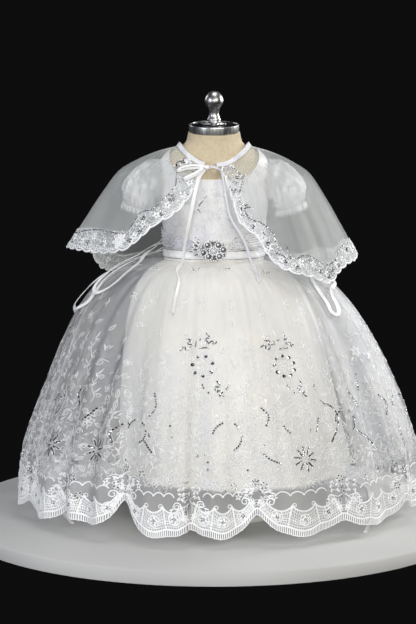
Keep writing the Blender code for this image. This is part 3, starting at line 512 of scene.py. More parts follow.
# ================================================================ materials
def material(name, colour, rough, metal=0.0, alpha=1.0, sheen=0.0, spec=0.5):
    mat = bpy.data.materials.new(name)
    mat.use_nodes = True
    shader = mat.node_tree.nodes["Principled BSDF"]
    shader.inputs["Base Color"].default_value = (*colour, 1)
    shader.inputs["Roughness"].default_value = rough
    shader.inputs["Metallic"].default_value = metal
    shader.inputs["Alpha"].default_value = alpha
    shader.inputs["Sheen Weight"].default_value = sheen
    shader.inputs["Sheen Roughness"].default_value = 0.4
    shader.inputs["Specular IOR Level"].default_value = spec
    return mat, mat.node_tree, shader


def node(tree, kind, **settings):
    n = tree.nodes.new(kind)
    for key, value in settings.items():
        if key in n.inputs:
            n.inputs[key].default_value = value
        else:
            setattr(n, key, value)
    return n


def wire(tree, a, b, out=0, into=0):
    tree.links.new(a.outputs[out], b.inputs[into])


def tint(tree, shader, dark, light, scale, detail=3.0, low=0.35, high=0.65, stretch=(1, 1, 1)):
    """Base colour that drifts between two shades."""
    where = node(tree, "ShaderNodeTexCoord")
    turn = node(tree, "ShaderNodeMapping")
    turn.inputs["Scale"].default_value = stretch
    wire(tree, where, turn, "Object", "Vector")
    noise = node(tree, "ShaderNodeTexNoise", Scale=scale, Detail=detail, Roughness=0.55)
    wire(tree, turn, noise, "Vector", "Vector")
    ramp = node(tree, "ShaderNodeValToRGB")
    ramp.color_ramp.elements[0].position, ramp.color_ramp.elements[1].position = low, high
    ramp.color_ramp.elements[0].color, ramp.color_ramp.elements[1].color = (*dark, 1), (*light, 1)
    wire(tree, noise, ramp, "Fac", "Fac")
    wire(tree, ramp, shader, "Color", "Base Color")
    return where, turn, ramp


def bump(tree, shader, height, strength, distance):
    b = node(tree, "ShaderNodeBump", Strength=strength, Distance=distance)
    tree.links.new(height, b.inputs["Height"])
    tree.links.new(b.outputs["Normal"], shader.inputs["Normal"])
    return b


def weave(tree, where, per_metre, turn=(0, 0, 0)):
    """Height of a plain weave: two sets of bands at right angles."""
    map_a = node(tree, "ShaderNodeMapping")
    map_a.inputs["Rotation"].default_value = turn
    wire(tree, where, map_a, "Object", "Vector")
    bands = []
    for axis in ("X", "Z"):
        w = node(tree, "ShaderNodeTexWave", Scale=per_metre, Distortion=0.6, Detail=1.0)
        w.bands_direction = axis
        wire(tree, map_a, w, "Vector", "Vector")
        bands.append(w)
    add = node(tree, "ShaderNodeMath", operation="ADD")
    wire(tree, bands[0], add, "Fac", 0)
    wire(tree, bands[1], add, "Fac", 1)
    return add.outputs[0]


def organza(name, alpha, dark, light, rough=0.34, stretch=0.35):
    mat, tree, shader = material(name, light, rough, alpha=alpha, sheen=0.25)
    where, _, _ = tint(tree, shader, dark, light, 26, stretch=(1, 1, stretch))
    bump(tree, shader, weave(tree, where, 480, (0, 0, 0.5)), 0.25, 0.0004)
    return mat


def satin(name, dark, light, rough=0.3, scale=34):
    mat, tree, shader = material(name, light, rough, sheen=0.3)
    where, _, _ = tint(tree, shader, dark, light, scale, stretch=(1, 1, 0.5))
    creases = node(tree, "ShaderNodeTexNoise", Scale=90, Detail=4.0, Roughness=0.6)
    wire(tree, where, creases, "Object", "Vector")
    bump(tree, shader, creases.outputs["Fac"], 0.18, 0.0015)
    return mat


NET = organza("net", 0.29, (0.79, 0.81, 0.86), (0.91, 0.91, 0.90), stretch=0.30)
CAPE_SHEER = organza("cape_sheer", 0.30, (0.76, 0.80, 0.79), (0.88, 0.90, 0.89))
LACE_NET = organza("lace_net", 0.22, (0.78, 0.80, 0.82), (0.90, 0.91, 0.92), 0.6)
SLEEVE_SHEER = organza("sleeve_sheer", 0.43, (0.74, 0.77, 0.80), (0.91, 0.92, 0.92))
SATIN = satin("white_satin", (0.76, 0.76, 0.80), (0.93, 0.92, 0.89), 0.45)
LINING = satin("lining_satin", (0.82, 0.79, 0.71), (0.91, 0.89, 0.83), 0.42, 14)
LINING.node_tree.nodes["Principled BSDF"].inputs["Sheen Weight"].default_value = 0.9
LINING.node_tree.nodes["Principled BSDF"].inputs["Sheen Roughness"].default_value = 0.55
RIBBON = satin("ribbon_satin", (0.84, 0.84, 0.87), (0.94, 0.94, 0.93), 0.26, 60)
# painted shade: the neck band's satin is a darker lavender-grey than the ribbons', standing for the shade that lies on
# the band
BAND_SATIN_PAINTED_SHADE = satin("band_satin_painted_shade", (0.64, 0.64, 0.69), (0.86, 0.86, 0.88), 0.42, 60)
# painted shade: a darker bluish, half-clear copy of the ribbon, given to the +X tail of the neck tie; its darker bluish
# tint stands for the shade on that tail
RIBBON_SHADED_SHEER = organza("ribbon_sheer_painted_shade", 0.72, (0.72, 0.72, 0.80), (0.86, 0.86, 0.90), 0.3)

FLOSS, tree, shader = material("floss", (0.86, 0.86, 0.86), 0.45, alpha=0.80, sheen=0.2)
where, _, _ = tint(tree, shader, (0.72, 0.73, 0.76), (0.90, 0.90, 0.89), 140)
strands = node(tree, "ShaderNodeTexWave", Scale=520, Distortion=2.5, Detail=1.0)
strands.bands_direction = "DIAGONAL"
wire(tree, where, strands, "Object", "Vector")
bump(tree, shader, strands.outputs["Fac"], 0.35, 0.0003)

PALE_FLOSS, tree, shader = material("pale_floss", (0.90, 0.90, 0.91), 0.45, sheen=0.2)
where, _, _ = tint(tree, shader, (0.73, 0.74, 0.79), (0.95, 0.95, 0.94), 140)
strands = node(tree, "ShaderNodeTexWave", Scale=520, Distortion=2.5, Detail=1.0)
strands.bands_direction = "DIAGONAL"
wire(tree, where, strands, "Object", "Vector")
bump(tree, shader, strands.outputs["Fac"], 0.35, 0.0003)

THREAD, tree, shader = material("thread", (0.95, 0.95, 0.95), 0.42, sheen=0.2)
where, _, _ = tint(tree, shader, (0.86, 0.87, 0.89), (0.97, 0.97, 0.97), 140)
strands = node(tree, "ShaderNodeTexWave", Scale=520, Distortion=2.5, Detail=1.0)
strands.bands_direction = "DIAGONAL"
wire(tree, where, strands, "Object", "Vector")
bump(tree, shader, strands.outputs["Fac"], 0.35, 0.0003)

LACE_THREAD, tree, shader = material("lace_thread", (0.84, 0.85, 0.86), 0.45, sheen=0.2)
where, _, _ = tint(tree, shader, (0.60, 0.62, 0.65), (0.86, 0.87, 0.88), 140)
strands = node(tree, "ShaderNodeTexWave", Scale=520, Distortion=2.5, Detail=1.0)
strands.bands_direction = "DIAGONAL"
wire(tree, where, strands, "Object", "Vector")
bump(tree, shader, strands.outputs["Fac"], 0.35, 0.0003)

SEQUIN, tree, shader = material("sequin", (0.42, 0.42, 0.43), 0.14, metal=1.0)
tint(tree, shader, (0.07, 0.07, 0.075), (0.50, 0.50, 0.52), 420, 1.0)

CRYSTAL, tree, shader = material("crystal", (0.92, 0.92, 0.95), 0.08)
shader.inputs["Coat Weight"].default_value = 0.8
tint(tree, shader, (0.74, 0.74, 0.76), (1.0, 1.0, 1.0), 620, 1.0, 0.40, 0.50)

PEARL, tree, shader = material("pearl", (0.88, 0.88, 0.88), 0.1)
shader.inputs["Coat Weight"].default_value = 0.6
tint(tree, shader, (0.70, 0.71, 0.74), (0.92, 0.92, 0.92), 200, 1.0)

LINEN, tree, shader = material("form_linen", (0.66, 0.56, 0.38), 0.85, sheen=0.12)
where, _, _ = tint(tree, shader, (0.60, 0.50, 0.33), (0.68, 0.58, 0.41), 240, 6.0)
bump(tree, shader, weave(tree, where, 260), 0.5, 0.0006)

CHROME, tree, shader = material("chrome", (0.62, 0.62, 0.61), 0.36, metal=1.0)
tint(tree, shader, (0.34, 0.34, 0.34), (0.82, 0.82, 0.81), 150, 2.0, 0.40, 0.62, stretch=(1, 1, 0.06))

BLACK, tree, shader = material("cap_black", (0.012, 0.012, 0.014), 0.12)
tint(tree, shader, (0.008, 0.008, 0.01), (0.022, 0.022, 0.026), 70, 2.0)

ENAMEL, tree, shader = material("base_enamel", (0.70, 0.69, 0.66), 0.38)
where, _, _ = tint(tree, shader, (0.66, 0.65, 0.62), (0.74, 0.73, 0.70), 30, 4.0)
grain = node(tree, "ShaderNodeTexNoise", Scale=700, Detail=2.0)
wire(tree, where, grain, "Object", "Vector")
bump(tree, shader, grain.outputs["Fac"], 0.08, 0.0005)

SEAM = math.degrees(GAP / 0.068)
SASH_SATIN = satin("sash_satin", (0.90, 0.90, 0.92), (0.98, 0.98, 0.98), 0.36, 22)
# painted light and shade: the pleated tissue comes as a darker lavender copy for the -X drape, standing for its shade,
# and a paler copy for the +X drape, standing for the light on it
PLEATS_PAINTED_SHADE = satin("pleated_tissue_painted_shade", (0.66, 0.66, 0.74), (0.86, 0.86, 0.91), 0.3, 90)
PLEATS_PAINTED_LIGHT = satin("pleated_tissue_painted_light", (0.84, 0.84, 0.86), (0.95, 0.95, 0.95), 0.3, 90)

GLITTER, tree, shader = material("glitter_thread", (0.55, 0.56, 0.6), 0.3, metal=0.7)
tint(tree, shader, (0.10, 0.10, 0.12), (0.55, 0.55, 0.60), 700, 1.0)

MIRROR, tree, shader = material("mirror_stone", (0.10, 0.10, 0.11), 0.04)
shader.inputs["Coat Weight"].default_value = 1.0
tint(tree, shader, (0.035, 0.035, 0.04), (0.22, 0.22, 0.24), 260, 1.0)

SETTING, tree, shader = material("brooch_setting", (0.12, 0.12, 0.13), 0.35, metal=0.6)
where, _, _ = tint(tree, shader, (0.03, 0.03, 0.035), (0.30, 0.30, 0.32), 900, 1.0)
grit = node(tree, "ShaderNodeTexVoronoi", Scale=620)
wire(tree, where, grit, "Object", "Vector")
bump(tree, shader, grit.outputs["Distance"], 0.7, 0.001)

FLOOR, tree, shader = material("floor", (0.50, 0.50, 0.49), 0.75)
tint(tree, shader, (0.47, 0.47, 0.465), (0.52, 0.52, 0.51), 3, 2.0)

# ================================================================ floor
turns = rad(np.arange(96) * 360 / 96)
FLOOR_R = 0.37
rings = []
for r, z in ((0.0005, 0.0), (FLOOR_R * 0.5, 0.0), (FLOOR_R, 0.0), (FLOOR_R + 0.004, -0.004), (FLOOR_R + 0.004, -0.02)):
    rings.append(np.stack([r * np.sin(turns), -r * np.cos(turns), np.full_like(turns, z)], -1))
floor = grid_object("floor", np.stack(rings), closed=True)
floor.data.materials.append(FLOOR)


# ================================================================ ribbons (cords)
RIBBON_VIEW_W, TIE_VIEW_W, RIBBON_VIEW_T = 0.0058, 0.0046, 0.0006


def ribbon(name, rows, replaces, step=0.004, curl=0.0006, width=RIBBON_VIEW_W, shaded_sheer=False, twist=0.0):
    """A satin ribbon, slightly cupped, along rows of x, y, z and the way its face looks."""
    path = through(rows, step)
    mid, face = path[:, :3].copy(), path[:, 3:]
    along = np.gradient(mid, axis=0)
    along /= np.linalg.norm(along, axis=1, keepdims=True)
    across = np.cross(along, face)
    across /= np.linalg.norm(across, axis=1, keepdims=True)
    face = np.cross(across, along)
    # it turns on its own length by `twist` degrees down to its free end
    angle = (np.radians(twist) * np.clip((np.linspace(0, 1, len(mid)) - 0.18) / 0.40, 0, 1))[:, None]
    across, face = across * np.cos(angle) + face * np.sin(angle), face * np.cos(angle) - across * np.sin(angle)
    low = np.abs(across[:, 2]) * width / 2 + np.abs(face[:, 2]) * 0.0006 + 0.0002
    mid[:, 2] = np.maximum(mid[:, 2], low)
    ring = []
    for share, side in ((-1, 1), (-0.5, 1), (0, 1), (0.5, 1), (1, 1), (1, -1), (0.5, -1), (0, -1), (-0.5, -1), (-1, -1)):
        lift = curl * (share * share - 0.5) + side * RIBBON_VIEW_T / 2
        ring.append(mid + across * share * width / 2 + face * lift)
    grid = np.stack(ring, 1)
    n, k = grid.shape[:2]
    quads = grid_quads(n, k, closed=True)
    caps = []
    for base in (0, (n - 1) * k):
        for j in range(4):
            a, b, c, d = j, j + 1, 8 - j, 9 - j
            q = [base + a, base + b, base + c, base + d]
            caps.append(q if base else q[::-1])
    ob = mesh_object(name, grid.reshape(-1, 3), np.vstack([quads, caps]))
    piece(ob, RIBBON_SHADED_SHEER if shaded_sheer else RIBBON, replaces)
    return ob


def on_skirt_row(deg, v, out):
    """A ribbon's row that lies on the overskirt, `out` metres off it."""
    u = math.radians(deg)
    p = on_overskirt(u, v, out)
    far = on_overskirt(u, v, out + 0.01)
    return (*p, *((far - p) * 100))

# ================================================================ neck tie and back bow
TIE_UPPER = [
    # x, y, z and the way the ribbon's face looks
    (-0.0129, -0.0680, 0.5030, 0.0, -0.9, 0.5),
    (-0.0234, -0.0695, 0.5043, -0.1, -0.8, 0.6),
    (-0.0325, -0.0700, 0.5043, -0.1, -0.8, 0.6),
    (-0.0396, -0.0695, 0.5033, -0.2, -0.8, 0.5),
    (-0.0466, -0.0682, 0.5008, -0.4, -0.8, 0.4),
    (-0.0520, -0.0672, 0.4968, -0.6, -0.8, 0.1),
    (-0.0466, -0.0702, 0.4976, -0.1, -0.9, -0.2),
    (-0.0382, -0.0722, 0.5002, 0.1, -0.9, -0.3),
    (-0.0255, -0.0735, 0.5012, 0.0, -0.9, -0.3),
    (-0.0136, -0.0716, 0.5014, 0.0, -0.9, -0.3),
]
TIE_LOWER = [
    (-0.0140, -0.0730, 0.5000, 0.0, -1.0, 0.2),
    (-0.0213, -0.0762, 0.4976, -0.1, -0.9, 0.3),
    (-0.0283, -0.0782, 0.4938, -0.1, -0.9, 0.3),
    (-0.0351, -0.0787, 0.4905, -0.3, -0.9, 0.2),
    (-0.0408, -0.0790, 0.4881, -0.6, -0.8, 0.0),
    (-0.0418, -0.0806, 0.4858, -0.3, -0.9, -0.2),
    (-0.0356, -0.0820, 0.4872, 0.1, -1.0, -0.2),
    (-0.0283, -0.0828, 0.4908, 0.1, -1.0, -0.2),
    (-0.0210, -0.0820, 0.4950, 0.0, -1.0, -0.2),
    (-0.0149, -0.0780, 0.4984, 0.0, -1.0, -0.2),
]
TAIL_RIGHT_SIDE = [
    (-0.0132, -0.0690, 0.4990, -0.1, -1.0, 0.1),
    (-0.0165, -0.0708, 0.4955, -0.1, -1.0, 0.1),
    (-0.0199, -0.0730, 0.4908, -0.1, -1.0, 0.1),
    (-0.0222, -0.0752, 0.4850, -0.1, -1.0, 0.1),
    (-0.0245, -0.0772, 0.4765, -0.1, -1.0, 0.1),
    (-0.0289, -0.0797, 0.4560, -0.1, -1.0, 0.1),
    (-0.0343, -0.0802, 0.4300, -0.1, -1.0, 0.0),
    (-0.0392, -0.0792, 0.4050, -0.1, -1.0, 0.0),
    (-0.0426, -0.0795, 0.3850, -0.1, -1.0, 0.1),
    (-0.0448, -0.0850, 0.3700, -0.1, -0.9, 0.4),
    on_skirt_row(-24.5, 0.12, 0.0050),
    on_skirt_row(-19.5, 0.175, 0.0035),
    on_skirt_row(-18.2, 0.25, 0.0035),
    on_skirt_row(-17.8, 0.325, 0.0035),
]
TAIL_LEFT_SIDE = [
    (0.0004, -0.0685, 0.5000, 0.2, -1.0, 0.1),
    (0.0105, -0.0712, 0.4950, 0.2, -1.0, 0.1),
    (0.0138, -0.0770, 0.4760, 0.2, -1.0, 0.1),
    (0.0175, -0.0832, 0.4550, 0.1, -1.0, 0.1),
    (0.0225, -0.0868, 0.4330, 0.1, -1.0, 0.1),
    (0.0355, -0.0900, 0.4120, 0.1, -1.0, 0.1),
    (0.0445, -0.0905, 0.3940, 0.1, -1.0, 0.1),
    (0.0505, -0.0925, 0.3750, 0.1, -0.9, 0.3),
    on_skirt_row(26.0, 0.12, 0.0050),
    on_skirt_row(24.0, 0.155, 0.0035),
    on_skirt_row(22.6, 0.188, 0.0035),
]
KNOT = (-0.0104, -0.0682, 0.5014)
BOW = (0.0, 0.0745, 0.3805)
ribbon("tie_loop_upper_ribbon", TIE_UPPER, ["tie_loop_upper"], 0.0025, width=0.0030)
ribbon("tie_loop_lower_ribbon", TIE_LOWER, ["tie_loop_lower"], 0.0025, width=0.0030)
ribbon("tie_tail_right_ribbon", TAIL_RIGHT_SIDE, ["tie_tail_right"], width=TIE_VIEW_W * 1.15, twist=66)
FROM_KNOT = [(-0.0078, -0.0706, 0.5026, 0.1, -1.0, 0.2), (-0.0010, -0.0728, 0.5028, 0.1, -1.0, 0.2), (0.0060, -0.0738, 0.5000, 0.2, -1.0, 0.1)]
# the +X tail takes the ribbon copy with painted shade
ribbon("tie_tail_left_ribbon", FROM_KNOT + TAIL_LEFT_SIDE[1:], ["tie_tail_left"], width=TIE_VIEW_W * 0.75, shaded_sheer=True)


def waist_row(side, x, y, z, tilt):
    """A ribbon's row in the air round the waist, its face looking out and up."""
    return (side * x, y, z, side * x * 6, y * 6, tilt)


# each loop runs round the waist, lies on the skirt, turns and comes back
BOW_LOOPS = {
    "bow_loop_right_long": [
        waist_row(-1, 0.0085, 0.0690, 0.3790, 0.3),
        waist_row(-1, 0.0400, 0.0735, 0.3775, 0.4),
        waist_row(-1, 0.0700, 0.0520, 0.3735, 0.8),
        on_skirt_row(-110, 0.070, 0.0060),
        on_skirt_row(-99, 0.130, 0.0045),
        on_skirt_row(-91, 0.195, 0.0045),
        on_skirt_row(-93, 0.250, 0.0045),
        on_skirt_row(-95, 0.305, 0.0045),
        on_skirt_row(-94, 0.350, 0.0045),
        on_skirt_row(-87, 0.370, 0.0055),
        on_skirt_row(-76.5, 0.352, 0.0050),
        on_skirt_row(-71.5, 0.318, 0.0045),
        on_skirt_row(-71.5, 0.270, 0.0045),
        on_skirt_row(-74, 0.215, 0.0045),
        on_skirt_row(-77, 0.150, 0.0045),
        on_skirt_row(-85, 0.088, 0.0060),
        waist_row(-1, 0.0870, 0.0260, 0.3725, 0.9),
        waist_row(-1, 0.0690, 0.0580, 0.3785, 0.6),
        waist_row(-1, 0.0380, 0.0800, 0.3840, 0.4),
        waist_row(-1, 0.0090, 0.0745, 0.3845, 0.3),
    ],
    "bow_loop_right_short": [
        waist_row(-1, 0.0100, 0.0860, 0.3810, 0.3),
        waist_row(-1, 0.0480, 0.0860, 0.3830, 0.4),
        waist_row(-1, 0.0820, 0.0530, 0.3815, 0.8),
        waist_row(-1, 0.0965, 0.0200, 0.3785, 1.0),
        on_skirt_row(-86, 0.080, 0.0110),
        on_skirt_row(-79, 0.140, 0.0095),
        on_skirt_row(-74.5, 0.195, 0.0090),
        on_skirt_row(-73.5, 0.238, 0.0090),
        on_skirt_row(-72.0, 0.266, 0.0085),
        on_skirt_row(-67.5, 0.278, 0.0075),
        on_skirt_row(-61.5, 0.252, 0.0050),
        on_skirt_row(-58, 0.212, 0.0045),
        on_skirt_row(-59.5, 0.170, 0.0045),
        on_skirt_row(-62, 0.138, 0.0045),
        on_skirt_row(-66.5, 0.092, 0.0070),
        on_skirt_row(-75, 0.058, 0.0120),
        waist_row(-1, 0.0840, 0.0060, 0.3830, 0.8),
        waist_row(-1, 0.0760, 0.0420, 0.3890, 0.6),
        waist_row(-1, 0.0440, 0.0830, 0.3910, 0.4),
        waist_row(-1, 0.0120, 0.0850, 0.3880, 0.3),
    ],
    "bow_loop_left": [
        waist_row(1, 0.0085, 0.0690, 0.3790, 0.3),
        waist_row(1, 0.0400, 0.0735, 0.3775, 0.4),
        waist_row(1, 0.0710, 0.0510, 0.3735, 0.8),
        on_skirt_row(102, 0.085, 0.0060),
        on_skirt_row(92, 0.150, 0.0050),
        on_skirt_row(84, 0.205, 0.0050),
        on_skirt_row(80, 0.240, 0.0060),
        on_skirt_row(73, 0.256, 0.0050),
        on_skirt_row(66, 0.254, 0.0045),
        on_skirt_row(62.3, 0.283, 0.0045),
        on_skirt_row(61.2, 0.316, 0.0045),
        on_skirt_row(59.6, 0.344, 0.0045),
        on_skirt_row(57.4, 0.356, 0.0055),
        on_skirt_row(55.6, 0.340, 0.0045),
        on_skirt_row(56.4, 0.305, 0.0045),
        on_skirt_row(56.8, 0.262, 0.0045),
        on_skirt_row(58.5, 0.215, 0.0045),
        on_skirt_row(66, 0.150, 0.0060),
        on_skirt_row(78, 0.095, 0.0080),
        waist_row(1, 0.0930, 0.0180, 0.3745, 0.9),
        waist_row(1, 0.0720, 0.0580, 0.3800, 0.6),
        waist_row(1, 0.0400, 0.0810, 0.3845, 0.4),
        waist_row(1, 0.0090, 0.0745, 0.3845, 0.3),
    ],
}
for name, rows in BOW_LOOPS.items():
    ribbon(name + "_ribbon", rows, [name], 0.004)

for side, name, end in (
    (-1, "bow_tail_right", [(-0.2350, 0.1200), (-0.2300, 0.0500), (-0.2220, -0.0200), (-0.2100, -0.0750), (-0.2010, -0.1090)]),
    (1, "bow_tail_left", [(0.2350, 0.1200), (0.2330, 0.0400), (0.2300, -0.0400), (0.2200, -0.1100), (0.2090, -0.1640)]),
):
    rows = [
        (side * 0.0040, 0.0690, 0.3700, 0.0, 1.0, 0.4),
        (side * 0.0100, 0.0760, 0.3700, 0.0, 0.9, 0.6),
        on_skirt_row(side * 172, 0.10, 0.0045),
        on_skirt_row(side * 168, 0.20, 0.0035),
        on_skirt_row(side * 163, 0.32, 0.0035),
        on_skirt_row(side * 158, 0.46, 0.0035),
        on_skirt_row(side * 153, 0.60, 0.0035),
        on_skirt_row(side * 148, 0.74, 0.0035),
        on_skirt_row(side * 144, 0.86, 0.0040),
        on_skirt_row(side * 141, 0.955, 0.0060),
        (side * 0.1930, 0.2240, 0.0045, side * 0.5, 0.5, 0.7),
        (side * 0.2090, 0.2030, 0.0010, 0.0, 0.0, 1.0),
        (side * 0.2230, 0.1600, 0.0008, 0.0, 0.0, 1.0),
    ] + [(x, y, 0.0008, 0.0, 0.0, 1.0) for x, y in end]
    ribbon(name + "_ribbon", rows, [name], 0.006)


def knot(name, centre, half, slot_node):
    """A wrapped satin knot: a rounded lump pulled in across its middle."""
    n, m = 40, 24
    a = rad(np.arange(n) * 360 / n)
    rows = []
    for t in np.linspace(0.02, math.pi - 0.02, m):
        x = np.cos(t)
        r = np.sin(t) ** 0.75 * (1 - 0.10 * np.cos(a * 5 + 3 * x) - 0.06 * np.cos(a * 9))
        rows.append(np.stack([np.full(n, x) * half[0], r * np.sin(a) * half[1], r * np.cos(a) * half[2]], -1))
    ob = grid_object(name, np.stack(rows) + np.array(centre), closed=True)
    mesh = ob.data
    bm = bmesh.new()
    bm.from_mesh(mesh)
    bmesh.ops.holes_fill(bm, edges=bm.edges, sides=0)
    bmesh.ops.recalc_face_normals(bm, faces=bm.faces)
    bm.to_mesh(mesh)
    bm.free()
    mesh.shade_smooth()
    return piece(ob, RIBBON, [slot_node])


knot("tie_knot_satin", KNOT, (0.0040, 0.0036, 0.0033), "tie_knot")
knot("bow_knot_satin", BOW, (0.0080, 0.0096, 0.0078), "bow_knot")

# ================================================================ dress form
cols = 144
form_angles = rad(np.arange(cols) * 360 / cols)
FORM_TOP, NECK_TILT = 0.548, math.radians(6.0)
heights = np.r_[0.2684, 0.2692, 0.271, 0.274, np.linspace(0.28, 0.5455, 74), 0.5474, 0.548]
grid = np.stack([on_torso(form_angles, z, 0.0) for z in heights])
tuck = np.clip((0.0035 - (heights - 0.268)) / 0.0035, 0, 1)
grid[:, :, :2] *= (1 - 0.03 * tuck**2)[:, None, None]
lean = np.clip((heights - 0.530) / 0.018, 0, 1) ** 1.5
grid[:, :, 2] += lean[:, None] * grid[:, :, 1] * math.tan(NECK_TILT)
bottom = np.stack([grid[0] * [s, s, 1] for s in (0.02, 0.5, 0.93)])
top = np.stack([np.stack([grid[-1][:, 0] * s, grid[-1][:, 1] * s, grid[-1][:, 2] * s + (1 - s) * FORM_TOP], -1) for s in (0.9, 0.4, 0.02)])
torso = grid_object("form_torso_linen", np.concatenate([bottom, grid, top]), closed=True)
piece(torso, LINEN, ["form_torso"])


def turned(name, profile, steps, mat, replaces=(), tilt=NECK_TILT):
    """A turned piece on the tilted neck from (radius, height) rows, listed top to bottom."""
    profile = np.asarray(profile, float)
    a = rad(np.arange(steps) * 360 / steps)
    rows = []
    for r, z in profile:
        x, y = r * np.sin(a), -r * np.cos(a)
        rows.append(np.stack([x, y * math.cos(tilt) - z * math.sin(tilt), FORM_TOP + y * math.sin(tilt) + z * math.cos(tilt)], -1))
    return piece(grid_object(name, np.stack(rows)[::-1], closed=True), mat, replaces)


CAP_H, CAP_R = 0.0112, 0.0357
low = 0.0003
turned(
    "form_cap_ring",
    [
        (CAP_R * 0.950, low + CAP_H - 0.0012), (CAP_R * 0.954, low + CAP_H - 0.0002), (CAP_R * 0.965, low + CAP_H),
        (CAP_R * 0.982, low + CAP_H), (CAP_R * 0.993, low + CAP_H - 0.0003), (CAP_R * 0.999, low + CAP_H - 0.0009),
        (CAP_R, low + CAP_H - 0.0018), (CAP_R, low + 0.0012), (CAP_R * 0.996, low + 0.0006), (CAP_R * 0.985, low + 0.0001),
        (CAP_R * 0.97, low), (0.0005, low),
    ],
    128, CHROME, ["form_cap"],
)
turned(
    "form_cap_disc",
    [(0.0004, low + CAP_H - 0.0007), (CAP_R * 0.5, low + CAP_H - 0.0007), (CAP_R * 0.93, low + CAP_H - 0.0006), (CAP_R * 0.949, low + CAP_H - 0.0011)],
    96, BLACK,
)

# finial: a leaf-pointed flange, a waisted stem and a pear-shaped head
K = 0.0480
kl = low + CAP_H + 0.0002
turned(
    "form_finial",
    [
        (0.0004, kl + K - 0.0004), (0.0030, kl + K - 0.0008), (0.0062, kl + K - 0.0022), (0.0092, kl + K - 0.0048), (0.0116, kl + K - 0.0082),
        (0.0130, kl + K - 0.0120), (0.0132, kl + K - 0.0152), (0.0124, kl + K - 0.0185), (0.0108, kl + K - 0.0215), (0.0090, kl + K - 0.0245),
        (0.0077, kl + K - 0.0275), (0.0070, kl + 0.0165), (0.0071, kl + 0.0130), (0.0080, kl + 0.0100), (0.0094, kl + 0.0078), (0.0098, kl + 0.0062),
        (0.0092, kl + 0.0050), (0.0096, kl + 0.0038), (0.0118, kl + 0.0024), (0.0122, kl + 0.0008), (0.0110, kl + 0.0001),
    ],
    96, CHROME, ["form_knob"],
)
n = 96
a = rad(np.arange(n) * 360 / n)
star = 0.0125 + 0.0058 * np.abs(np.cos(a * 2.5)) ** 1.8
rows = []
for share, z in ((0.60, 0.0030), (0.75, 0.0026), (0.9, 0.0019), (1.0, 0.0012), (1.0, 0.0004), (0.9, 0.0001), (0.5, 0.0001)):
    r = 0.0105 * (1 - share) + star * share if share < 1 else star
    x, y = r * np.sin(a), -r * np.cos(a)
    zz = np.full(n, kl + z)
    rows.append(np.stack([x, y * math.cos(NECK_TILT) - zz * math.sin(NECK_TILT), FORM_TOP + y * math.sin(NECK_TILT) + zz * math.cos(NECK_TILT)], -1))
piece(grid_object("form_finial_flange", np.stack(rows)[::-1], closed=True), CHROME)

for cad_name, mat, slot in (("form_pole", CHROME, "chrome_metal"), ("form_base", ENAMEL, "base_enamel")):
    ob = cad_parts[cad_name]
    for s in range(max(1, len(ob.material_slots))):
        if not ob.material_slots:
            ob.data.materials.append(mat)
        else:
            ob.material_slots[s].material = mat

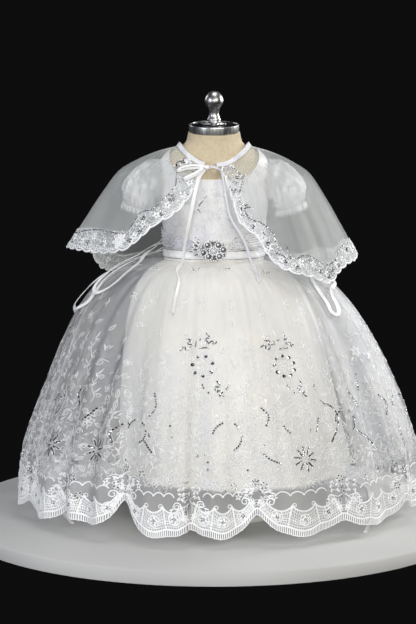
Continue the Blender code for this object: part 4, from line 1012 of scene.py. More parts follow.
# ================================================================ skirt surface with its creases
FRONT_CREASES = [
    # angle_deg, slant_deg, width_deg, height_mm, from_v, to_v
    (-86, -4, 2.4, 2.2, 0.02, 0.50), (-78, -2, 1.8, 2.8, 0.02, 0.62), (-71, 2, 2.2, -1.8, 0.04, 0.45),
    (-64, -3, 1.7, 2.4, 0.02, 0.55), (-57, 1, 1.4, -1.6, 0.03, 0.40), (-51, -2, 1.9, 2.6, 0.02, 0.58),
    (-45, 3, 1.3, 1.6, 0.03, 0.36), (-40.5, -1, 1.2, -2.2, 0.02, 0.50), (-36, -2, 1.6, 2.2, 0.02, 0.44),
    (-31, 2, 1.3, -2.0, 0.02, 0.52), (-26, -1, 1.5, 1.9, 0.02, 0.38), (-21.5, 1, 1.2, 1.5, 0.03, 0.48),
    (-16.5, -1, 1.3, -1.6, 0.02, 0.34), (-12, 1, 1.5, 2.0, 0.02, 0.42), (-7, 0, 1.2, -1.7, 0.02, 0.55),
    (-2.5, 1, 1.4, 1.8, 0.02, 0.36), (2.5, 2, 1.2, 1.4, 0.03, 0.50), (7, 2, 1.6, -1.9, 0.02, 0.62),
    (12, 1, 1.3, 1.9, 0.02, 0.40), (17, 3, 1.2, -1.3, 0.04, 0.46), (21.5, 2, 1.6, 2.1, 0.02, 0.52),
    (27, -1, 1.3, -1.7, 0.02, 0.38), (32, 3, 1.5, 1.8, 0.02, 0.48), (37.5, 2, 1.7, -2.2, 0.02, 0.60),
    (43, 1, 1.5, 2.3, 0.02, 0.44), (49.5, 4, 1.7, 1.7, 0.03, 0.54), (56, 2, 1.5, -1.9, 0.02, 0.42),
    (62, 3, 2.0, 2.6, 0.02, 0.60), (69.5, 1, 1.6, -1.5, 0.03, 0.40), (76, 4, 2.2, 2.4, 0.02, 0.56),
    (84, 2, 1.9, 1.9, 0.03, 0.46),
    # long soft creases lower down
    (-69, 3, 1.2, -1.8, 0.40, 0.98), (-60.5, -2, 1.0, 2.0, 0.48, 0.92), (-47, 2, 0.9, 1.6, 0.52, 0.95),
    (-24.5, 2, 1.0, 1.8, 0.40, 0.90), (-14.5, -1, 0.8, -1.4, 0.55, 0.96), (3.5, -2, 1.0, 1.4, 0.45, 0.88),
    (17.5, 1, 1.1, -1.7, 0.42, 0.90), (27, 3, 1.0, 1.5, 0.50, 0.94), (37.5, -2, 1.3, 1.8, 0.42, 0.86),
    (49, 2, 1.0, -1.6, 0.50, 0.96), (60, -2, 1.2, 1.9, 0.45, 0.92), (79, 2, 1.1, -1.7, 0.48, 0.95),
    # broad folds of the doubled net at -X, and two at +X
    (-39.5, 2, 4.6, -6.5, 0.11, 0.97), (-50.0, 0, 4.2, 4.6, 0.11, 0.96), (-58.5, -1, 3.0, -5.6, 0.11, 0.96),
    (-68.0, -2, 4.0, 3.6, 0.13, 0.96), (-77.5, -2, 3.0, -4.2, 0.16, 0.96), (-86.0, 0, 3.2, 3.0, 0.20, 0.96),
    (47.0, -3, 3.4, -4.6, 0.12, 0.90), (58.0, -2, 4.2, 3.4, 0.14, 0.92),
    # one long fold that runs down the front from the sash
    (16.5, -6, 1.5, -3.6, 0.05, 0.90), (20.0, -6, 1.6, 2.6, 0.05, 0.86),
]
BACK_CREASES = []
hand = random.Random(31)
at = 91.0
while at < 267:
    BACK_CREASES.append(
        (at, hand.uniform(-3, 3), hand.uniform(1.2, 2.2), hand.choice((-1, 1, 1)) * hand.uniform(1.4, 2.6), 0.02, hand.uniform(0.36, 0.62))
    )
    at += hand.uniform(4.2, 7.4)
at = 94.0
while at < 266:
    BACK_CREASES.append((at, hand.uniform(-3, 3), hand.uniform(0.9, 1.3), hand.choice((-1, 1)) * hand.uniform(1.2, 2.0), 0.44, hand.uniform(0.86, 0.98)))
    at += hand.uniform(9, 15)
CREASES = FRONT_CREASES + [(a - 360 if a > 180 else a, *rest) for a, *rest in BACK_CREASES]
PLEAT_AT = -8.7          # a pleat that laps over itself down the lower half


def crease_offset(deg, v):
    deg = (np.asarray(deg, float) + 180) % 360 - 180
    total = np.zeros(np.broadcast(deg, v).shape)
    for a, slant, width, height, low, high in CREASES:
        x = (deg - a - slant * v + 180) % 360 - 180
        span = np.clip((v - low) / (high - low), 0, 1)
        env = np.sin(np.pi * span**0.55) ** 1.3 if low < 0.1 else np.sin(np.pi * span) ** 1.2
        total = total + height * env * np.exp(-((x / width) ** 2))
    x = deg - PLEAT_AT
    grow = np.clip((v - 0.48) / 0.30, 0, 1) ** 1.3
    total = total - 6.4 * grow * np.tanh(x / 0.24) * np.exp(-np.abs(x) / 2.0)
    return total / 1000


OFF_DEG = np.arange(-180, 180.01, 0.25)
OFF_V = np.linspace(0, 1, 161)
OFFSETS = fold_offset(OFF_DEG)[:, None] * smooth(GROW_T[:, 0], GROW_T[:, 1], OFF_V)[None, :]
OFFSETS = OFFSETS + crease_offset(OFF_DEG[:, None], OFF_V[None, :])
# at -X the cloth hangs straighter from the waist
OFFSETS = OFFSETS - 0.0095 * np.exp(-(((OFF_DEG[:, None] + 92) / 40) ** 4)) * np.exp(-(((OFF_V[None, :] - 0.60) / 0.22) ** 2))


def skirt_skin_fine(deg, v):
    deg = (deg + 180) % 360 - 180
    i = np.clip((deg + 180) / 0.25, 0, len(OFF_DEG) - 1.001)
    j = np.clip(v * 160, 0, 159.999)
    i0, j0 = i.astype(int), j.astype(int)
    fi, fj = i - i0, j - j0
    off = (
        OFFSETS[i0, j0] * (1 - fi) * (1 - fj) + OFFSETS[i0 + 1, j0] * fi * (1 - fj)
        + OFFSETS[i0, j0 + 1] * (1 - fi) * fj + OFFSETS[i0 + 1, j0 + 1] * fi * fj
    )
    return skirt_skin(np.radians(deg), v, OVER_T, OVERSKIRT_LEAN, off)


# height along the cloth above the hem's tips, against v
line_v = np.linspace(0, 1, 301)
line = (skirt_skin(0.0, line_v, OVER_T, 0.0, 0.0) + 0 * line_v[:, None], skirt_skin(math.pi / 2, line_v, OVER_T, 0.0, 0.0))
lengths = [np.r_[0, np.cumsum(np.linalg.norm(np.diff(p, axis=0), axis=1))] for p in line]
RUN = (lengths[0] + lengths[1]) / 2
SKIRT_LONG = float(RUN[-1])
print(f"skirt along the cloth {SKIRT_LONG:.3f} m")


def v_at(h):
    return np.interp(SKIRT_LONG - np.asarray(h, float), RUN, line_v)


def on_skirt(deg, h, out=0.0):
    """A point of the creased overskirt: angle, metres of cloth above the hem's tips."""
    deg, h = np.broadcast_arrays(np.asarray(deg, float), np.asarray(h, float))
    v = v_at(h)
    p = skirt_skin_fine(deg, v)
    if not np.any(out):
        return p
    low, high = np.clip(v - 0.004, 0, 1), np.clip(v + 0.004, 0, 1)
    n = np.cross(skirt_skin_fine(deg + 0.2, v) - skirt_skin_fine(deg - 0.2, v), skirt_skin_fine(deg, low) - skirt_skin_fine(deg, high))
    n /= np.linalg.norm(n, axis=-1, keepdims=True)
    return p + n * np.asarray(out)[..., None]


def skirt_scale(deg, h):
    """Metres of cloth in one degree round the skirt."""
    v = float(v_at(h))
    a, b = (skirt_skin(np.radians(deg + d), np.array(v), OVER_T, 0.0, 0.0) for d in (-1.0, 1.0))
    return float(np.linalg.norm(b - a) / 2)


# ---------------------------------------------------------------- the scalloped hem
NOTCH = np.array([n[0] for n in NOTCHES] + [NOTCHES[0][0] + 360], float)
LOBES = (0.0, 0.31, 0.69, 1.0)
FRINGE = 0.0090          # reach of the fringe below the net's cord


def panel_share(deg):
    """How far across its scallop an angle is, from 0 to 1."""
    deg = (np.asarray(deg, float) + 174) % 360 - 174
    i = np.clip(np.searchsorted(NOTCH, deg, side="right") - 1, 0, len(NOTCHES) - 1)
    return (deg - NOTCH[i]) / (NOTCH[i + 1] - NOTCH[i])


def lobe(deg):
    t = panel_share(deg)
    i = np.clip(np.searchsorted(LOBES, t, side="right") - 1, 0, 2)
    cuts = np.array(LOBES)
    f = (t - cuts[i]) / (cuts[i + 1] - cuts[i])
    return 0.0052 * np.abs(2 * f - 1) ** 2.4


OPEN_HEM_RISE = hem_rise


def hem_rise(deg):
    """The hem's rise, a little higher in one scallop at -X where the cloth is drawn up."""
    deg = (np.asarray(deg, float) + 180) % 360 - 180
    drawn_up = 0.0075 * np.exp(-(((deg + 38) / 8.5) ** 4)) + 0.0150 * np.exp(-(((deg + 27.5) / 3.2) ** 2))
    return OPEN_HEM_RISE(deg) + drawn_up - 0.0130 * np.exp(-(((deg + 8.2) / 4.2) ** 2))


def softened(edge, deg):
    """An edge with its sharp corners rounded off."""
    deg = np.asarray(deg, float)
    return sum(w * edge(deg + d) for d, w in ((-1.7, 0.12), (-0.85, 0.23), (0.0, 0.30), (0.85, 0.23), (1.7, 0.12)))


def fringe_edge(deg):
    wave = 0.0009 * np.abs(np.sin(np.asarray(deg) * 2.1)) ** 0.7
    return softened(lambda d: hem_rise(d) + 0.55 * lobe(d), deg) + wave


def net_edge(deg):
    return softened(lambda d: hem_rise(d) + lobe(d), deg) + FRINGE


ROWS_V = 68
for name, low, high, gone in (
    ("overskirt_front_net", -90 + 0.12, 90 - 0.12, ["overskirt_front"]),
    ("overskirt_back_net", 90 + 0.12, 270 - 0.12, ["overskirt_back"]),
):
    degs = np.linspace(low, high, 441)
    edge = fringe_edge(degs)
    w = np.linspace(0, 1, ROWS_V) ** 0.92
    h = SKIRT_LONG + (edge[None, :] - SKIRT_LONG) * w[:, None]
    ob = grid_object(name, on_skirt(np.broadcast_to(degs, h.shape), h))
    piece(ob, NET, gone)
    sheet(ob, 1.10, 0.46, "gathered", ["sash"], fulled=1.0)

# the net is gathered double at +X: a fold of it hangs inside the overskirt
FOLD_FROM = [(0.03, 48), (0.14, 46), (0.26, 44), (0.40, 43), (0.55, 42), (0.70, 42), (0.83, 43)]
vs = np.linspace(0.03, 0.83, 46)
low = np.interp(vs, [r[0] for r in FOLD_FROM], [r[1] for r in FOLD_FROM])
share = np.linspace(0, 1, 120)
degs = low[:, None] + (112 - low[:, None]) * share[None, :]
for name, inward, phase in (("overskirt_inner_fold_net", 0.0050, 0.4), ("overskirt_inner_fold_low_net", 0.0092, 2.1)):
    more = 0.0 if inward < 0.006 else 9.0
    d = degs + more * (1 - share[None, :])
    wave = 0.0017 * np.sin(np.radians(d) * 19 + phase + 1.5 * vs[:, None]) * np.clip(vs[:, None] * 2.5, 0, 1)
    depth = inward * np.clip(vs[:, None] * 3.2, 0.42, 1) + wave
    base = skirt_skin_fine(d, np.broadcast_to(vs[:, None], d.shape))
    flat = base * [1, 1, 0]
    flat = flat / np.linalg.norm(flat, axis=-1, keepdims=True)
    ob = grid_object(name, base - flat * depth[..., None])
    piece(ob, NET)
    sheet(ob, 0.30, 0.36, "gathered", ["sash"], fulled=1.0)

# ---------------------------------------------------------------- satin underskirt
UNDER_CREASES = [
    # angle_deg, width_deg, height_mm, from_v
    (-83, 4, 3.0, 0.2), (-62, 3, -2.6, 0.3), (-47, 4, 2.8, 0.1), (-33, 3, -2.2, 0.35), (-19, 3.5, 2.4, 0.2),
    (-5, 3, -2.6, 0.1), (9, 4, 2.6, 0.25), (24, 3, -2.4, 0.3), (38, 3.5, 2.8, 0.15), (55, 4, -2.4, 0.3), (74, 4, 3.0, 0.2),
    (98, 4, -2.6, 0.3), (117, 4, 2.8, 0.2), (139, 3.5, -2.4, 0.25), (158, 4, 2.8, 0.2), (-168, 4, -2.4, 0.3),
    (-149, 4, 2.6, 0.2), (-128, 3.5, -2.6, 0.3), (-107, 4, 2.8, 0.15),
]


def on_under_fine(deg, v):
    deg, v = np.broadcast_arrays(np.asarray(deg, float), np.asarray(v, float))
    u = np.radians(deg)
    wave = UNDER_WAVE_DEPTH * np.cos(UNDER_WAVES * u + 0.6) * v**1.5
    for a, width, height, low in UNDER_CREASES:
        x = (deg - a + 180) % 360 - 180
        wave = wave + height / 1000 * np.clip((v - low) / (1 - low), 0, 1) ** 0.8 * np.exp(-((x / width) ** 2))
    fine = 0.0006 * np.sin(u * 61 + 3 * np.sin(7 * u)) * np.exp(-((v - 0.12) / 0.2) ** 2)
    return skirt_skin(u, v, UNDER_T, UNDERSKIRT_LEAN, wave + fine)


for name, low, high, gone in (
    ("underskirt_front_satin", -89.78, 89.78, ["underskirt_front"]),
    ("underskirt_back_satin", 90.22, 269.78, ["underskirt_back"]),
):
    degs = np.linspace(low, high, 221)
    vs = np.linspace(0, 1, 60)
    top = on_under_fine(degs[None, :], vs[:, None])
    # a turned and stitched hem: the edge rolls in by a millimetre
    roll = top[-1] * [0.994, 0.994, 1] + [0, 0, 0.0012]
    # the seam allowance at the waist runs up under the sash
    under = [on_torso(rad(degs), z, np.full((len(degs), 1), FIT + 0.0013)) for z in (SASH_LOW + 0.0030, SASH_LOW - 0.0004)]
    bend = [under[1] * (1 - w) + top[0] * w for w in (0.35, 0.7)]
    ob = grid_object(name, np.concatenate([np.stack(under + bend), top, roll[None]]))
    piece(ob, LINING, gone)
    sheet(ob, 0.75, 0.35, "gathered", ["sash"])

# ================================================================ stitches, cords and sequins
class Work:
    """Small raised shapes, gathered in a surface's own coordinates and made one mesh."""

    def __init__(self):
        self.spots, self.lifts, self.quads, self.tris, self.count = [], [], [], [], 0

    def add(self, spots, lifts, quads=(), tris=()):
        if len(quads):
            self.quads.append(np.asarray(quads) + self.count)
        if len(tris):
            self.tris.append(np.asarray(tris) + self.count)
        self.spots.append(np.asarray(spots, float))
        self.lifts.append(np.broadcast_to(np.asarray(lifts, float), len(spots)))
        self.count += len(spots)

    def made(self, name, place, mat, slot, smooth=True):
        """`place` turns the coordinates and a lift in metres into points."""
        spots, lifts = np.concatenate(self.spots), np.concatenate(self.lifts) / 1000
        quads = np.concatenate(self.quads) if self.quads else ()
        tris = np.concatenate(self.tris) if self.tris else ()
        ob = mesh_object(name, place(spots[:, 0], spots[:, 1], lifts), quads, tris, smooth)
        print(f"{name}: {2 * len(quads) + len(tris)} triangles")
        return piece(ob, mat)


class Spot:
    """Millimetres round a place on a surface, turned and sized."""

    def __init__(self, p, q, per_p, per_q=1.0, turn=0.0, size=1.0, flip=1):
        self.p, self.q, self.kp, self.kq = p, q, per_p * 1000, per_q * 1000
        self.c, self.s, self.size, self.flip = math.cos(turn), math.sin(turn), size, flip

    def __call__(self, xy):
        xy = np.asarray(xy, float).reshape(-1, 2) * self.size * [self.flip, 1]
        x = xy[:, 0] * self.c - xy[:, 1] * self.s
        y = xy[:, 0] * self.s + xy[:, 1] * self.c
        return np.stack([self.p + x / self.kp, self.q + y / self.kq], -1)


def strip(work, to, path, width, height, base=0.12, closed=False):
    """A cord: low edges and a raised ridge along a path in millimetres."""
    path = np.asarray(path, float)
    n = len(path)
    if closed:
        along = np.roll(path, -1, 0) - np.roll(path, 1, 0)
    else:
        along = np.gradient(path, axis=0)
    size = np.linalg.norm(along, axis=1, keepdims=True)
    along /= np.maximum(size, 1e-9)
    side = np.stack([-along[:, 1], along[:, 0]], -1)
    half = np.broadcast_to(np.asarray(width, float), n)[:, None] / 2
    spots = np.concatenate([path + side * half, path, path - side * half])
    lifts = np.concatenate([np.full(n, base), np.broadcast_to(np.asarray(height, float), n), np.full(n, base)])
    i = np.arange(n if closed else n - 1)
    j = (i + 1) % n
    quads = np.concatenate([np.stack([a * n + i, (a + 1) * n + i, (a + 1) * n + j, a * n + j], -1) for a in (0, 1)])
    work.add(to(spots), lifts, quads)


def leaf(work, to, x, y, angle, length, width, bend=0.0, height=0.9, blunt=0.0):
    """A satin-stitched leaf from (x, y) along an angle in degrees; bend curls its tip."""
    t = np.array([0.0, 0.16, 0.36, 0.58, 0.8, 0.96, 1.0])
    a = math.radians(angle) + math.radians(bend) * t
    step = np.diff(t, prepend=0) * length
    path = np.stack([x + np.cumsum(step * np.cos(a)), y + np.cumsum(step * np.sin(a))], -1)
    full = width * np.sin(np.pi * np.clip(t, 0.03, 1) ** (0.8 - 0.25 * blunt)) ** (0.75 - 0.3 * blunt)
    full[0], full[-1] = width * 0.14, width * (0.06 + 0.3 * blunt)
    strip(work, to, path, full, height * (0.35 + 0.65 * full / width))


def ring(work, to, x, y, radius, width=1.0, height=0.7, count=14, squash=1.0, turn=0.0):
    a = np.arange(count) * 2 * math.pi / count
    px, py = radius * np.cos(a), radius * squash * np.sin(a)
    c, s = math.cos(turn), math.sin(turn)
    strip(work, to, np.stack([x + px * c - py * s, y + px * s + py * c], -1), width, height, closed=True)


def curl(work, to, x, y, angle, radius, turns=1.3, way=1, width=1.1, height=0.75, stem=0.0):
    """A scroll: a stem that winds up into a spiral."""
    n = max(8, int(11 * turns))
    t = np.linspace(0, 1, n)
    a = math.radians(angle) + way * t * turns * 2 * math.pi
    r = radius * (1 - 0.72 * t)
    cx = x - radius * math.cos(math.radians(angle))
    cy = y - radius * math.sin(math.radians(angle))
    path = np.stack([cx + r * np.cos(a), cy + r * np.sin(a)], -1)
    if stem:
        back = path[0] - path[1]
        back /= np.linalg.norm(back)
        path = np.vstack([path[0] + back * stem, path[0] + back * stem * 0.5, path])
    strip(work, to, path, np.linspace(1.0, 0.7, len(path)) * width, height)


def sequin(work, to, x, y, radius=1.1, lift=0.5, sides=8, tilt=0.0, face=0.0):
    """A cupped sequin with its rim above its middle, tipped a little."""
    a = np.arange(sides) * 2 * math.pi / sides + face
    spots = np.concatenate([[[x, y]], np.stack([x + radius * np.cos(a), y + radius * np.sin(a)], -1)])
    lifts = np.r_[lift, lift + 0.32 * radius + tilt * radius * np.cos(a - face)]
    i = np.arange(sides)
    work.add(to(spots), lifts, tris=np.stack([np.zeros(sides, int), 1 + i, 1 + (i + 1) % sides], -1))


def bead_line(work, to, path, pitch=1.9, radius=0.95, rnd=random):
    """Sequins sewn in a row along a path in millimetres."""
    path = np.asarray(path, float)
    run = np.r_[0, np.cumsum(np.linalg.norm(np.diff(path, axis=0), axis=1))]
    for s in np.arange(pitch / 2, run[-1], pitch):
        x, y = np.interp(s, run, path[:, 0]), np.interp(s, run, path[:, 1])
        sequin(work, to, x, y, radius, 0.55, 6, rnd.uniform(-0.35, 0.35), rnd.uniform(0, 6.3))


def curve(rows, step=1.6):
    return through([(*r, 0) for r in rows], step)[:, :2]


def petals(work, to, x, y, count, inner, outer, width, turn=0.0, height=0.9, blunt=0.6):
    for k in range(count):
        a = turn + 360 * k / count
        leaf(work, to, x + inner * math.cos(math.radians(a)), y + inner * math.sin(math.radians(a)), a, outer - inner, width, 0, height, blunt)


# ================================================================ embroidery of the hem
rnd = random.Random(7)
STITCH = {"front": Work(), "back": Work()}
SHINE = {"front": Work(), "back": Work()}
HEM = {"front": Work(), "back": Work()}


def half_of(deg):
    deg = (deg + 180) % 360 - 180
    return "front" if -90 <= deg < 90 else "back"


def raw(spots):
    return np.asarray(spots, float)


def raw_strip(work, deg, h, width, height, base=0.12):
    """A cord given in angle and metres above the tips; its width is in millimetres."""
    deg, h = np.asarray(deg, float), np.asarray(h, float)
    k = skirt_scale(float(deg.mean()), float(h.mean())) * 1000
    mm = np.stack([(deg - deg[0]) * k, (h - h[0]) * 1000], -1)
    strip(work, Spot(deg[0], h[0], k / 1000), mm, width, height, base)


class Shift:
    def __init__(self, to, x, y):
        self.to, self.by = to, (x, y)

    def __call__(self, xy):
        return self.to(np.asarray(xy, float).reshape(-1, 2) + self.by)


SCROLL_CUTS = (-0.80, -0.27, 0.27, 0.80)


def scroll_h(s, a, b):
    """Height of the border's inner scroll at share s from -1 to 1 of a scallop."""
    deg = (a + b) / 2 + s * (b - a) / 2
    base = 0.0435 + 0.30 * hem_rise(deg)
    s = np.clip(np.abs(s), 0, 0.8) * np.sign(s)
    i = np.clip(np.searchsorted(SCROLL_CUTS, s, side="right") - 1, 0, 2)
    cuts = np.array(SCROLL_CUTS)
    f = (s - cuts[i]) / (cuts[i + 1] - cuts[i])
    return base - 0.0085 * np.sin(np.pi * np.clip(f, 0, 1)) ** 0.7


for i in range(len(NOTCHES)):
    a, b = NOTCH[i], NOTCH[i + 1]
    mid, half = (a + b) / 2, (b - a) / 2
    part = half_of(mid)
    work, shine = HEM[part], SHINE[part]
    degs = np.linspace(a, b, 73)
    raw_strip(work, degs, net_edge(degs), 2.5, 1.1)
    for inset, width in ((0.0042, 0.8), (0.0078, 0.7), (0.0112, 0.7)):
        raw_strip(work, degs, net_edge(degs) + inset, width, 0.45)
    # fringe: close bars with a fine cord along their ends
    raw_strip(work, degs, fringe_edge(degs) + 0.0004, 1.0, 0.6)
    count = int(round((b - a) * skirt_scale(mid, 0.02) * 1000 / 2.7))
    for d in a + (np.arange(count) + 0.5) * (b - a) / count:
        low, high = float(fringe_edge(d)), float(net_edge(d))
        raw_strip(work, np.full(2, d) + [0.0, 0.0], [low, high], 1.2, 0.6)
    # spokes between the fan's fields, from the cusps of the edge to the scroll
    for s_edge, s_in in ((-0.38, -0.27), (0.38, 0.27), (-0.94, -0.80), (0.94, 0.80)):
        s = np.linspace(s_edge, s_in, 9)
        deg = mid + s * half
        low = float(net_edge(deg[0])) + 0.0005
        high = float(scroll_h(np.array(s_in), a, b))
        raw_strip(work, deg, np.linspace(low, high, 9), 1.8, 0.9)
    # inner scroll with a curl at each end
    for c0, c1 in zip(SCROLL_CUTS, SCROLL_CUTS[1:]):
        s = np.linspace(c0, c1, 17)
        raw_strip(work, mid + s * half, scroll_h(s, a, b), 2.2, 1.1)
    for side in (-1, 1):
        deg = mid + side * 0.80 * half
        h0 = float(scroll_h(np.array(side * 0.80), a, b))
        to = Spot(deg, h0, skirt_scale(deg, h0), flip=side)
        curl(work, to, 0, 0, 0, 6.0, 1.25, 1, 1.8, 1.0)
        s_in = side * 0.27
        deg = mid + s_in * half
        h0 = float(scroll_h(np.array(s_in), a, b))
        to = Spot(deg, h0, skirt_scale(deg, h0), flip=side)
        curl(work, to, 0, 0, 0, 3.4, 1.1, 1, 1.3, 0.9)
    # upper side of the window: arcs that bulge upwards
    cuts = np.linspace(-0.60, 0.60, 5)
    for c0, c1 in zip(cuts, cuts[1:]):
        s = np.linspace(c0, c1, 11)
        f = (s - c0) / (c1 - c0)
        deg = mid + s * half
        raw_strip(work, deg, 0.0570 + 0.30 * hem_rise(deg) + 0.0054 * np.sin(np.pi * f) ** 0.6 - 0.004 * s * s, 1.6, 0.9)
    # small leaves and curls that close the net beyond the arcs
    for s in (-0.88, -0.74, 0.74, 0.88):
        for h in (0.0525, 0.0590, 0.0650):
            deg = mid + s * half + rnd.uniform(-0.15, 0.15)
            h = h + 0.30 * float(hem_rise(deg)) + rnd.uniform(-0.001, 0.001)
            to = Spot(deg, h, skirt_scale(deg, h), turn=rnd.uniform(-1.2, 1.2), flip=rnd.choice((-1, 1)))
            leaf(work, to, -2.5, -1.0, 40, 6.5, 2.0, 30, 0.8)
            curl(work, to, 2.5, 1.5, 20, 2.4, 1.2, 1, 0.9, 0.7, stem=2)
    # net filling of the fans: fine cords that cross aslant
    for k, s0 in enumerate(np.linspace(-0.92, 0.92, 39)):
        for lean in (-0.07, 0.07):
            s = np.array([s0, s0 + lean * 0.5, s0 + lean])
            s = np.clip(s, -0.95, 0.95)
            deg = mid + s * half
            low = net_edge(deg) + 0.0012
            high = scroll_h(s, a, b) - 0.0012
            h = low + (high - low) * np.array([0, 0.5, 1])
            raw_strip(work, deg, h, 0.45, 0.32)
    # and cords that run along the fans, one over the other
    s = np.linspace(-0.93, 0.93, 61)
    deg = mid + s * half
    for w in (0.34, 0.50, 0.66, 0.82):
        h = (net_edge(deg) + 0.0012) * (1 - w) + (scroll_h(s, a, b) - 0.0012) * w
        raw_strip(work, deg, h, 0.55, 0.36)
    # a small white flower in each field, with dark sequins in its middle
    for s in (-0.60, 0.0, 0.60):
        deg = mid + s * half + rnd.uniform(-0.15, 0.15)
        h = float(net_edge(deg)) * 0.42 + float(scroll_h(np.array(s), a, b)) * 0.58 + rnd.uniform(-0.001, 0.001)
        to = Spot(deg, h, skirt_scale(deg, h), turn=rnd.uniform(0, 1.2))
        petals(work, to, 0, 0, 5, 1.4, 6.6, 3.5, 90, 1.5)
        ring(work, to, 0, 0, 7.8, 1.2, 0.9, 14)
        for j in range(4):
            angle = j * 1.57 + 0.5
            sequin(shine, to, 2.1 * math.cos(angle), 2.1 * math.sin(angle), 1.1, 1.5, 7, rnd.uniform(-0.3, 0.3))
    # what stands over each notch: a little flower with dark petals, and a dash
    h_notch = float(net_edge(a))
    deg = a
    h0 = h_notch + 0.034
    to = Spot(deg, h0, skirt_scale(deg, h0), turn=rnd.uniform(-0.2, 0.2))
    for j in range(6):
        ang = math.radians(60 * j + 30)
        for r in (2.6, 4.6):
            sequin(shine, to, r * math.cos(ang), r * math.sin(ang), 1.0, 0.9, 7, rnd.uniform(-0.3, 0.3), ang)
        leaf(work, to, 1.2 * math.cos(ang), 1.2 * math.sin(ang), 60 * j + 30, 6.6, 2.4, 0, 0.7, 0.5)
    side = 1 if i % 2 else -1
    bead_line(shine, to, curve([(side * 2, -8), (side * 4.5, -13), (side * 8, -18)]), 1.8, 0.9, rnd)
    strip(work, to, curve([(-side * 3, -7), (-side * 6, -12), (-side * 11, -16)]), 1.4, 0.8)
    # leaves, curls and a small flower that fill the net beside the notch
    for flip in (-1, 1):
        to2 = Spot(deg, h_notch, skirt_scale(deg, h_notch), flip=flip)
        leaf(work, to2, 1.6, 4.0, 62 + rnd.uniform(-6, 6), 10.5, 3.0, -20, 1.0)
        leaf(work, to2, 4.6, 4.5, 28 + rnd.uniform(-6, 6), 8.5, 2.4, 24, 0.9)
        curl(work, to2, 7.5, 13.5, 60, 4.0, 1.35, -1, 1.3, 0.9, stem=3)
        curl(work, to2, 15.5, 15.0, 30, 3.4, 1.35, 1, 1.2, 0.85, stem=3)
        leaf(work, to2, 10.0, 20.0, 20 + rnd.uniform(-14, 14), 9.0, 2.6, -25, 0.9)
        leaf(work, to2, 19.0, 21.0, -20 + rnd.uniform(-14, 14), 8.0, 2.4, 25, 0.9)
        petals(work, Shift(to2, 24.0, 14.0), 0, 0, 5, 1.0, 5.0, 2.4, rnd.uniform(0, 70), 1.0)
        strip(work, to2, curve([(1.5, 26), (8, 23.5), (15, 25.5), (22, 23)]), 1.1, 0.8)

# ================================================================ embroidery above the hem
def at_skirt(deg, h, turn=0.0, size=1.0, flip=1):
    return Spot(deg, h, skirt_scale(deg, h), turn=math.radians(turn), size=size, flip=flip)


def dash(shine, to, x, y, angle, count=3, radius=0.95, pitch=1.6):
    for k in range(count):
        r = (k - (count - 1) / 2) * pitch
        sequin(shine, to, x + r * math.cos(math.radians(angle)), y + r * math.sin(math.radians(angle)), radius, 0.8, 7, rnd.uniform(-0.35, 0.35), rnd.uniform(0, 6))


def open_leaf(work, to, x, y, angle, length, width, line=0.8, vein=True, bend=0.0):
    """A leaf drawn by two fine cords that meet at its tip, with a vein."""
    t = np.linspace(0, 1, 6)
    a = math.radians(angle) + math.radians(bend) * t
    step = np.r_[0, np.diff(t)] * length
    px, py = x + np.cumsum(step * np.cos(a)), y + np.cumsum(step * np.sin(a))
    bulge = width / 2 * np.sin(np.pi * t**0.8)
    for side in (-1, 1):
        strip(work, to, np.stack([px - side * bulge * np.sin(a), py + side * bulge * np.cos(a)], -1), line, 0.5)
    if vein:
        strip(work, to, np.stack([px, py], -1)[1:5:3], line * 0.8, 0.42)


def scroll(work, to, x, y, side, radius, turns=1.4, width=0.95):
    """A spiral on one side of a rising stem."""
    curl(work, to, x, y, 180 if side > 0 else 0, radius, turns, -side, width, 0.62)


def climber(work, to, steps=3, reach=14.0, lean=2.5, leafy=1.0):
    """A rising stem with a scroll or a slender leaf on alternate sides."""
    x = y = 0.0
    for k in range(steps):
        side = 1 if k % 2 else -1
        r = reach * rnd.uniform(0.85, 1.12)
        path = curve([(x, y), (x + side * lean, y + r * 0.5), (x + side * 0.5, y + r)], 2.2)
        strip(work, to, path, 0.9, 0.6)
        mid = path[len(path) // 2]
        scroll(work, to, *mid, side, rnd.uniform(2.9, 4.0))
        leaf(work, to, *path[-2], 90 - side * rnd.uniform(38, 62), rnd.uniform(7.5, 11.5) * leafy, rnd.uniform(1.5, 2.1), side * 34, 0.8)
        if rnd.random() < 0.6:
            leaf(work, to, *mid, 90 + side * rnd.uniform(35, 60), rnd.uniform(5, 8) * leafy, 1.5, -side * 30, 0.7)
        x, y = path[-1]


def spoke_flower(work, shine, to, dark=True, reach=15.0):
    """Spokes round a ring: open petals with sewn sequins, or satin leaves."""
    spokes = 10 if dark else 8
    for k in range(spokes):
        a = 18 + 360 / spokes * k + rnd.uniform(-3, 3)
        c, s = math.cos(math.radians(a)), math.sin(math.radians(a))
        if dark:
            open_leaf(work, to, 3.4 * c, 3.4 * s, a, reach - 1 + rnd.uniform(-1, 1), 4.4, 0.9, False)
            dash(shine, to, 10.2 * c, 10.2 * s, a, rnd.choice((5, 6)), 1.2, 1.8)
        else:
            leaf(work, to, 3.2 * c, 3.2 * s, a, reach - 3.5, 2.9, 0, 1.2, 0.4)
    ring(work, to, 0, 0, 2.3, 1.0, 0.8, 10)


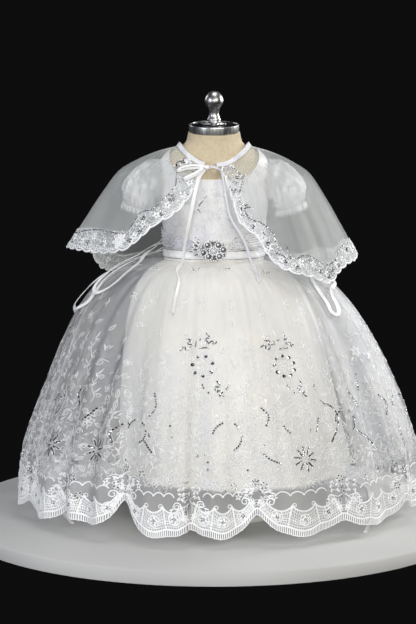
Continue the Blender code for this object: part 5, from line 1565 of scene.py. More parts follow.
def flower_field(work, shine, to, dark, reach=15.0):
    """A spoke flower among scrolls, slender leaves and small arcs."""
    spoke_flower(work, shine, to, dark, reach)
    for k in range(12):
        a = 30 * k + rnd.uniform(-8, 8)
        c, s = math.cos(math.radians(a)), math.sin(math.radians(a))
        r = reach + rnd.uniform(4.0, 6.5)
        if k % 3 == 0:
            curl(work, to, r * c, r * s, a + 60, rnd.uniform(3.6, 4.8), 1.5, 1 if k % 2 else -1, 1.05, 0.7, stem=3)
        elif k % 3 == 1:
            open_leaf(work, to, (r - 3) * c, (r - 3) * s, a + rnd.uniform(-18, 18), rnd.uniform(8, 11), 3.6, 0.85, True, rnd.uniform(-25, 25))
        else:
            leaf(work, to, (r - 3) * c, (r - 3) * s, a + rnd.uniform(-22, 22), rnd.uniform(7, 10), 2.0, rnd.uniform(-35, 35), 0.85)
            ring(work, to, (r + 1) * c - 4 * s, (r + 1) * s + 4 * c, 1.6, 0.8, 0.6, 8)


def ring_flower(work, shine, to, count=8, radius=14.6):
    """A ring of large round sequins in white eyelets round a soft middle."""
    for k in range(count):
        a = math.radians(360 * k / count + 10)
        x, y = radius * math.cos(a), radius * math.sin(a)
        sequin(shine, to, x, y, 2.45, 0.9, 10, rnd.uniform(-0.2, 0.2), rnd.uniform(0, 6))
        ring(work, to, x, y, 3.3, 0.8, 0.7, 12)
    for k in range(6):
        open_leaf(work, to, 0, 0, 60 * k + 15, 8.5, 3.6, 0.8, False)
    for k in range(count):
        a = 360 * (k + 0.5) / count + 10
        open_leaf(work, to, 15.5 * math.cos(math.radians(a)), 15.5 * math.sin(math.radians(a)), a, 7.5, 3.0, 0.8, False, rnd.uniform(-25, 25))


def zigzag(shine, to, x, y, turn, size=1.0):
    """Three short dashes of sequins set in a zigzag."""
    c, s = math.cos(math.radians(turn)), math.sin(math.radians(turn))
    for u, v, ang, n in ((-3.6, 3.4, 8, 4), (0.2, 0.4, 58, 3), (3.4, -3.0, 12, 4)):
        u, v = u * size, v * size
        dash(shine, to, x + u * c - v * s, y + u * s + v * c, ang + turn, n, 1.15, 1.8)


def dashes_about(work, shine, to, up):
    """Leaf-shaped groups of sequin dashes over or under a ring flower."""
    if up > 0:
        zigzag(shine, to, -21, 27 + rnd.uniform(-2, 2), rnd.uniform(20, 50), 1.1)
        zigzag(shine, to, 12, 39 + rnd.uniform(-2, 2), rnd.uniform(-70, -40))
        zigzag(shine, to, -15, 37 + rnd.uniform(-2, 2), rnd.uniform(-40, -10), 0.8)
        zigzag(shine, to, 19, 30 + rnd.uniform(-2, 2), rnd.uniform(0, 30), 0.8)
        dash(shine, to, -7, 33, rnd.uniform(60, 90), 5, 1.0, 1.8)
        dash(shine, to, 0.5, 38, rnd.uniform(10, 40), 3, 1.0, 1.8)
        ang = np.radians(np.linspace(60, 118, 9))
        bead_line(shine, to, np.stack([15 * np.cos(ang) + 5, 5.5 * np.sin(ang) + 20], -1), 1.6, 1.05, rnd)
    else:
        zigzag(shine, to, 15, -31, rnd.uniform(-80, -55), 1.1)
        zigzag(shine, to, 18, -41, rnd.uniform(-60, -30), 0.8)
        for x, y in ((-3, -27), (-2, -31), (3.4, -38)):
            sequin(shine, to, x, y, 1.25, 0.8, 8, rnd.uniform(-0.3, 0.3))
    for x, y, ang in ((-19, 22, 120), (-13, 34, 100), (6, 31, 70), (17, 33, 50), (-1, 44, 95)):
        open_leaf(work, to, x, up * y, up * ang, 9.5, 3.4, 0.8, True, rnd.uniform(-25, 25))


def arcs_field(work, shine, to, radius=20.0):
    """Arcs of sequins round an open field with a sprig in it."""
    for start, span in ((108, 66), (-64, 74), (34, 30)):
        ang = np.radians(np.linspace(start, start + span, 16))
        ray = np.stack([np.cos(ang), np.sin(ang)], -1)
        bead_line(shine, to, radius * ray, 3.7, 1.45, rnd)
        strip(work, to, (radius + 2.0) * ray, 0.9, 0.6)
    for start in (176, 20, 78):
        ang = np.radians(np.linspace(start, start + 26, 6))
        strip(work, to, radius * np.stack([np.cos(ang), np.sin(ang)], -1), 1.0, 0.6)
    climber(work, Shifted(to, 0, -14), 2, 12)


class Shifted:
    def __init__(self, to, x, y):
        self.to, self.by = to, (x, y)

    def __call__(self, xy):
        return self.to(np.asarray(xy, float).reshape(-1, 2) + self.by)


def dark_blossom(work, shine, to, count=5, reach=5.6):
    """A small flower whose petals are single sequins."""
    for k in range(count):
        a = 360 * k / count + 18
        c, s = math.cos(math.radians(a)), math.sin(math.radians(a))
        sequin(shine, to, reach * 0.72 * c, reach * 0.72 * s, 1.15, 0.9, 7, rnd.uniform(-0.3, 0.3), math.radians(a))
        open_leaf(work, to, 0.8 * c, 0.8 * s, a, reach, 3.4, 0.8, False)
    ring(work, to, 0, 0, 1.2, 0.8, 0.7, 8)


TAKEN = np.zeros((14000, 3))
COUNT = [0]


def take(deg, h, room):
    TAKEN[COUNT[0]] = deg, h, room
    COUNT[0] += 1


def free(deg, h, room):
    """Whether a place is clear of the motifs put down so far; it is then taken."""
    k = skirt_scale(deg, h) * 1000
    near = TAKEN[: COUNT[0]]
    dx = ((deg - near[:, 0] + 180) % 360 - 180) * k
    dy = (h - near[:, 1]) * 1000
    if np.any(dx * dx + dy * dy < (room + near[:, 2]) ** 2):
        return False
    take(deg, h, room)
    return True


def works(deg):
    return STITCH[half_of(deg)], SHINE[half_of(deg)]


def beads_along(rows, pitch=2.6, radius=1.0):
    """A wavering row of sequins through places of the skirt, with a fine cord beside it."""
    deg0, h0 = rows[0]
    work, shine = works(deg0)
    to = at_skirt(deg0, h0 / 1000)
    k = skirt_scale(deg0, h0 / 1000) * 1000
    path = curve([((d - deg0) * k, h - h0) for d, h in rows], 1.6)
    bead_line(shine, to, path, pitch, radius, rnd)
    strip(work, to, path + [2.1, 0.4], 0.8, 0.55)
    for x, y in path[::8]:
        take(deg0 + x / k, (h0 + y) / 1000, 2.5)


# the front, motif by motif: angle, millimetres above the hem's tips
for deg, h, turn in ((58, 243, 20), (65, 231, 52)):
    work, _ = works(deg)
    to = at_skirt(deg, h / 1000, turn)
    petals(work, to, 0, 0, 6, 1.9, 9.2, 4.8, 12, 1.0)
    petals(work, to, 0, 0, 6, 0.4, 3.4, 2.0, 40, 1.2)
    for away in (205, 262, 318):
        leaf(work, to, 10.5 * math.cos(rad(away)), 10.5 * math.sin(rad(away)), away, 9.5, 3.6)
    free(deg, h / 1000, 15)
for deg, h in ((-5, 236), (23, 234), (-83, 232)):
    work, shine = works(deg)
    to = at_skirt(deg, h / 1000, rnd.uniform(-12, 12))
    ring_flower(work, shine, to, 9 if deg > 0 else 7)
    dashes_about(work, shine, to, 1)
    dashes_about(work, shine, to, -1)
    free(deg, h / 1000, 17)
    for up in (-1, 1):
        free(deg, h / 1000 + up * 0.029, 13)
for deg, h, dark in ((24.5, 105, True), (-11.5, 113, False), (-56.5, 108, True), (-38, 109, True), (50, 104, False), (69, 112, True), (-76, 110, False)):
    work, shine = works(deg)
    to = at_skirt(deg, h / 1000, rnd.uniform(-12, 12), 1.12)
    flower_field(work, shine, to, dark)
    free(deg, h / 1000, 23)
for deg, h, size in ((2.5, 138, 1.0), (41, 150, 0.8), (-25, 141, 0.8), (-64, 160, 0.75), (79, 150, 0.8)):
    work, shine = works(deg)
    arcs_field(work, shine, at_skirt(deg, h / 1000, rnd.uniform(-8, 8)), 20.0 * size)
    free(deg, h / 1000, 20 * size)
for deg, h in ((4, 71), (-21.5, 85), (35.5, 73), (51, 77), (59, 79), (-44, 70), (-42, 46), (59.5, 47), (12, 72), (-30, 66), (-65, 72), (44, 70)):
    work, shine = works(deg)
    dark_blossom(work, shine, at_skirt(deg, h / 1000, rnd.uniform(0, 70)), rnd.choice((5, 6)), 5.4)
    free(deg, h / 1000, 6.5)
for rows in (
    ((34, 182), (38, 166), (38, 148), (35, 124)), ((32, 158), (30, 138)), ((46, 156), (44, 142), (47, 128), (50, 120), (53, 104)),
    ((54, 212), (52, 188)), ((46, 192), (49, 164)), ((13, 178), (15, 166), (14, 152)), ((12, 118), (14, 108), (17, 101)),
    ((19, 152), (21, 141)), ((-20, 198), (-19, 178), (-21, 162)), ((-22, 132), (-19, 116)), ((4, 211), (2, 201)),
    ((-49, 196), (-51, 184), (-49, 168)), ((-30, 150), (-33, 138), (-32, 122)), ((-62, 190), (-60, 172)), ((-41, 168), (-44, 150)),
    ((60, 178), (63, 164), (61, 146)), ((33, 206), (33, 195)),
):
    beads_along(rows, 2.6 if len(rows) > 3 else 3.8, 1.3 if len(rows) > 3 else 1.45)
for deg, h in ((-4, 113), (-3, 104), (-3, 94), (-14, 153), (-46, 247), (-37, 221), (8, 92), (28, 142), (57, 136), (-28, 100)):
    work, shine = works(deg)
    sequin(shine, at_skirt(deg, h / 1000), 0, 0, 1.35, 0.9, 8, rnd.uniform(-0.3, 0.3))
for deg, h, steps, turn in (
    (-58, 214, 4, 10), (-50, 206, 5, 6), (-43, 176, 3, 4), (-66, 196, 4, 8), (-72, 170, 5, 6), (-36, 168, 4, 0), (-27, 196, 3, -4),
    (-17, 206, 4, 4), (-15, 140, 2, -8), (8, 176, 3, -6), (12, 226, 4, 6), (33, 214, 4, -4), (38, 184, 4, -8), (50, 158, 3, -6),
    (57, 222, 4, -8), (70, 168, 5, -8), (77, 220, 4, -6), (-77, 150, 3, 8), (16, 132, 2, 0), (-2, 172, 2, 0), (30, 142, 3, 6),
):
    work, shine = works(deg)
    to = at_skirt(deg, h / 1000, turn, 1, rnd.choice((-1, 1)))
    climber(work, to, steps, 13.5)
    k = skirt_scale(deg, h / 1000) * 1000
    for j in range(steps * 2):
        take(deg, h / 1000 + (7 * j + 3) / 1000, 6.0)

# the sides and the back, panel by panel
for i in range(len(NOTCHES)):
    a, b = NOTCH[i], NOTCH[i + 1]
    mid, half = (a + b) / 2, (b - a) / 2
    mid_at = (mid + 180) % 360 - 180
    if -84 < mid_at < 80:
        continue
    lift = 0.35 * (NOTCHES[i][1] + NOTCHES[(i + 1) % len(NOTCHES)][1]) / 2000
    deg, h = mid + rnd.uniform(-0.12, 0.12) * half, 0.104 + lift + rnd.uniform(-0.004, 0.004)
    work, shine = works(deg)
    flower_field(work, shine, at_skirt(deg, h, rnd.uniform(-12, 12)), i % 3 != 1)
    free(deg, h, 23)
    deg, h = a + rnd.uniform(-0.6, 0.6), 0.148 + lift * 0.8 + rnd.uniform(-0.006, 0.006)
    work, shine = works(deg)
    arcs_field(work, shine, at_skirt(deg, h, rnd.uniform(-10, 10)), rnd.uniform(15, 20))
    free(deg, h, 19)
    work, shine = works(deg)
    dark_blossom(work, shine, at_skirt(a, h - 0.062, rnd.uniform(0, 70)), 6, 5.4)
    free(a, h - 0.062, 6.5)
    if i % 2 == 0:
        deg, h = mid + rnd.uniform(-0.25, 0.25) * half, 0.228 + rnd.uniform(-0.006, 0.008)
        work, shine = works(deg)
        to = at_skirt(deg, h, rnd.uniform(-15, 15))
        ring_flower(work, shine, to, 8 if i % 4 else 7)
        for up in (-1, 1):
            dashes_about(work, shine, to, up)
            free(deg, h + up * 0.029, 13)
        free(deg, h, 17)
    else:
        beads_along([(mid - 3, 214), (mid - 1, 200), (mid - 2.4, 184), (mid + 0.4, 168)])
    for d, low, steps in ((-0.62, 190, 4), (0.55, 184, 5), (-0.1, 272 if i % 2 == 0 else 226, 2)):
        deg = mid + d * half
        work, shine = works(deg)
        climber(work, at_skirt(deg, low / 1000, rnd.uniform(-8, 8), 1, rnd.choice((-1, 1))), steps, 13.5)
        for j in range(steps * 2):
            take(deg, low / 1000 + (7 * j + 3) / 1000, 6.0)

# scrolls, flowers and leaves in the free places, closer together towards the hem
def bare(deg, h):
    """Places where the net is left plain: high at the sides, and less close at the back."""
    if -92 < deg < -44:
        return h > 0.150 and rnd.random() < 0.55
    if 50 < deg < 92:
        return h > 0.118 and rnd.random() < 0.72
    if abs(deg) > 92:
        return h > 0.120 and rnd.random() < 0.45
    return False


def sprig(work, to):
    strip(work, to, curve([(0, -7), (1.2, -1), (0.4, 6)], 2.2), 1.0, 0.6)
    leaf(work, to, 1.0, -2.5, 28, 7.5, 2.1, 24, 0.85)
    leaf(work, to, 0.8, 0.5, 142, 7.5, 2.1, -24, 0.85)
    leaf(work, to, 0.4, 5.0, 80, 7.0, 2.2, 12, 0.85)


def blossom(work, to, petals_n=5, reach=6.8):
    for k in range(petals_n):
        open_leaf(work, to, 0, 0, 360 / petals_n * k + 20, reach, 4.4, 0.95, False)
    ring(work, to, 0, 0, 1.3, 0.9, 0.7, 7)


for _ in range(8000):
    deg = rnd.uniform(-180, 180)
    h = 0.0665 + (0.300 - 0.0665) * rnd.random() ** 1.25
    if h < 0.0695 + 0.75 * float(hem_rise(deg)):
        continue
    if bare(deg, h) or (h > 0.20 and -30 < deg < 50 and rnd.random() < 0.6):
        continue
    if not free(deg, h, 4.5 if h < 0.175 else 4.7 + (h - 0.175) * 85):
        continue
    work, shine = works(deg)
    to = at_skirt(deg, h, rnd.uniform(-60, 60), rnd.uniform(0.85, 1.1), rnd.choice((-1, 1)))
    kind = rnd.random()
    if kind < 0.30:
        curl(work, to, 4.6, -1, 0, 4.6, 1.55, 1, 1.1, 0.7, stem=5)
        leaf(work, to, -4.0, -3.5, 130, 7.0, 1.9, -30, 0.8)
    elif kind < 0.48:
        blossom(work, to, rnd.choice((5, 5, 6)))
    elif kind < 0.66:
        open_leaf(work, to, -1, -6, 84, 13.0, 5.0, 0.95, True, rnd.uniform(-25, 25))
    elif kind < 0.82:
        sprig(work, to)
    else:
        leaf(work, to, -3, -6, 62, 13.0, 2.3, 44, 0.9)
        curl(work, to, 5.0, -3, -30, 3.0, 1.3, -1, 1.0, 0.65, stem=2)
for _ in range(11000):
    deg = rnd.uniform(-180, 180)
    h = 0.0645 + (0.270 - 0.0645) * rnd.random() ** 1.5
    if h < 0.0655 + 0.75 * float(hem_rise(deg)):
        continue
    if bare(deg, h) or (h > 0.19 and -30 < deg < 50 and rnd.random() < 0.5):
        continue
    if not free(deg, h, 2.3 if h < 0.165 else 2.4 + (h - 0.165) * 60):
        continue
    work, shine = works(deg)
    to = at_skirt(deg, h, rnd.uniform(-80, 80), rnd.uniform(0.85, 1.1), rnd.choice((-1, 1)))
    kind = rnd.random()
    if kind < 0.42:
        leaf(work, to, -1.5, -2.5, 60, 6.2, 1.5, 40, 0.7)
    elif kind < 0.66:
        curl(work, to, 2.2, 0, 0, 2.5, 1.3, 1, 0.85, 0.6, stem=2.5)
    elif kind < 0.95:
        strip(work, to, [(-4.2, -1.6), (-1.6, 1.2), (1.4, 0.4), (4.2, 2.6)], 0.85, 0.55)
    else:
        dash(shine, to, 0, 0, rnd.uniform(0, 180), rnd.choice((1, 2, 3)), 1.0, 1.8)

# sprigs high up, and pairs of dots under the waist
for k in range(30):
    deg = -180 + 360 * (k + 0.5) / 30 + rnd.uniform(-3, 3)
    h = rnd.uniform(0.300, 0.345)
    work, shine = works(deg)
    climber(work, at_skirt(deg, h, rnd.uniform(-20, 20), 0.9, rnd.choice((-1, 1))), 1 if k % 3 else 2, 13)
for deg, h in [(-13, 404), (8, 406), (34, 389), (-46, 400), (62, 398), (-74, 402), (86, 400), (110, 402), (134, 404), (160, 400), (-172, 404), (-146, 402), (-120, 404), (-98, 402)]:
    work, shine = works(deg)
    to = at_skirt(deg, h / 1000, rnd.uniform(-40, 40))
    for x, y in ((-3.4, -3.0), (4.0, 3.2), (-5.0, 3.6), (0.6, 0.4))[: rnd.choice((3, 4))]:
        sequin(shine, to, x, y, 1.2, 0.9, 8, 0.2, 1.0)
        ring(work, to, x, y, 2.0, 0.7, 0.6, 8)
    for k2 in range(3):
        open_leaf(work, to, 0, 0, 120 * k2 + 40, 8.0, 3.0, 0.75, False)

for part in ("front", "back"):
    HEM[part].made(f"hem_lace_{part}", on_skirt, THREAD, "embroidered_net")
    STITCH[part].made(f"skirt_embroidery_{part}", on_skirt, FLOSS, "embroidered_net")
    SHINE[part].made(f"skirt_sequins_{part}", on_skirt, SEQUIN, "embroidered_net", smooth=False)


# ================================================================ bodice
NECK_T = table(NECKLINE)


def bodice_shell(name, low, high, gone, cols, flat):
    degs = np.linspace(low, high, cols)
    from_front = np.abs((degs + 180) % 360 - 180)
    top = smooth(NECK_T[:, 0], NECK_T[:, 1], from_front)
    off = np.clip(1 - ((from_front - 90) / ARMHOLE_HALF_DEG) ** 2, 0, 1)
    half = ARMHOLE_HALF_H * np.sqrt(off)
    half[half < 0.0025] = 0
    middle = np.minimum(ARMHOLE_Z, top - 0.006)
    points, quads = [], []
    for w in np.linspace(0, 1, 44):
        points.append((degs, WAIST_Z + (middle - half - WAIST_Z) * w))
    quads.append(grid_quads(44, cols))
    for w in np.linspace(0, 1, 14):
        points.append((degs, (middle + half) + (top - middle - half) * w))
    quads.append(grid_quads(14, cols) + 44 * cols)
    deg, z = (np.concatenate([p[k] for p in points]) for k in (0, 1))
    low_part = np.clip((0.400 - z) / 0.034, 0, 1)
    crease = 0.0005 * np.sin(np.radians(deg) * 34 + 2.2 * np.sin(np.radians(deg) * 5)) * low_part
    crease += 0.0004 * np.sin(z * 520 + 0.09 * deg) * np.exp(-(((from_front_of(deg) - 62) / 13) ** 2)) * np.clip((z - 0.40) / 0.03, 0, 1)
    crease += 0.0003 * np.sin(deg * 0.31 + 130 * z)
    ob = mesh_object(name, on_torso(rad(deg), z, (FIT + 0.0003 + crease)[:, None]), np.concatenate(quads))
    bm = bmesh.new()
    bm.from_mesh(ob.data)
    bmesh.ops.remove_doubles(bm, verts=bm.verts, dist=1e-6)
    bm.to_mesh(ob.data)
    bm.free()
    piece(ob, SATIN, gone)
    sheet(ob, *flat, "stretched", ["form_torso"])


def from_front_of(deg):
    return np.abs((np.asarray(deg) + 180) % 360 - 180)


bodice_shell("bodice_front_satin", -90 + SEAM, 90 - SEAM, ["bodice_front"], 181, (0.225, 0.155))
bodice_shell("bodice_back_right_satin", -180 + SEAM, -90 - SEAM, ["bodice_back_right"], 91, (0.120, 0.155))
bodice_shell("bodice_back_left_satin", 90 + SEAM, 180 - SEAM, ["bodice_back_left"], 91, (0.120, 0.155))


def on_bodice(deg, z, out):
    return on_torso(rad(deg), z, FIT + 0.0006 + np.asarray(out)[..., None])


def at_bodice(deg, z, turn=0.0, size=1.0, flip=1):
    return Spot(deg, z, 0.00130, turn=math.radians(turn), size=size, flip=flip)


# narrow binding round the neck opening and the armholes, and the edges of the seams
trim = Work()
turn_deg = np.linspace(-179.6, 179.6, 240)
neck_z = smooth(NECK_T[:, 0], NECK_T[:, 1], np.abs(turn_deg)) - 0.0009
to = Spot(0, 0, 0.00130)
strip(trim, to, np.stack([turn_deg * 1.30, neck_z * 1000], -1), 2.0, 0.75)
for side in (-1, 1):
    a = np.linspace(0, 2 * math.pi, 56, endpoint=False)
    strip(trim, to, np.stack([side * (90 - (ARMHOLE_HALF_DEG + 1.0) * np.cos(a)) * 1.30, (ARMHOLE_Z + (ARMHOLE_HALF_H + 0.0008) * np.sin(a)) * 1000], -1), 1.8, 0.7, closed=True)
for deg in (-180 + SEAM + 0.9, 180 - SEAM - 0.9):
    strip(trim, to, np.stack([np.full(30, deg * 1.30), np.linspace(0.369, 0.499, 30) * 1000], -1), 1.6, 0.8)
trim.made("bodice_binding", on_bodice, RIBBON, "satin")

# white lace embroidery of the bodice, with a few sequins
faint, faint_shine = Work(), Work()
hand = random.Random(19)
k = 1.30
to = Spot(0, 0, 0.00130)
bead_line(faint_shine, to, [(-7.6 * k, 461.8), (-12 * k, 454.6), (-16.3 * k, 445.8)], 1.9, 0.95, hand)
for deg, z in ((-17.4, 0.4415), (-16.2, 0.4402), (-15.0, 0.4382), (-21, 0.402), (-18, 0.399), (24, 0.401)):
    sequin(faint_shine, to, deg * k, z * 1000, 0.9, 0.7, 7, 0.3, 1.0)


def bodice_motif(work, to, kind):
    if kind == 0:
        climber(work, to, 2, 9)
    elif kind == 1:
        for k in range(6):
            open_leaf(work, to, 0, 0, 60 * k + 12, 6.4, 3.2, 0.8, False)
        ring(work, to, 0, 0, 1.4, 0.8, 0.6, 8)
    elif kind == 2:
        open_leaf(work, to, 0, -5, 80, 10.5, 4.2, 0.85, True, 24)
        curl(work, to, 6, 1, -20, 2.8, 1.4, -1, 0.9, 0.6, stem=2)
    elif kind == 3:
        curl(work, to, 3.2, 0, 0, 3.3, 1.5, 1, 0.9, 0.6, stem=3)
        leaf(work, to, -2, -4, 130, 7, 1.6, 30, 0.7)
    else:
        strip(work, to, [(-5, -2), (-1.8, 1.4), (1.8, 0.4), (5, 3)], 0.85, 0.55)
        ring(work, to, 0, 4.4, 1.6, 0.8, 0.6, 8)


row = 0
for z in np.arange(0.3925, 0.497, 0.0122):
    row += 1
    for d in np.arange(-171, 172, 10.4):
        deg = d + (5.2 if row % 2 else 0) + hand.uniform(-1.1, 1.1)
        off = abs(abs(deg) - 90)
        top = float(smooth(NECK_T[:, 0], NECK_T[:, 1], abs(deg)))
        if z > top - 0.0075 or (off < ARMHOLE_HALF_DEG + 4.5 and abs(z - ARMHOLE_Z) < ARMHOLE_HALF_H + 0.006) or abs(deg) > 172:
            continue
        if off < 4.4:
            continue
        bodice_motif(faint, at_bodice(deg, z + hand.uniform(-0.0012, 0.0012), hand.uniform(-50, 50), hand.uniform(1.05, 1.3), hand.choice((-1, 1))), hand.choice((0, 1, 1, 2, 3, 3, 4)))
faint.made("bodice_embroidery", on_bodice, PALE_FLOSS, "satin")
faint_shine.made("bodice_sequins", on_bodice, SEQUIN, "rhinestones", smooth=False)

# ================================================================ sleeves
SLEEVE_N = 144
sleeve_phi = rad(np.arange(SLEEVE_N) * 360 / SLEEVE_N)


def sleeve_rows(side, rows_between=12):
    """Rings from the armhole to the cuff, curved between the CAD's own."""
    hole_deg = 90 - (ARMHOLE_HALF_DEG + 2.0) * np.cos(sleeve_phi)
    hole_z = ARMHOLE_Z + (ARMHOLE_HALF_H + 0.0005) * np.sin(sleeve_phi)
    first = on_torso(rad(hole_deg), hole_z, FIT + CLOTH + 0.0012) * [side, 1, 1]
    keys = [first] + [sleeve_ring(row, side, sleeve_phi) for row in SLEEVE]
    keys = np.stack(keys)
    ends = np.concatenate([[2 * keys[0] - keys[1]], keys, [2 * keys[-1] - keys[-2]]])
    rings, where = [], []
    for i in range(1, len(ends) - 2):
        p0, p1, p2, p3 = ends[i - 1], ends[i], ends[i + 1], ends[i + 2]
        for t in np.linspace(0, 1, rows_between, endpoint=False):
            m1, m2 = (p2 - p0) * 0.42, (p3 - p1) * 0.42
            h = 2 * t**3 - 3 * t**2 + 1, t**3 - 2 * t**2 + t, -2 * t**3 + 3 * t**2, t**3 - t**2
            rings.append(h[0] * p1 + h[1] * m1 + h[2] * p2 + h[3] * m2)
            where.append(i - 1 + t)
    rings.append(ends[-2])
    where.append(len(keys) - 1.0)
    return np.stack(rings), np.array(where) / (len(keys) - 1)


def gathers(share, phase):
    """Folds of the puffed sleeve: close at both ends, soft in the middle."""
    a = sleeve_phi
    near = np.exp(-((share / 0.20) ** 2))
    far = np.exp(-(((1 - share) / 0.26) ** 2))
    soft = np.sin(np.pi * share)
    return (
        0.0010 * near * np.sin(21 * a + 2.0 * np.sin(3 * a) + phase)
        + 0.0013 * far * np.sin(17 * a + 1.6 * np.sin(2 * a + 1) + phase)
        + 0.0019 * soft * np.sin(6 * a + 0.4 + 0.6 * np.sin(5 * share + phase))
        + 0.0009 * soft * np.sin(13 * a + 4 * share + phase)
    )


def swell(ring, amount):
    out = ring - ring.mean(0)
    return ring + out / np.linalg.norm(out, axis=1, keepdims=True) * amount[:, None]


for side, word in ((-1, "right"), (1, "left")):
    rings, share = sleeve_rows(side)
    grid = np.stack([swell(r, gathers(w, 0.7 * side)) for r, w in zip(rings, share)])
    ob = grid_object(f"sleeve_{word}_organza", grid, closed=True)
    piece(ob, SLEEVE_SHEER, [f"sleeve_{word}"])
    sheet(ob, 0.300, 0.110, "gathered", ["form_torso"], fulled=1.1)
    # lace motifs sewn on the puff, closer together towards the cuff
    puff, puff_shine = Work(), Work()

    def on_puff(p, q, out, grid=grid):
        """p turns of the ring, q share of the way to the cuff, out in metres."""
        x = (np.asarray(p) % 1) * SLEEVE_N
        y = np.clip(np.asarray(q), 0, 1) * (len(grid) - 1.001)
        i, j = x.astype(int) % SLEEVE_N, y.astype(int)
        fx, fy = (x - x.astype(int))[:, None], (y - j)[:, None]
        i2 = (i + 1) % SLEEVE_N
        point = (grid[j, i] * (1 - fx) + grid[j, i2] * fx) * (1 - fy) + (grid[j + 1, i] * (1 - fx) + grid[j + 1, i2] * fx) * fy
        n = point - grid[np.clip(j, 0, len(grid) - 1)].mean(axis=1)
        n /= np.linalg.norm(n, axis=1, keepdims=True)
        return point + n * np.asarray(out)[:, None]

    for q in np.arange(0.20, 0.95, 0.075):
        for p in np.arange(0, 1, 0.050):
            if hand.random() > (1.0 if q > 0.48 else 0.30):
                continue
            at_q = q + hand.uniform(-0.02, 0.02)
            ring_at = grid[int(at_q * (len(grid) - 1))]
            around_here = float(np.linalg.norm(np.diff(ring_at, axis=0), axis=1).sum())
            bodice_motif(puff, Spot(p + hand.uniform(-0.012, 0.012), at_q, around_here, 0.105, hand.uniform(0, 6.2), hand.uniform(1.05, 1.35), hand.choice((-1, 1))), hand.choice((1, 1, 2, 3, 4)))
            for _ in range(2 if at_q > 0.5 else 0):
                to = Spot(p + hand.uniform(-0.024, 0.024), min(at_q + hand.uniform(-0.035, 0.035), 0.96), around_here, 0.105)
                sequin(puff_shine, to, 0, 0, 0.8, 1.3, 7, hand.uniform(-0.3, 0.3))
    puff.made(f"sleeve_{word}_embroidery", on_puff, THREAD, "organza")
    puff_shine.made(f"sleeve_{word}_sequins", on_puff, SEQUIN, "rhinestones", smooth=False)
    # two narrow ribbons that draw the sleeve in above its frill
    for at in (0.955, 0.80):
        i = int(round(at * (len(grid) - 1)))
        ring_at = swell(grid[i], np.full(SLEEVE_N, 0.0006))
        low = grid[i + 1] - grid[i - 1]
        low /= np.linalg.norm(low, axis=1, keepdims=True)
        wide = 0.0011
        strip3 = np.stack([ring_at - low * wide, swell(ring_at, np.full(SLEEVE_N, 0.0006)), ring_at + low * wide])
        ob2 = grid_object(f"sleeve_{word}_ribbon_{'low' if at > 0.9 else 'high'}", strip3, closed=True)
        piece(ob2, RIBBON)
    # the lace frill: a wavy ring with a scalloped lower edge
    first, last = (sleeve_ring(row, side, sleeve_phi) for row in CUFF)
    rows = []
    for w in np.linspace(0, 1, 16):
        ring_w = first * (1 - w) + last * w
        wave = 0.0003 + w**0.8 * 0.0021 * np.sin(12 * sleeve_phi + 1.5 * np.sin(2 * sleeve_phi) + side)
        rows.append(swell(ring_w, wave))
    rows = np.stack(rows)
    drop = rows[-1] - rows[-2]
    drop /= np.linalg.norm(drop, axis=1, keepdims=True)
    rows[-1] += drop * (0.0016 * np.abs(np.sin(12 * sleeve_phi)) ** 0.6)[:, None]
    ob = grid_object(f"sleeve_lace_{word}_frill", rows, closed=True)
    piece(ob, LACE_NET, [f"sleeve_lace_{word}"])
    sheet(ob, 0.330, 0.016, "gathered", [f"sleeve_{word}"], fulled=1.1)
    lace = Work()

    def on_frill(p, q, out, rows=rows):
        """p turns of the ring, q rows down, out in metres."""
        x = (np.asarray(p) % 1) * SLEEVE_N
        y = np.clip(np.asarray(q), 0, 1) * (len(rows) - 1.001)
        i, j = x.astype(int) % SLEEVE_N, y.astype(int)
        fx, fy = (x - x.astype(int))[:, None], (y - j)[:, None]
        i2 = (i + 1) % SLEEVE_N
        point = (rows[j, i] * (1 - fx) + rows[j, i2] * fx) * (1 - fy) + (rows[j + 1, i] * (1 - fx) + rows[j + 1, i2] * fx) * fy
        mid = rows.mean(axis=(0, 1))
        n = point - mid
        n /= np.linalg.norm(n, axis=1, keepdims=True)
        return point + n * np.asarray(out)[:, None]

    around = 0.245
    for k in range(24):
        to = Spot((k + 0.5) / 24, 0.5, around, 0.0125)
        petals(lace, to, 0, 0.4, 5, 0.6, 3.4, 2.0, 90 + hand.uniform(-20, 20), 0.8)
        strip(lace, to, curve([(-5.0, -5.2), (-2.5, -6.0), (0, -6.2), (2.5, -6.0), (5.0, -5.2)]), 1.3, 0.9)
        strip(lace, to, curve([(-5.0, 4.6), (-2.5, 3.2), (0, 4.6), (2.5, 3.2), (5.0, 4.6)]), 0.9, 0.7)
        leaf(lace, to, 4.0, -2.5, 60, 4.5, 1.8, 20, 0.7)
    lace.made(f"sleeve_lace_{word}_stitches", on_frill, THREAD, "lace")

# ================================================================ sash, drapes, brooch
SASH_OUT = FIT + CLOTH + 0.0009
degs = np.linspace(-178.5, 178.5, 360)
rows = []
for w in np.linspace(-0.5, 0.5, 13):
    z = (SASH_LOW + SASH_HIGH) / 2 + w * (SASH_HIGH - SASH_LOW)
    out = SASH_OUT + 0.0003 - 0.0009 * (abs(w) * 2) ** 6 + 0.00035 * np.sin(w * 9 + 0.05 * degs + 1.2 * np.sin(degs * 0.045)) + 0.0002 * np.sin(degs * 0.6 + 7 * w)
    rows.append(on_torso(rad(degs), z, out[:, None]))
ob = grid_object("sash_satin", np.stack(rows))
piece(ob, SASH_SATIN, ["sash"])
sheet(ob, 0.465, 0.0155, "stretched", ["bodice_front", "bodice_back_left", "bodice_back_right"])
edge = Work()
to = Spot(0, 0, 0.00122)
for z in (SASH_LOW + 0.0008, SASH_HIGH - 0.0008):
    strip(edge, to, np.stack([degs * 1.22, np.full(360, z * 1000)], -1), 1.1, 0.6)
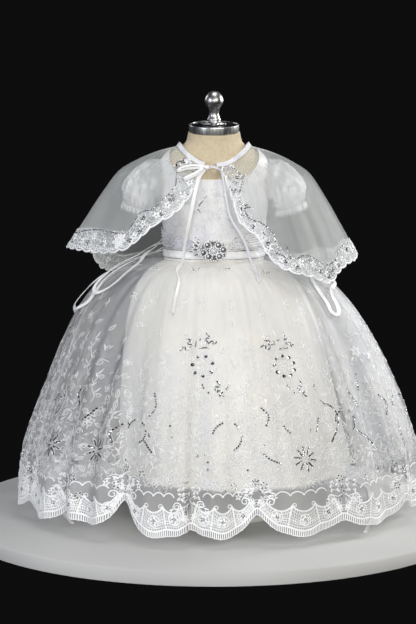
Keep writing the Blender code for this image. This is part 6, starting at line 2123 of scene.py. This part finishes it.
edge.made("sash_edges", lambda p, q, out: on_torso(rad(p), q, SASH_OUT + 0.0004 + np.asarray(out)[..., None]), GLITTER, "satin")


def drape_high(side, degs):
    if side < 0:
        return 0.3950 + (degs - 15) / 75 * 0.0190
    return 0.3935 + 0.0200 * (1 - np.exp(-(degs - 15) / 22))


def on_drape(side):
    def place(p, q, out):
        p, q = np.asarray(p, float), np.asarray(q, float)
        low = SASH_HIGH + 0.0012
        z = low + (drape_high(side, p) - low) * q
        pleat = (q * DRAPE_PLEATS) % 1.0
        fold = 0.0011 * pleat - 0.0004 + 0.0003 * np.sin(0.4 * p + 9 * q)
        return on_torso(rad(side * p), z, SASH_OUT + 0.0002 + (fold + np.asarray(out))[..., None])
    return place


DRAPE_PLEATS = 7
for side, word, start in ((-1, "right", 17.5), (1, "left", 17.5)):
    degs = np.linspace(start, 86, 80)
    q = np.concatenate([np.linspace(k, k + 0.995, 8) for k in range(DRAPE_PLEATS)]) / DRAPE_PLEATS
    place = on_drape(side)
    grid = place(np.broadcast_to(degs, (len(q), 80)), np.broadcast_to(q[:, None], (len(q), 80)), np.zeros((len(q), 80)))
    ob = grid_object(f"waist_drape_{word}_pleats", grid)
    # the -X drape takes the tissue copy with painted shade, the +X drape the copy with painted light
    piece(ob, PLEATS_PAINTED_SHADE if side < 0 else PLEATS_PAINTED_LIGHT, [f"waist_drape_{word}"])
    sheet(ob, 0.092, 0.034, "folded", ["bodice_front"], fulled=1.1)
    threads, glints = Work(), Work()
    to = Spot(0, 0, 0.00122, 1.0)
    for k in range(1, DRAPE_PLEATS + 1):
        path = np.stack([np.linspace(start + 1, 85.5, 40) * 1.22, np.full(40, (k - 0.04) / DRAPE_PLEATS * 1000)], -1)
        strip(threads, to, path, 7.0 if k == DRAPE_PLEATS else 5.0, 0.9)
    for k in range(1, DRAPE_PLEATS + 1):
        for x in np.arange(start + 1.5, 85, 1.45):
            if hand.random() < (0.8 if k == DRAPE_PLEATS else 0.55):
                a = hand.uniform(0, 6.3)
                px, qx = x + hand.uniform(-0.3, 0.3), (k - hand.uniform(0.1, 0.75)) / DRAPE_PLEATS
                if k == DRAPE_PLEATS:
                    qx = (k - 0.15) / DRAPE_PLEATS
                # sequins here are set one by one in degrees and shares
                span = float(drape_high(side, np.array(px)) - SASH_HIGH)
                ang = np.arange(6) * math.pi / 3 + a
                r = 0.00055
                spots = np.concatenate([[[px, qx]], np.stack([px + r * np.cos(ang) / 0.00122, qx + r * np.sin(ang) / span], -1)])
                lifts = np.r_[0.5, 0.7 + 0.35 * np.cos(ang - a)]
                i = np.arange(6)
                glints.add(spots, lifts, tris=np.stack([np.zeros(6, int), 1 + i, 1 + (i + 1) % 6], -1))
    threads.made(f"waist_drape_{word}_cords", place, THREAD, "satin")
    glints.made(f"waist_drape_{word}_glints", place, SEQUIN, "rhinestones", smooth=False)

# the brooch: a setting, six large stones in circles of small ones, pearls in the middle
BX, BZ, BY = -0.0010, 0.3835, -0.0640


def make_ball(levels=2):
    t = (1 + 5**0.5) / 2
    v = np.array([(-1, t, 0), (1, t, 0), (-1, -t, 0), (1, -t, 0), (0, -1, t), (0, 1, t), (0, -1, -t), (0, 1, -t), (t, 0, -1), (t, 0, 1), (-t, 0, -1), (-t, 0, 1)], float)
    v /= np.linalg.norm(v, axis=1, keepdims=True)
    f = [(0, 11, 5), (0, 5, 1), (0, 1, 7), (0, 7, 10), (0, 10, 11), (1, 5, 9), (5, 11, 4), (11, 10, 2), (10, 7, 6), (7, 1, 8), (3, 9, 4), (3, 4, 2), (3, 2, 6), (3, 6, 8), (3, 8, 9), (4, 9, 5), (2, 4, 11), (6, 2, 10), (8, 6, 7), (9, 8, 1)]
    for _ in range(levels):
        v, new, seen = list(v), [], {}
        def half(a, b):
            key = (min(a, b), max(a, b))
            if key not in seen:
                m = v[a] + v[b]
                v.append(m / np.linalg.norm(m))
                seen[key] = len(v) - 1
            return seen[key]
        for a, b, c in f:
            ab, bc, ca = half(a, b), half(b, c), half(c, a)
            new += [(a, ab, ca), (b, bc, ab), (c, ca, bc), (ab, bc, ca)]
        v, f = np.array(v), new
    return np.array(v), np.array(f)


BALLS = {level: make_ball(level) for level in (0, 1, 2, 3)}


def balls(name, rows, mat, level=1, smooth_faces=True):
    """Stones at x, y, z with a radius, made one mesh."""
    v, f = BALLS[level]
    points = np.concatenate([np.array(r[:3]) + v * r[3] for r in rows])
    tris = np.concatenate([f + i * len(v) for i in range(len(rows))])
    ob = mesh_object(name, points, tris=tris, smooth=smooth_faces)
    print(f"{name}: {len(tris)} triangles")
    return piece(ob, mat)


# setting: a dark oval plate with a domed face and a lobed rim
ang = np.linspace(0, 2 * math.pi, 96, endpoint=False)
lobes = 1 + 0.035 * np.cos(10 * ang)
rings = []
for r, y in ((1.0, 0.0016), (1.0, -0.0002), (0.93, -0.0014), (0.6, -0.0021), (0.02, -0.0024)):
    rings.append(np.stack([BX + 0.0200 * lobes * r * np.cos(ang), np.full(96, BY + y), BZ + 0.0146 * lobes * r * np.sin(ang)], -1))
ob = grid_object("brooch_setting", np.stack(rings), closed=True)
piece(ob, SETTING, ["brooch"])
big = [(-8.2, 8.0), (7.2, 8.2), (14.2, 1.6), (8.8, -7.8), (-6.6, -8.0), (-14.2, -2.6)]
balls("brooch_stones", [(BX + x / 1000, BY - 0.0038, BZ + z / 1000, 0.0031) for x, z in big], MIRROR, 3)
small, cream = [], []
for x, z in big:
    for k in range(10):
        a = 2 * math.pi * k / 10 + 0.2
        small.append((BX + (x + 4.9 * math.cos(a)) / 1000, BY - 0.0031, BZ + (z + 4.9 * math.sin(a)) / 1000, 0.00128))
for k in range(36):
    a = 2 * math.pi * k / 36
    s = 1 + 0.035 * math.cos(10 * a)
    small.append((BX + 0.0196 * s * math.cos(a), BY - 0.0012, BZ + 0.0142 * s * math.sin(a), 0.00125))
for k in range(8):
    a = 2 * math.pi * k / 8
    cream.append((BX + (0.4 + 3.4 * math.cos(a)) / 1000, BY - 0.0038, BZ + (0.2 + 3.2 * math.sin(a)) / 1000, 0.0012))
cream.append((BX + 0.0004, BY - 0.0046, BZ + 0.0002, 0.0020))
for k in range(13):
    a = 2 * math.pi * k / 13 + 0.15
    small.append((BX + (0.4 + 6.0 * math.cos(a)) / 1000, BY - 0.0033, BZ + (0.2 + 5.6 * math.sin(a)) / 1000, 0.00125))
# sprays of stones at its -X side: bright small ones round dark middles
dark_small, backs = [], []
for cx, cz, lean, long, wide in ((-24.5, 7.6, 155, 8.5, 4.4), (-21.5, 11.6, 130, 6.0, 3.6), (-25.5, 1.5, 180, 7.4, 4.2), (-24.0, -5.6, 200, 7.5, 4.2), (-29.5, 5.0, 170, 5.0, 3.2), (-31.0, -1.5, 185, 5.0, 3.0), (-27.5, 11.5, 150, 4.6, 2.8)):
    c, s = math.cos(math.radians(lean)), math.sin(math.radians(lean))
    turn = np.linspace(0, 2 * math.pi, 24, endpoint=False)
    rim_u, rim_w = (long / 2 + 0.9) * np.cos(turn), (wide / 2 + 0.9) * np.sin(turn)
    rim_x, rim_z = cx + rim_u * c - rim_w * s, cz + rim_u * s + rim_w * c
    for share_in, lift in ((0.02, 0.0006), (0.9, 0.0004), (1.0, -0.0004)):
        px, pz = cx + (rim_x - cx) * share_in, cz + (rim_z - cz) * share_in
        backs.append(np.stack([BX + px / 1000, BY + 0.0010 - lift + 0.000045 * np.clip(np.abs(px) - 20, 0, None) ** 2, BZ + pz / 1000], -1))
    for k in range(9):
        a = 2 * math.pi * k / 9
        u, w = long / 2 * math.cos(a), wide / 2 * math.sin(a)
        x, z = cx + u * c - w * s, cz + u * s + w * c
        small.append((BX + x / 1000, BY - 0.0003 + 0.000045 * (abs(x) - 20) ** 2, BZ + z / 1000, 0.00112))
    for u in (-1.8, 0.2, 2.0):
        x, z = cx + u * c, cz + u * s
        dark_small.append((BX + x / 1000, BY - 0.0005 + 0.000045 * (abs(x) - 20) ** 2, BZ + z / 1000, 0.0011))
for x, z in ((0.4, 11.6), (-2.6, 12.6), (3.4, 12.4), (1.0, -11.4), (-13.0, 5.0), (14.0, -4.4), (17.2, -3.0), (-17.4, 2.8), (-12.0, -9.6), (13.6, 7.6)):
    dark_small.append((BX + x / 1000, BY - 0.0020, BZ + z / 1000, 0.0012))
balls("brooch_small_stones", small, CRYSTAL, 1, False)
plates, plate_quads = [], []
for i in range(0, len(backs), 3):
    plate_quads.append(grid_quads(3, 25) + len(plates) * 75)
    plates.append(np.concatenate([np.concatenate([r, r[:1]]) for r in backs[i:i + 3]]))
ob = mesh_object("brooch_spray_backs", np.concatenate(plates), np.concatenate(plate_quads))
piece(ob, SETTING)
# painted highlights: a small white bead over the upper left of each large dark stone stands for the lamps' highlight on
# it
painted_highlight_beads = [(BX + (x - 0.9) / 1000, BY - 0.0058, BZ + (z + 0.9) / 1000, 0.00160) for x, z in big]
balls("brooch_painted_highlights", painted_highlight_beads, CRYSTAL, 1)
balls("brooch_dark_stones", dark_small, MIRROR, 1, False)
balls("brooch_pearls", cream, PEARL, 2)
# ================================================================ cape
LAST = len(CAPE) - 1
EDGE_S = np.linspace(0, LAST, 1321)
EDGE_P = on_cape(EDGE_S, np.ones_like(EDGE_S))
EDGE_L = np.r_[0, np.cumsum(np.linalg.norm(np.diff(EDGE_P, axis=0), axis=1))]
EDGE_LONG = float(EDGE_L[-1])
print(f"cape's edge {EDGE_LONG:.3f} m")

# where the line of beads runs that bounds the lace: share of the way from neck to edge
BEADS_AT = {
    "right": [
        # s, t
        (2.25, 0.02), (2.95, 0.13), (3.45, 0.19), (3.10, 0.33), (3.00, 0.47), (3.05, 0.56), (3.28, 0.62), (3.75, 0.72),
        (4.30, 0.775), (5.25, 0.72), (5.83, 0.84), (6.23, 0.85), (7.30, 0.83), (8.53, 0.885), (9.2, 0.86), (9.9, 0.85),
        (10.6, 0.88), (11.3, 0.855), (12.0, 0.885), (12.7, 0.855), (13.4, 0.885), (14.1, 0.855), (14.8, 0.885),
        (15.5, 0.855), (16.2, 0.885), (16.9, 0.855), (17.6, 0.885), (18.3, 0.865), (19.12, 0.905), (20.2, 0.875),
        (21.4, 0.885), (22.0, 0.915), (22.93, 0.88), (23.6, 0.85), (24.3, 0.85), (25.0, 0.885), (25.33, 0.88),
        (25.30, 0.81), (25.55, 0.80),
    ],
    "left_low": [
        (25.10, 0.85), (25.45, 0.90), (25.85, 0.865), (25.95, 0.80), (26.05, 0.72), (26.33, 0.695), (26.68, 0.69), (27.25, 0.715),
        (28.08, 0.795), (28.70, 0.81), (29.10, 0.77), (29.25, 0.715), (29.03, 0.69), (28.65, 0.66), (27.95, 0.65),
    ],
    "left_high": [
        (28.38, 0.56), (28.65, 0.61), (29.05, 0.66), (29.45, 0.665), (29.93, 0.63), (30.00, 0.57), (29.68, 0.48), (29.12, 0.36),
        (28.60, 0.285), (28.62, 0.24), (29.0, 0.215), (30.28, 0.15), (32.0, 0.17), (32.6, 0.03),
    ],
}
# the same without the hooks, for the net under the lace
NET_LINE = [
    (2.25, 0.0), (2.95, 0.12), (3.30, 0.20), (3.12, 0.32), (3.02, 0.46), (3.05, 0.55), (3.26, 0.61), (3.75, 0.70),
    (4.30, 0.755), (5.25, 0.715), (5.83, 0.82), (6.23, 0.83), (7.30, 0.815), (8.53, 0.865), (9.2, 0.85), (9.9, 0.84),
    (10.6, 0.87), (11.3, 0.845), (12.0, 0.875), (12.7, 0.845), (13.4, 0.875), (14.1, 0.845), (14.8, 0.875),
    (15.5, 0.845), (16.2, 0.875), (16.9, 0.845), (17.6, 0.875), (18.3, 0.855), (19.12, 0.89), (20.2, 0.865),
    (21.4, 0.875), (22.0, 0.90), (22.93, 0.87), (23.6, 0.84), (24.3, 0.84), (25.1, 0.87), (25.55, 0.85), (25.80, 0.79),
    (26.05, 0.70), (26.33, 0.68), (26.68, 0.675), (27.25, 0.70), (28.05, 0.77), (28.75, 0.74), (29.30, 0.66),
    (29.75, 0.62), (29.93, 0.57), (29.65, 0.48), (29.10, 0.36), (28.62, 0.285), (28.70, 0.22), (30.28, 0.13), (31.8, 0.10), (32.4, 0.0),
]


# scallops of the outer edge: where two of them meet, in metres along the edge
CUPS = [0.0]
cup_hand = random.Random(5)
while CUPS[-1] < EDGE_LONG - 0.022:
    CUPS.append(CUPS[-1] + cup_hand.uniform(0.0165, 0.0215))
CUPS = np.array(CUPS[:-1] + [EDGE_LONG]) if EDGE_LONG - CUPS[-1] < 0.008 else np.array(CUPS + [EDGE_LONG])


def cup(l):
    """How far the scalloped edge stands inside its tips, in metres."""
    i = np.clip(np.searchsorted(CUPS, l, side="right") - 1, 0, len(CUPS) - 2)
    f = (l - CUPS[i]) / (CUPS[i + 1] - CUPS[i])
    return 0.0036 * np.abs(2 * f - 1) ** 2.6


def drift(s, t):
    """Soft folds of the cape between neck and edge."""
    fold = (
        0.0020 * np.sin(1.9 * s + 0.4) + 0.0013 * np.sin(3.1 * s + 1.3) + 0.0007 * np.sin(5.7 * s)
    )
    reach = np.clip(t, 0, 1) ** 1.4 * np.clip((1.05 - t) / 0.30, 0.25, 1)
    front = np.clip((np.minimum(s, LAST - s) - 1.5) / 3, 0, 1)
    near = 0.0006 * np.sin(s * 9.5 + 2 * np.sin(s)) * np.exp(-((t / 0.22) ** 2))
    return fold * reach * front + near * front


CAPE_GRID_S = np.linspace(0, LAST, 661)
CAPE_GRID_T = np.linspace(0, 1.04, 105)


def cape_raw(s, t):
    """The CAD's cape carried a little past its edge, and the way each place faces."""
    mid = np.clip(t, 0, 1)
    inside = on_cape(s, mid)
    e = 2e-3
    s0, s1 = np.clip(s - e, 0, LAST), np.clip(s + e, 0, LAST)
    t0, t1 = np.clip(mid - e, 0, 1), np.clip(mid + e, 0, 1)
    down = on_cape(s, t1) - on_cape(s, t0)
    side = on_cape(s1, mid) - on_cape(s0, mid)
    n = np.cross(down, side)
    n /= np.linalg.norm(n, axis=-1, keepdims=True)
    n *= np.where(n[..., 2:3] < 0, -1, 1)
    down = down / np.linalg.norm(down, axis=-1, keepdims=True)
    inner, outer, _ = cape_column(s)
    past = np.clip(t - 1, 0, None) * np.linalg.norm(outer - inner, axis=-1)
    return inside + down * past[..., None], n


grid_s, grid_t = np.meshgrid(CAPE_GRID_S, CAPE_GRID_T, indexing="ij")
CAPE_P, CAPE_N = cape_raw(grid_s, grid_t)
CAPE_P = CAPE_P + CAPE_N * drift(grid_s, grid_t)[..., None]


def place_cape(s, t, out=0.0):
    """A point of the draped cape: s along its edge, t from the neck to the edge."""
    s, t = np.broadcast_arrays(np.asarray(s, float), np.asarray(t, float))
    x = np.clip(s / LAST * 660, 0, 659.999)
    y = np.clip(t / 1.04 * 104, 0, 103.999)
    i, j = x.astype(int), y.astype(int)
    fx, fy = (x - i)[..., None], (y - j)[..., None]
    p = (CAPE_P[i, j] * (1 - fx) + CAPE_P[i + 1, j] * fx) * (1 - fy) + (CAPE_P[i, j + 1] * (1 - fx) + CAPE_P[i + 1, j + 1] * fx) * fy
    n = (CAPE_N[i, j] * (1 - fx) + CAPE_N[i + 1, j] * fx) * (1 - fy) + (CAPE_N[i, j + 1] * (1 - fx) + CAPE_N[i + 1, j + 1] * fx) * fy
    return p + n * np.asarray(out)[..., None]


def s_of(l):
    return np.interp(l, EDGE_L, EDGE_S)


def edge_share(l):
    """Share t of the scalloped edge at l metres along it."""
    s = s_of(l)
    inner, outer, _ = cape_column(s)
    return 1 - cup(np.asarray(l, float)) / np.linalg.norm(outer - inner, axis=-1) / 1.06


def at_cape(s, t, turn=0.0, size=1.0, flip=1):
    """Millimetres round a place of the cape; y runs towards the edge."""
    a, b = place_cape(np.array([s - 0.05, s + 0.05]), np.array([t, t]))
    c, d = place_cape(np.array([s, s]), np.array([t - 0.02, min(t + 0.02, 1.04)]))
    per_s = np.linalg.norm(b - a) / 0.1
    per_t = np.linalg.norm(d - c) / (min(t + 0.02, 1.04) - t + 0.02)
    along, down = (b - a) / np.linalg.norm(b - a), (d - c) / np.linalg.norm(d - c)
    return Skewed(s, t, per_s, per_t, float(along @ down), math.radians(turn), size, flip)


class Skewed:
    """Millimetres on a surface whose two directions do not cross squarely."""

    def __init__(self, p, q, per_p, per_q, lean, turn, size, flip):
        self.p, self.q, self.kp, self.kq, self.lean = p, q, per_p * 1000, per_q * 1000, lean
        self.c, self.s, self.size, self.flip = math.cos(turn), math.sin(turn), size, flip
        self.high = math.sqrt(max(1 - lean * lean, 0.1))

    def __call__(self, xy):
        xy = np.asarray(xy, float).reshape(-1, 2) * self.size * [self.flip, 1]
        x = xy[:, 0] * self.c - xy[:, 1] * self.s
        y = xy[:, 0] * self.s + xy[:, 1] * self.c
        q = y / self.high
        p = x - self.lean * q
        return np.stack([self.p + p / self.kp, self.q + q / self.kq], -1)


def cape_strip(work, s, t, width, height, base=0.12):
    """A cord along shares of the cape; its width is in millimetres."""
    s, t = np.asarray(s, float), np.asarray(t, float)
    p = place_cape(s, t)
    n = place_cape(s, t, 0.001 + 0 * s) - p
    n /= np.linalg.norm(n, axis=1, keepdims=True)
    along = np.gradient(p, axis=0)
    along /= np.maximum(np.linalg.norm(along, axis=1, keepdims=True), 1e-9)
    side = np.cross(along, n)
    half = width / 2000
    rows = np.concatenate([p + side * half + n * base / 1000, p + n * height / 1000, p - side * half + n * base / 1000])
    k = len(s)
    i = np.arange(k - 1)
    quads = np.concatenate([np.stack([a * k + i, (a + 1) * k + i, (a + 1) * k + i + 1, a * k + i + 1], -1) for a in (0, 1)])
    work.add(rows[:, :2], rows[:, 2], quads)


class Solid(Work):
    """The same for shapes that are already points in metres."""

    def made(self, name, mat, slot, smooth=True):
        spots, z = np.concatenate(self.spots), np.concatenate(self.lifts)
        quads = np.concatenate(self.quads) if self.quads else ()
        tris = np.concatenate(self.tris) if self.tris else ()
        ob = mesh_object(name, np.column_stack([spots, z]), quads, tris, smooth)
        print(f"{name}: {2 * len(quads) + len(tris)} triangles")
        return piece(ob, mat)


# the sheer cloth from the neck to the scalloped edge
ls = np.linspace(0, EDGE_LONG, 1101)
cols = s_of(ls)
last = edge_share(ls)
rows = np.linspace(0, 1, 32) ** 0.9
grid = place_cape(cols[None, :] + 0 * rows[:, None], last[None, :] * rows[:, None], 0.0)
ob = grid_object("cape_sheer", grid)
piece(ob, CAPE_SHEER, ["cape_organza"])
sheet(ob, 1.27, 0.19, "draped", ["cape_neck_band"], fulled=1.0)

# the lace lies on it, from the line of beads to the edge
net_line = through([(*r, 0) for r in NET_LINE], 0.02)[:, :2]
net_p = place_cape(net_line[:, 0], net_line[:, 1])
net_run = np.r_[0, np.cumsum(np.linalg.norm(np.diff(net_p, axis=0), axis=1))]
LACE_COLS = 1200
at = np.linspace(0, net_run[-1], LACE_COLS)
in_s, in_t = np.interp(at, net_run, net_line[:, 0]), np.interp(at, net_run, net_line[:, 1])
# the outer border: down the front edge, along the scallops and up the other front edge
rim_s = np.r_[np.full(12, 0.0), s_of(ls), np.full(12, float(LAST))]
rim_t = np.r_[np.linspace(0, 0.95, 12), last, np.linspace(0.95, 0, 12)]
rim_p = place_cape(rim_s, rim_t)
in_p = place_cape(in_s, in_t)
near = np.array([int(np.argmin(((rim_p - p) ** 2).sum(1))) for p in in_p], float)
near[0], near[-1] = 0, len(rim_s) - 1
up = np.maximum.accumulate(near)
down = np.minimum.accumulate(near[::-1])[::-1]
match = (up + down) / 2
kernel = np.hanning(41) / np.hanning(41).sum()
match = np.convolve(np.pad(match, 20, mode="edge"), kernel, mode="valid")
match = (match - match[0]) / (match[-1] - match[0]) * (len(rim_s) - 1)
k = np.arange(len(rim_s))
out_s, out_t = np.interp(match, k, rim_s), np.interp(match, k, rim_t)


def in_lace(share, w):
    """A place in the lace: share of the way along it, w from the beads to the edge."""
    x = np.asarray(share, float) * (LACE_COLS - 1)
    k = np.arange(LACE_COLS)
    a, b = np.interp(x, k, in_s), np.interp(x, k, in_t)
    c, d = np.interp(x, k, out_s), np.interp(x, k, out_t)
    return a + (c - a) * w, b + (d - b) * w


share = np.linspace(0, 1, LACE_COLS)
rows = np.linspace(0, 1, 14)
gs, gt = in_lace(share[None, :] + 0 * rows[:, None], rows[:, None] + 0 * share[None, :])
grid = place_cape(gs, gt, np.full(gs.shape, 0.00045))
ob = grid_object("cape_lace_net", grid)
piece(ob, LACE_NET, ["cape_lace"])
sheet(ob, 1.27, 0.042, "draped", ["cape_organza"], fulled=1.0)
mid_in, mid_out = place_cape(*in_lace(share, 0.0)), place_cape(*in_lace(share, 1.0))
LACE_WIDE = np.linalg.norm(mid_out - mid_in, axis=1)
mid_p = (mid_in + mid_out) / 2
LACE_RUN = np.r_[0, np.cumsum(np.linalg.norm(np.diff(mid_p, axis=0), axis=1))]

cords, stitches, whites, beads = Solid(), Work(), Work(), Work()
hand = random.Random(11)
LIFT = 0.45
# the thick cord of the scalloped edge and a finer one inside it
cape_strip(cords, cols, last - 0.006, 2.7, 1.5)
_a, _b, _c = cape_column(cols)
long = np.linalg.norm(_b - _a, axis=-1)
inside = (cols > 0.4) & (cols < LAST - 0.4)
cape_strip(cords, cols[inside], (last - 0.0048 / long)[inside], 1.1, 1.2)

# beads along the inner line, with a white cord on the side of the lace
for rows in BEADS_AT.values():
    line = through([(*r, 0) for r in rows], 0.01)[:, :2]
    p = place_cape(line[:, 0], line[:, 1])
    run = np.r_[0, np.cumsum(np.linalg.norm(np.diff(p, axis=0), axis=1))]
    at = np.arange(0.001, run[-1], 0.0012)
    cape_strip(cords, np.interp(at, run, line[:, 0]), np.interp(at, run, line[:, 1]), 1.7, 1.1)
    at = 0.002
    while at < run[-1] - 0.002:
        s, t = float(np.interp(at, run, line[:, 0])), float(np.interp(at, run, line[:, 1]))
        if 9.0 < s < 20 and math.sin(at * 95) < -0.55:
            at += 0.0023
            continue
        to = at_cape(s, min(max(t, 0.03), 0.985))
        sequin(beads, to, hand.uniform(-0.12, 0.12), hand.uniform(-0.12, 0.12), 1.06, 1.25, 7, hand.uniform(-0.35, 0.35), hand.uniform(0, 6))
        at += 0.0023

# clusters of sequins in the lace, along the border
CLUSTERS = [
    # s, t, how many, turn
    (2.65, 0.15, 3, 10), (3.2, 0.24, 3, 60), (2.25, 0.47, 2, 0), (1.0, 0.60, 2, 30), (1.95, 0.92, 1, 0), (2.5, 0.74, 2, 40),
    (3.7, 0.90, 4, 30), (4.93, 0.80, 4, 70), (4.98, 0.925, 4, 20), (5.6, 0.94, 3, 70), (6.9, 0.93, 3, 30), (7.53, 0.93, 4, -20), (8.5, 0.945, 3, 10),
    (20.7, 0.91, 5, 40), (21.9, 0.955, 4, 70), (22.48, 0.94, 3, 0), (22.93, 0.955, 5, -20), (23.43, 0.93, 4, 50), (24.1, 0.885, 4, 10), (25.0, 0.95, 4, 60),
    (25.65, 0.93, 3, 30), (25.95, 0.88, 2, 0), (26.7, 0.86, 4, -30), (26.85, 0.78, 2, 10), (28.48, 0.90, 5, 60), (29.78, 0.77, 4, 0), (29.6, 0.83, 3, 40),
    (30.05, 0.29, 4, 70), (30.85, 0.70, 3, 20), (30.6, 0.42, 2, 50), (29.3, 0.27, 2, 0), (31.3, 0.80, 2, 30),
]
back_s = 9.4
while back_s < 20.2:
    CLUSTERS.append((back_s, 0.935 + hand.uniform(-0.01, 0.01), hand.choice((3, 4, 5)), hand.uniform(-90, 90)))
    back_s += hand.uniform(0.55, 0.8)
for s, t, count, turn in CLUSTERS:
    to = at_cape(s, t, turn)
    for k in range(count):
        a = 2 * math.pi * k / max(count, 3) + 0.4
        r = 0 if count == 1 else 2.1
        sequin(beads, to, r * math.cos(a), r * math.sin(a), 1.3, 1.5, 8, hand.uniform(-0.3, 0.3), a)
        if count > 2:
            leaf(whites, to, (r + 1.2) * math.cos(a + 0.5), (r + 1.2) * math.sin(a + 0.5), math.degrees(a) + 28, 3.6, 1.9, 30, 0.8)

# a star of sequin dashes beside the line at -X
to = at_cape(3.22, 0.73, -20)
for a in (200, 235, 268, 300):
    c, d = math.cos(math.radians(a)), math.sin(math.radians(a))
    for r in (2.6, 3.9, 5.2, 6.5):
        sequin(beads, to, r * c, r * d, 0.75, 1.5, 7, hand.uniform(-0.3, 0.3), hand.uniform(0, 6))
for a in (20, 55, 90, 125, 160):
    c, d = math.cos(math.radians(a)), math.sin(math.radians(a))
    for r in (2.2, 4.6):
        sequin(beads, to, r * c, r * d, 1.05, 1.5, 8, hand.uniform(-0.3, 0.3), a)
petals(stitches, to, 0, 0, 9, 1.0, 7.0, 2.0, 18, 1.2)

# white flowers: a large one in the border at -X, small ones all round
to = at_cape(6.2, 0.905, 0)
for k in range(7):
    a = k * 360 / 7 + 12
    c, s = math.cos(math.radians(a)), math.sin(math.radians(a))
    path = [(2 * c, 2 * s), (6.5 * c - 2.6 * s, 6.5 * s + 2.6 * c), (12.0 * c, 12.0 * s), (6.5 * c + 2.6 * s, 6.5 * s - 2.6 * c), (2 * c, 2 * s)]
    strip(whites, to, curve(path, 1.6), 1.7, 1.5)
    leaf(whites, to, 3 * c, 3 * s, a, 7.0, 2.2, 0, 1.2)
ring(whites, to, 0, 0, 1.8, 1.2, 1.4, 9)
for k in range(52):
    f = (k + 0.5) / 52 + hand.uniform(-0.002, 0.002)
    s, t = in_lace(f, hand.uniform(0.36, 0.6))
    if abs(s - 6.2) < 0.5:
        continue
    to = at_cape(float(s), float(t), hand.uniform(0, 360), min(1.0, float(np.interp(f, share, LACE_WIDE)) / 0.017))
    petals(whites, to, 0, 0, 5, 1.0, 5.8, 3.2, 0, 1.6)
    sequin(beads, to, 0, 0, 0.8, 1.6, 7)

# three small bars behind every scallop
for i in range(len(CUPS) - 1):
    l0, l1 = CUPS[i], CUPS[i + 1]
    for f in (0.28, 0.5, 0.72):
        l = l0 + (l1 - l0) * f
        s = float(s_of(l))
        a, b, _ = cape_column(np.array([s]))
        deep = 0.0075 if f == 0.5 else 0.0068
        to = at_cape(s, float(np.clip(edge_share(np.array([l]))[0] - deep / np.linalg.norm(b - a), 0.05, 1)))
        strip(stitches, to, [(0, -1.5), (0.1, 0), (0, 2.6)], 0.9, 1.2)

# close small stitches that fill the lace: leaves, curls and short wavy cords
for k in range(2000):
    f = hand.random()
    wide = float(np.interp(f, share, LACE_WIDE)) * 1000
    if hand.random() > wide / 24:
        continue
    w = hand.uniform(0.04, 1 - 4.2 / max(wide, 6))
    s, t = in_lace(f, w)
    to = at_cape(float(s), float(np.clip(t, 0.02, 0.99)), hand.uniform(0, 360), hand.uniform(0.7, 1.0))
    kind = hand.random()
    if kind < 0.5:
        leaf(stitches, to, -2.4, 0, 0, 5.0, 1.5, hand.choice((-35, 35)), 1.25)
    elif kind < 0.78:
        curl(stitches, to, 1.8, 0, 0, 2.2, 1.1, 1, 0.8, 1.1)
    else:
        strip(stitches, to, [(-3, 0), (-1, 0.8), (1, -0.4), (3, 0.6)], 0.8, 1.1)
cords.made("cape_lace_cords", THREAD, "lace")
whites.made("cape_lace_flowers", lambda s, t, out: place_cape(s, t, out + 0.0004), THREAD, "lace")
stitches.made("cape_lace_stitches", lambda s, t, out: place_cape(s, t, out + 0.0003), LACE_THREAD, "lace")
beads.made("cape_lace_sequins", lambda s, t, out: place_cape(s, t, out + 0.0003), SEQUIN, "lace", smooth=False)

# the satin band of the neck, folded over and stitched along both edges
degs = np.linspace(-356, -15, 310)
mid, slope = neck_point(degs), neck_slope(degs)
outwards = np.cross(slope, np.gradient(mid, axis=0))
outwards /= np.linalg.norm(outwards, axis=1, keepdims=True)
outwards *= np.where((outwards * np.stack([np.sin(np.radians(degs)), -np.cos(np.radians(degs)), 0.4 + 0 * degs], -1)).sum(1) < 0, -1, 1)[:, None]
rows = []
for w, o in ((-0.5, -0.6), (-0.53, 0.0), (-0.48, 0.6), (-0.36, 0.80), (-0.28, 0.42), (-0.1, 0.80), (0.1, 0.80), (0.28, 0.42), (0.36, 0.80), (0.48, 0.6), (0.53, 0.0), (0.5, -0.6), (0.0, -0.6)):
    rows.append(mid + slope * BAND_H * w + outwards * (o / 1000 + 0.00012 * np.sin(degs * 0.9 + 6 * w))[:, None])
rows.append(rows[0])
ob = grid_object("cape_neck_band_satin", np.stack(rows))
# the band's darker lavender-grey satin stands for painted shade
piece(ob, BAND_SATIN_PAINTED_SHADE, ["cape_neck_band"])
sheet(ob, 0.300, 0.022, "folded", ["form_torso"], fulled=1.0)
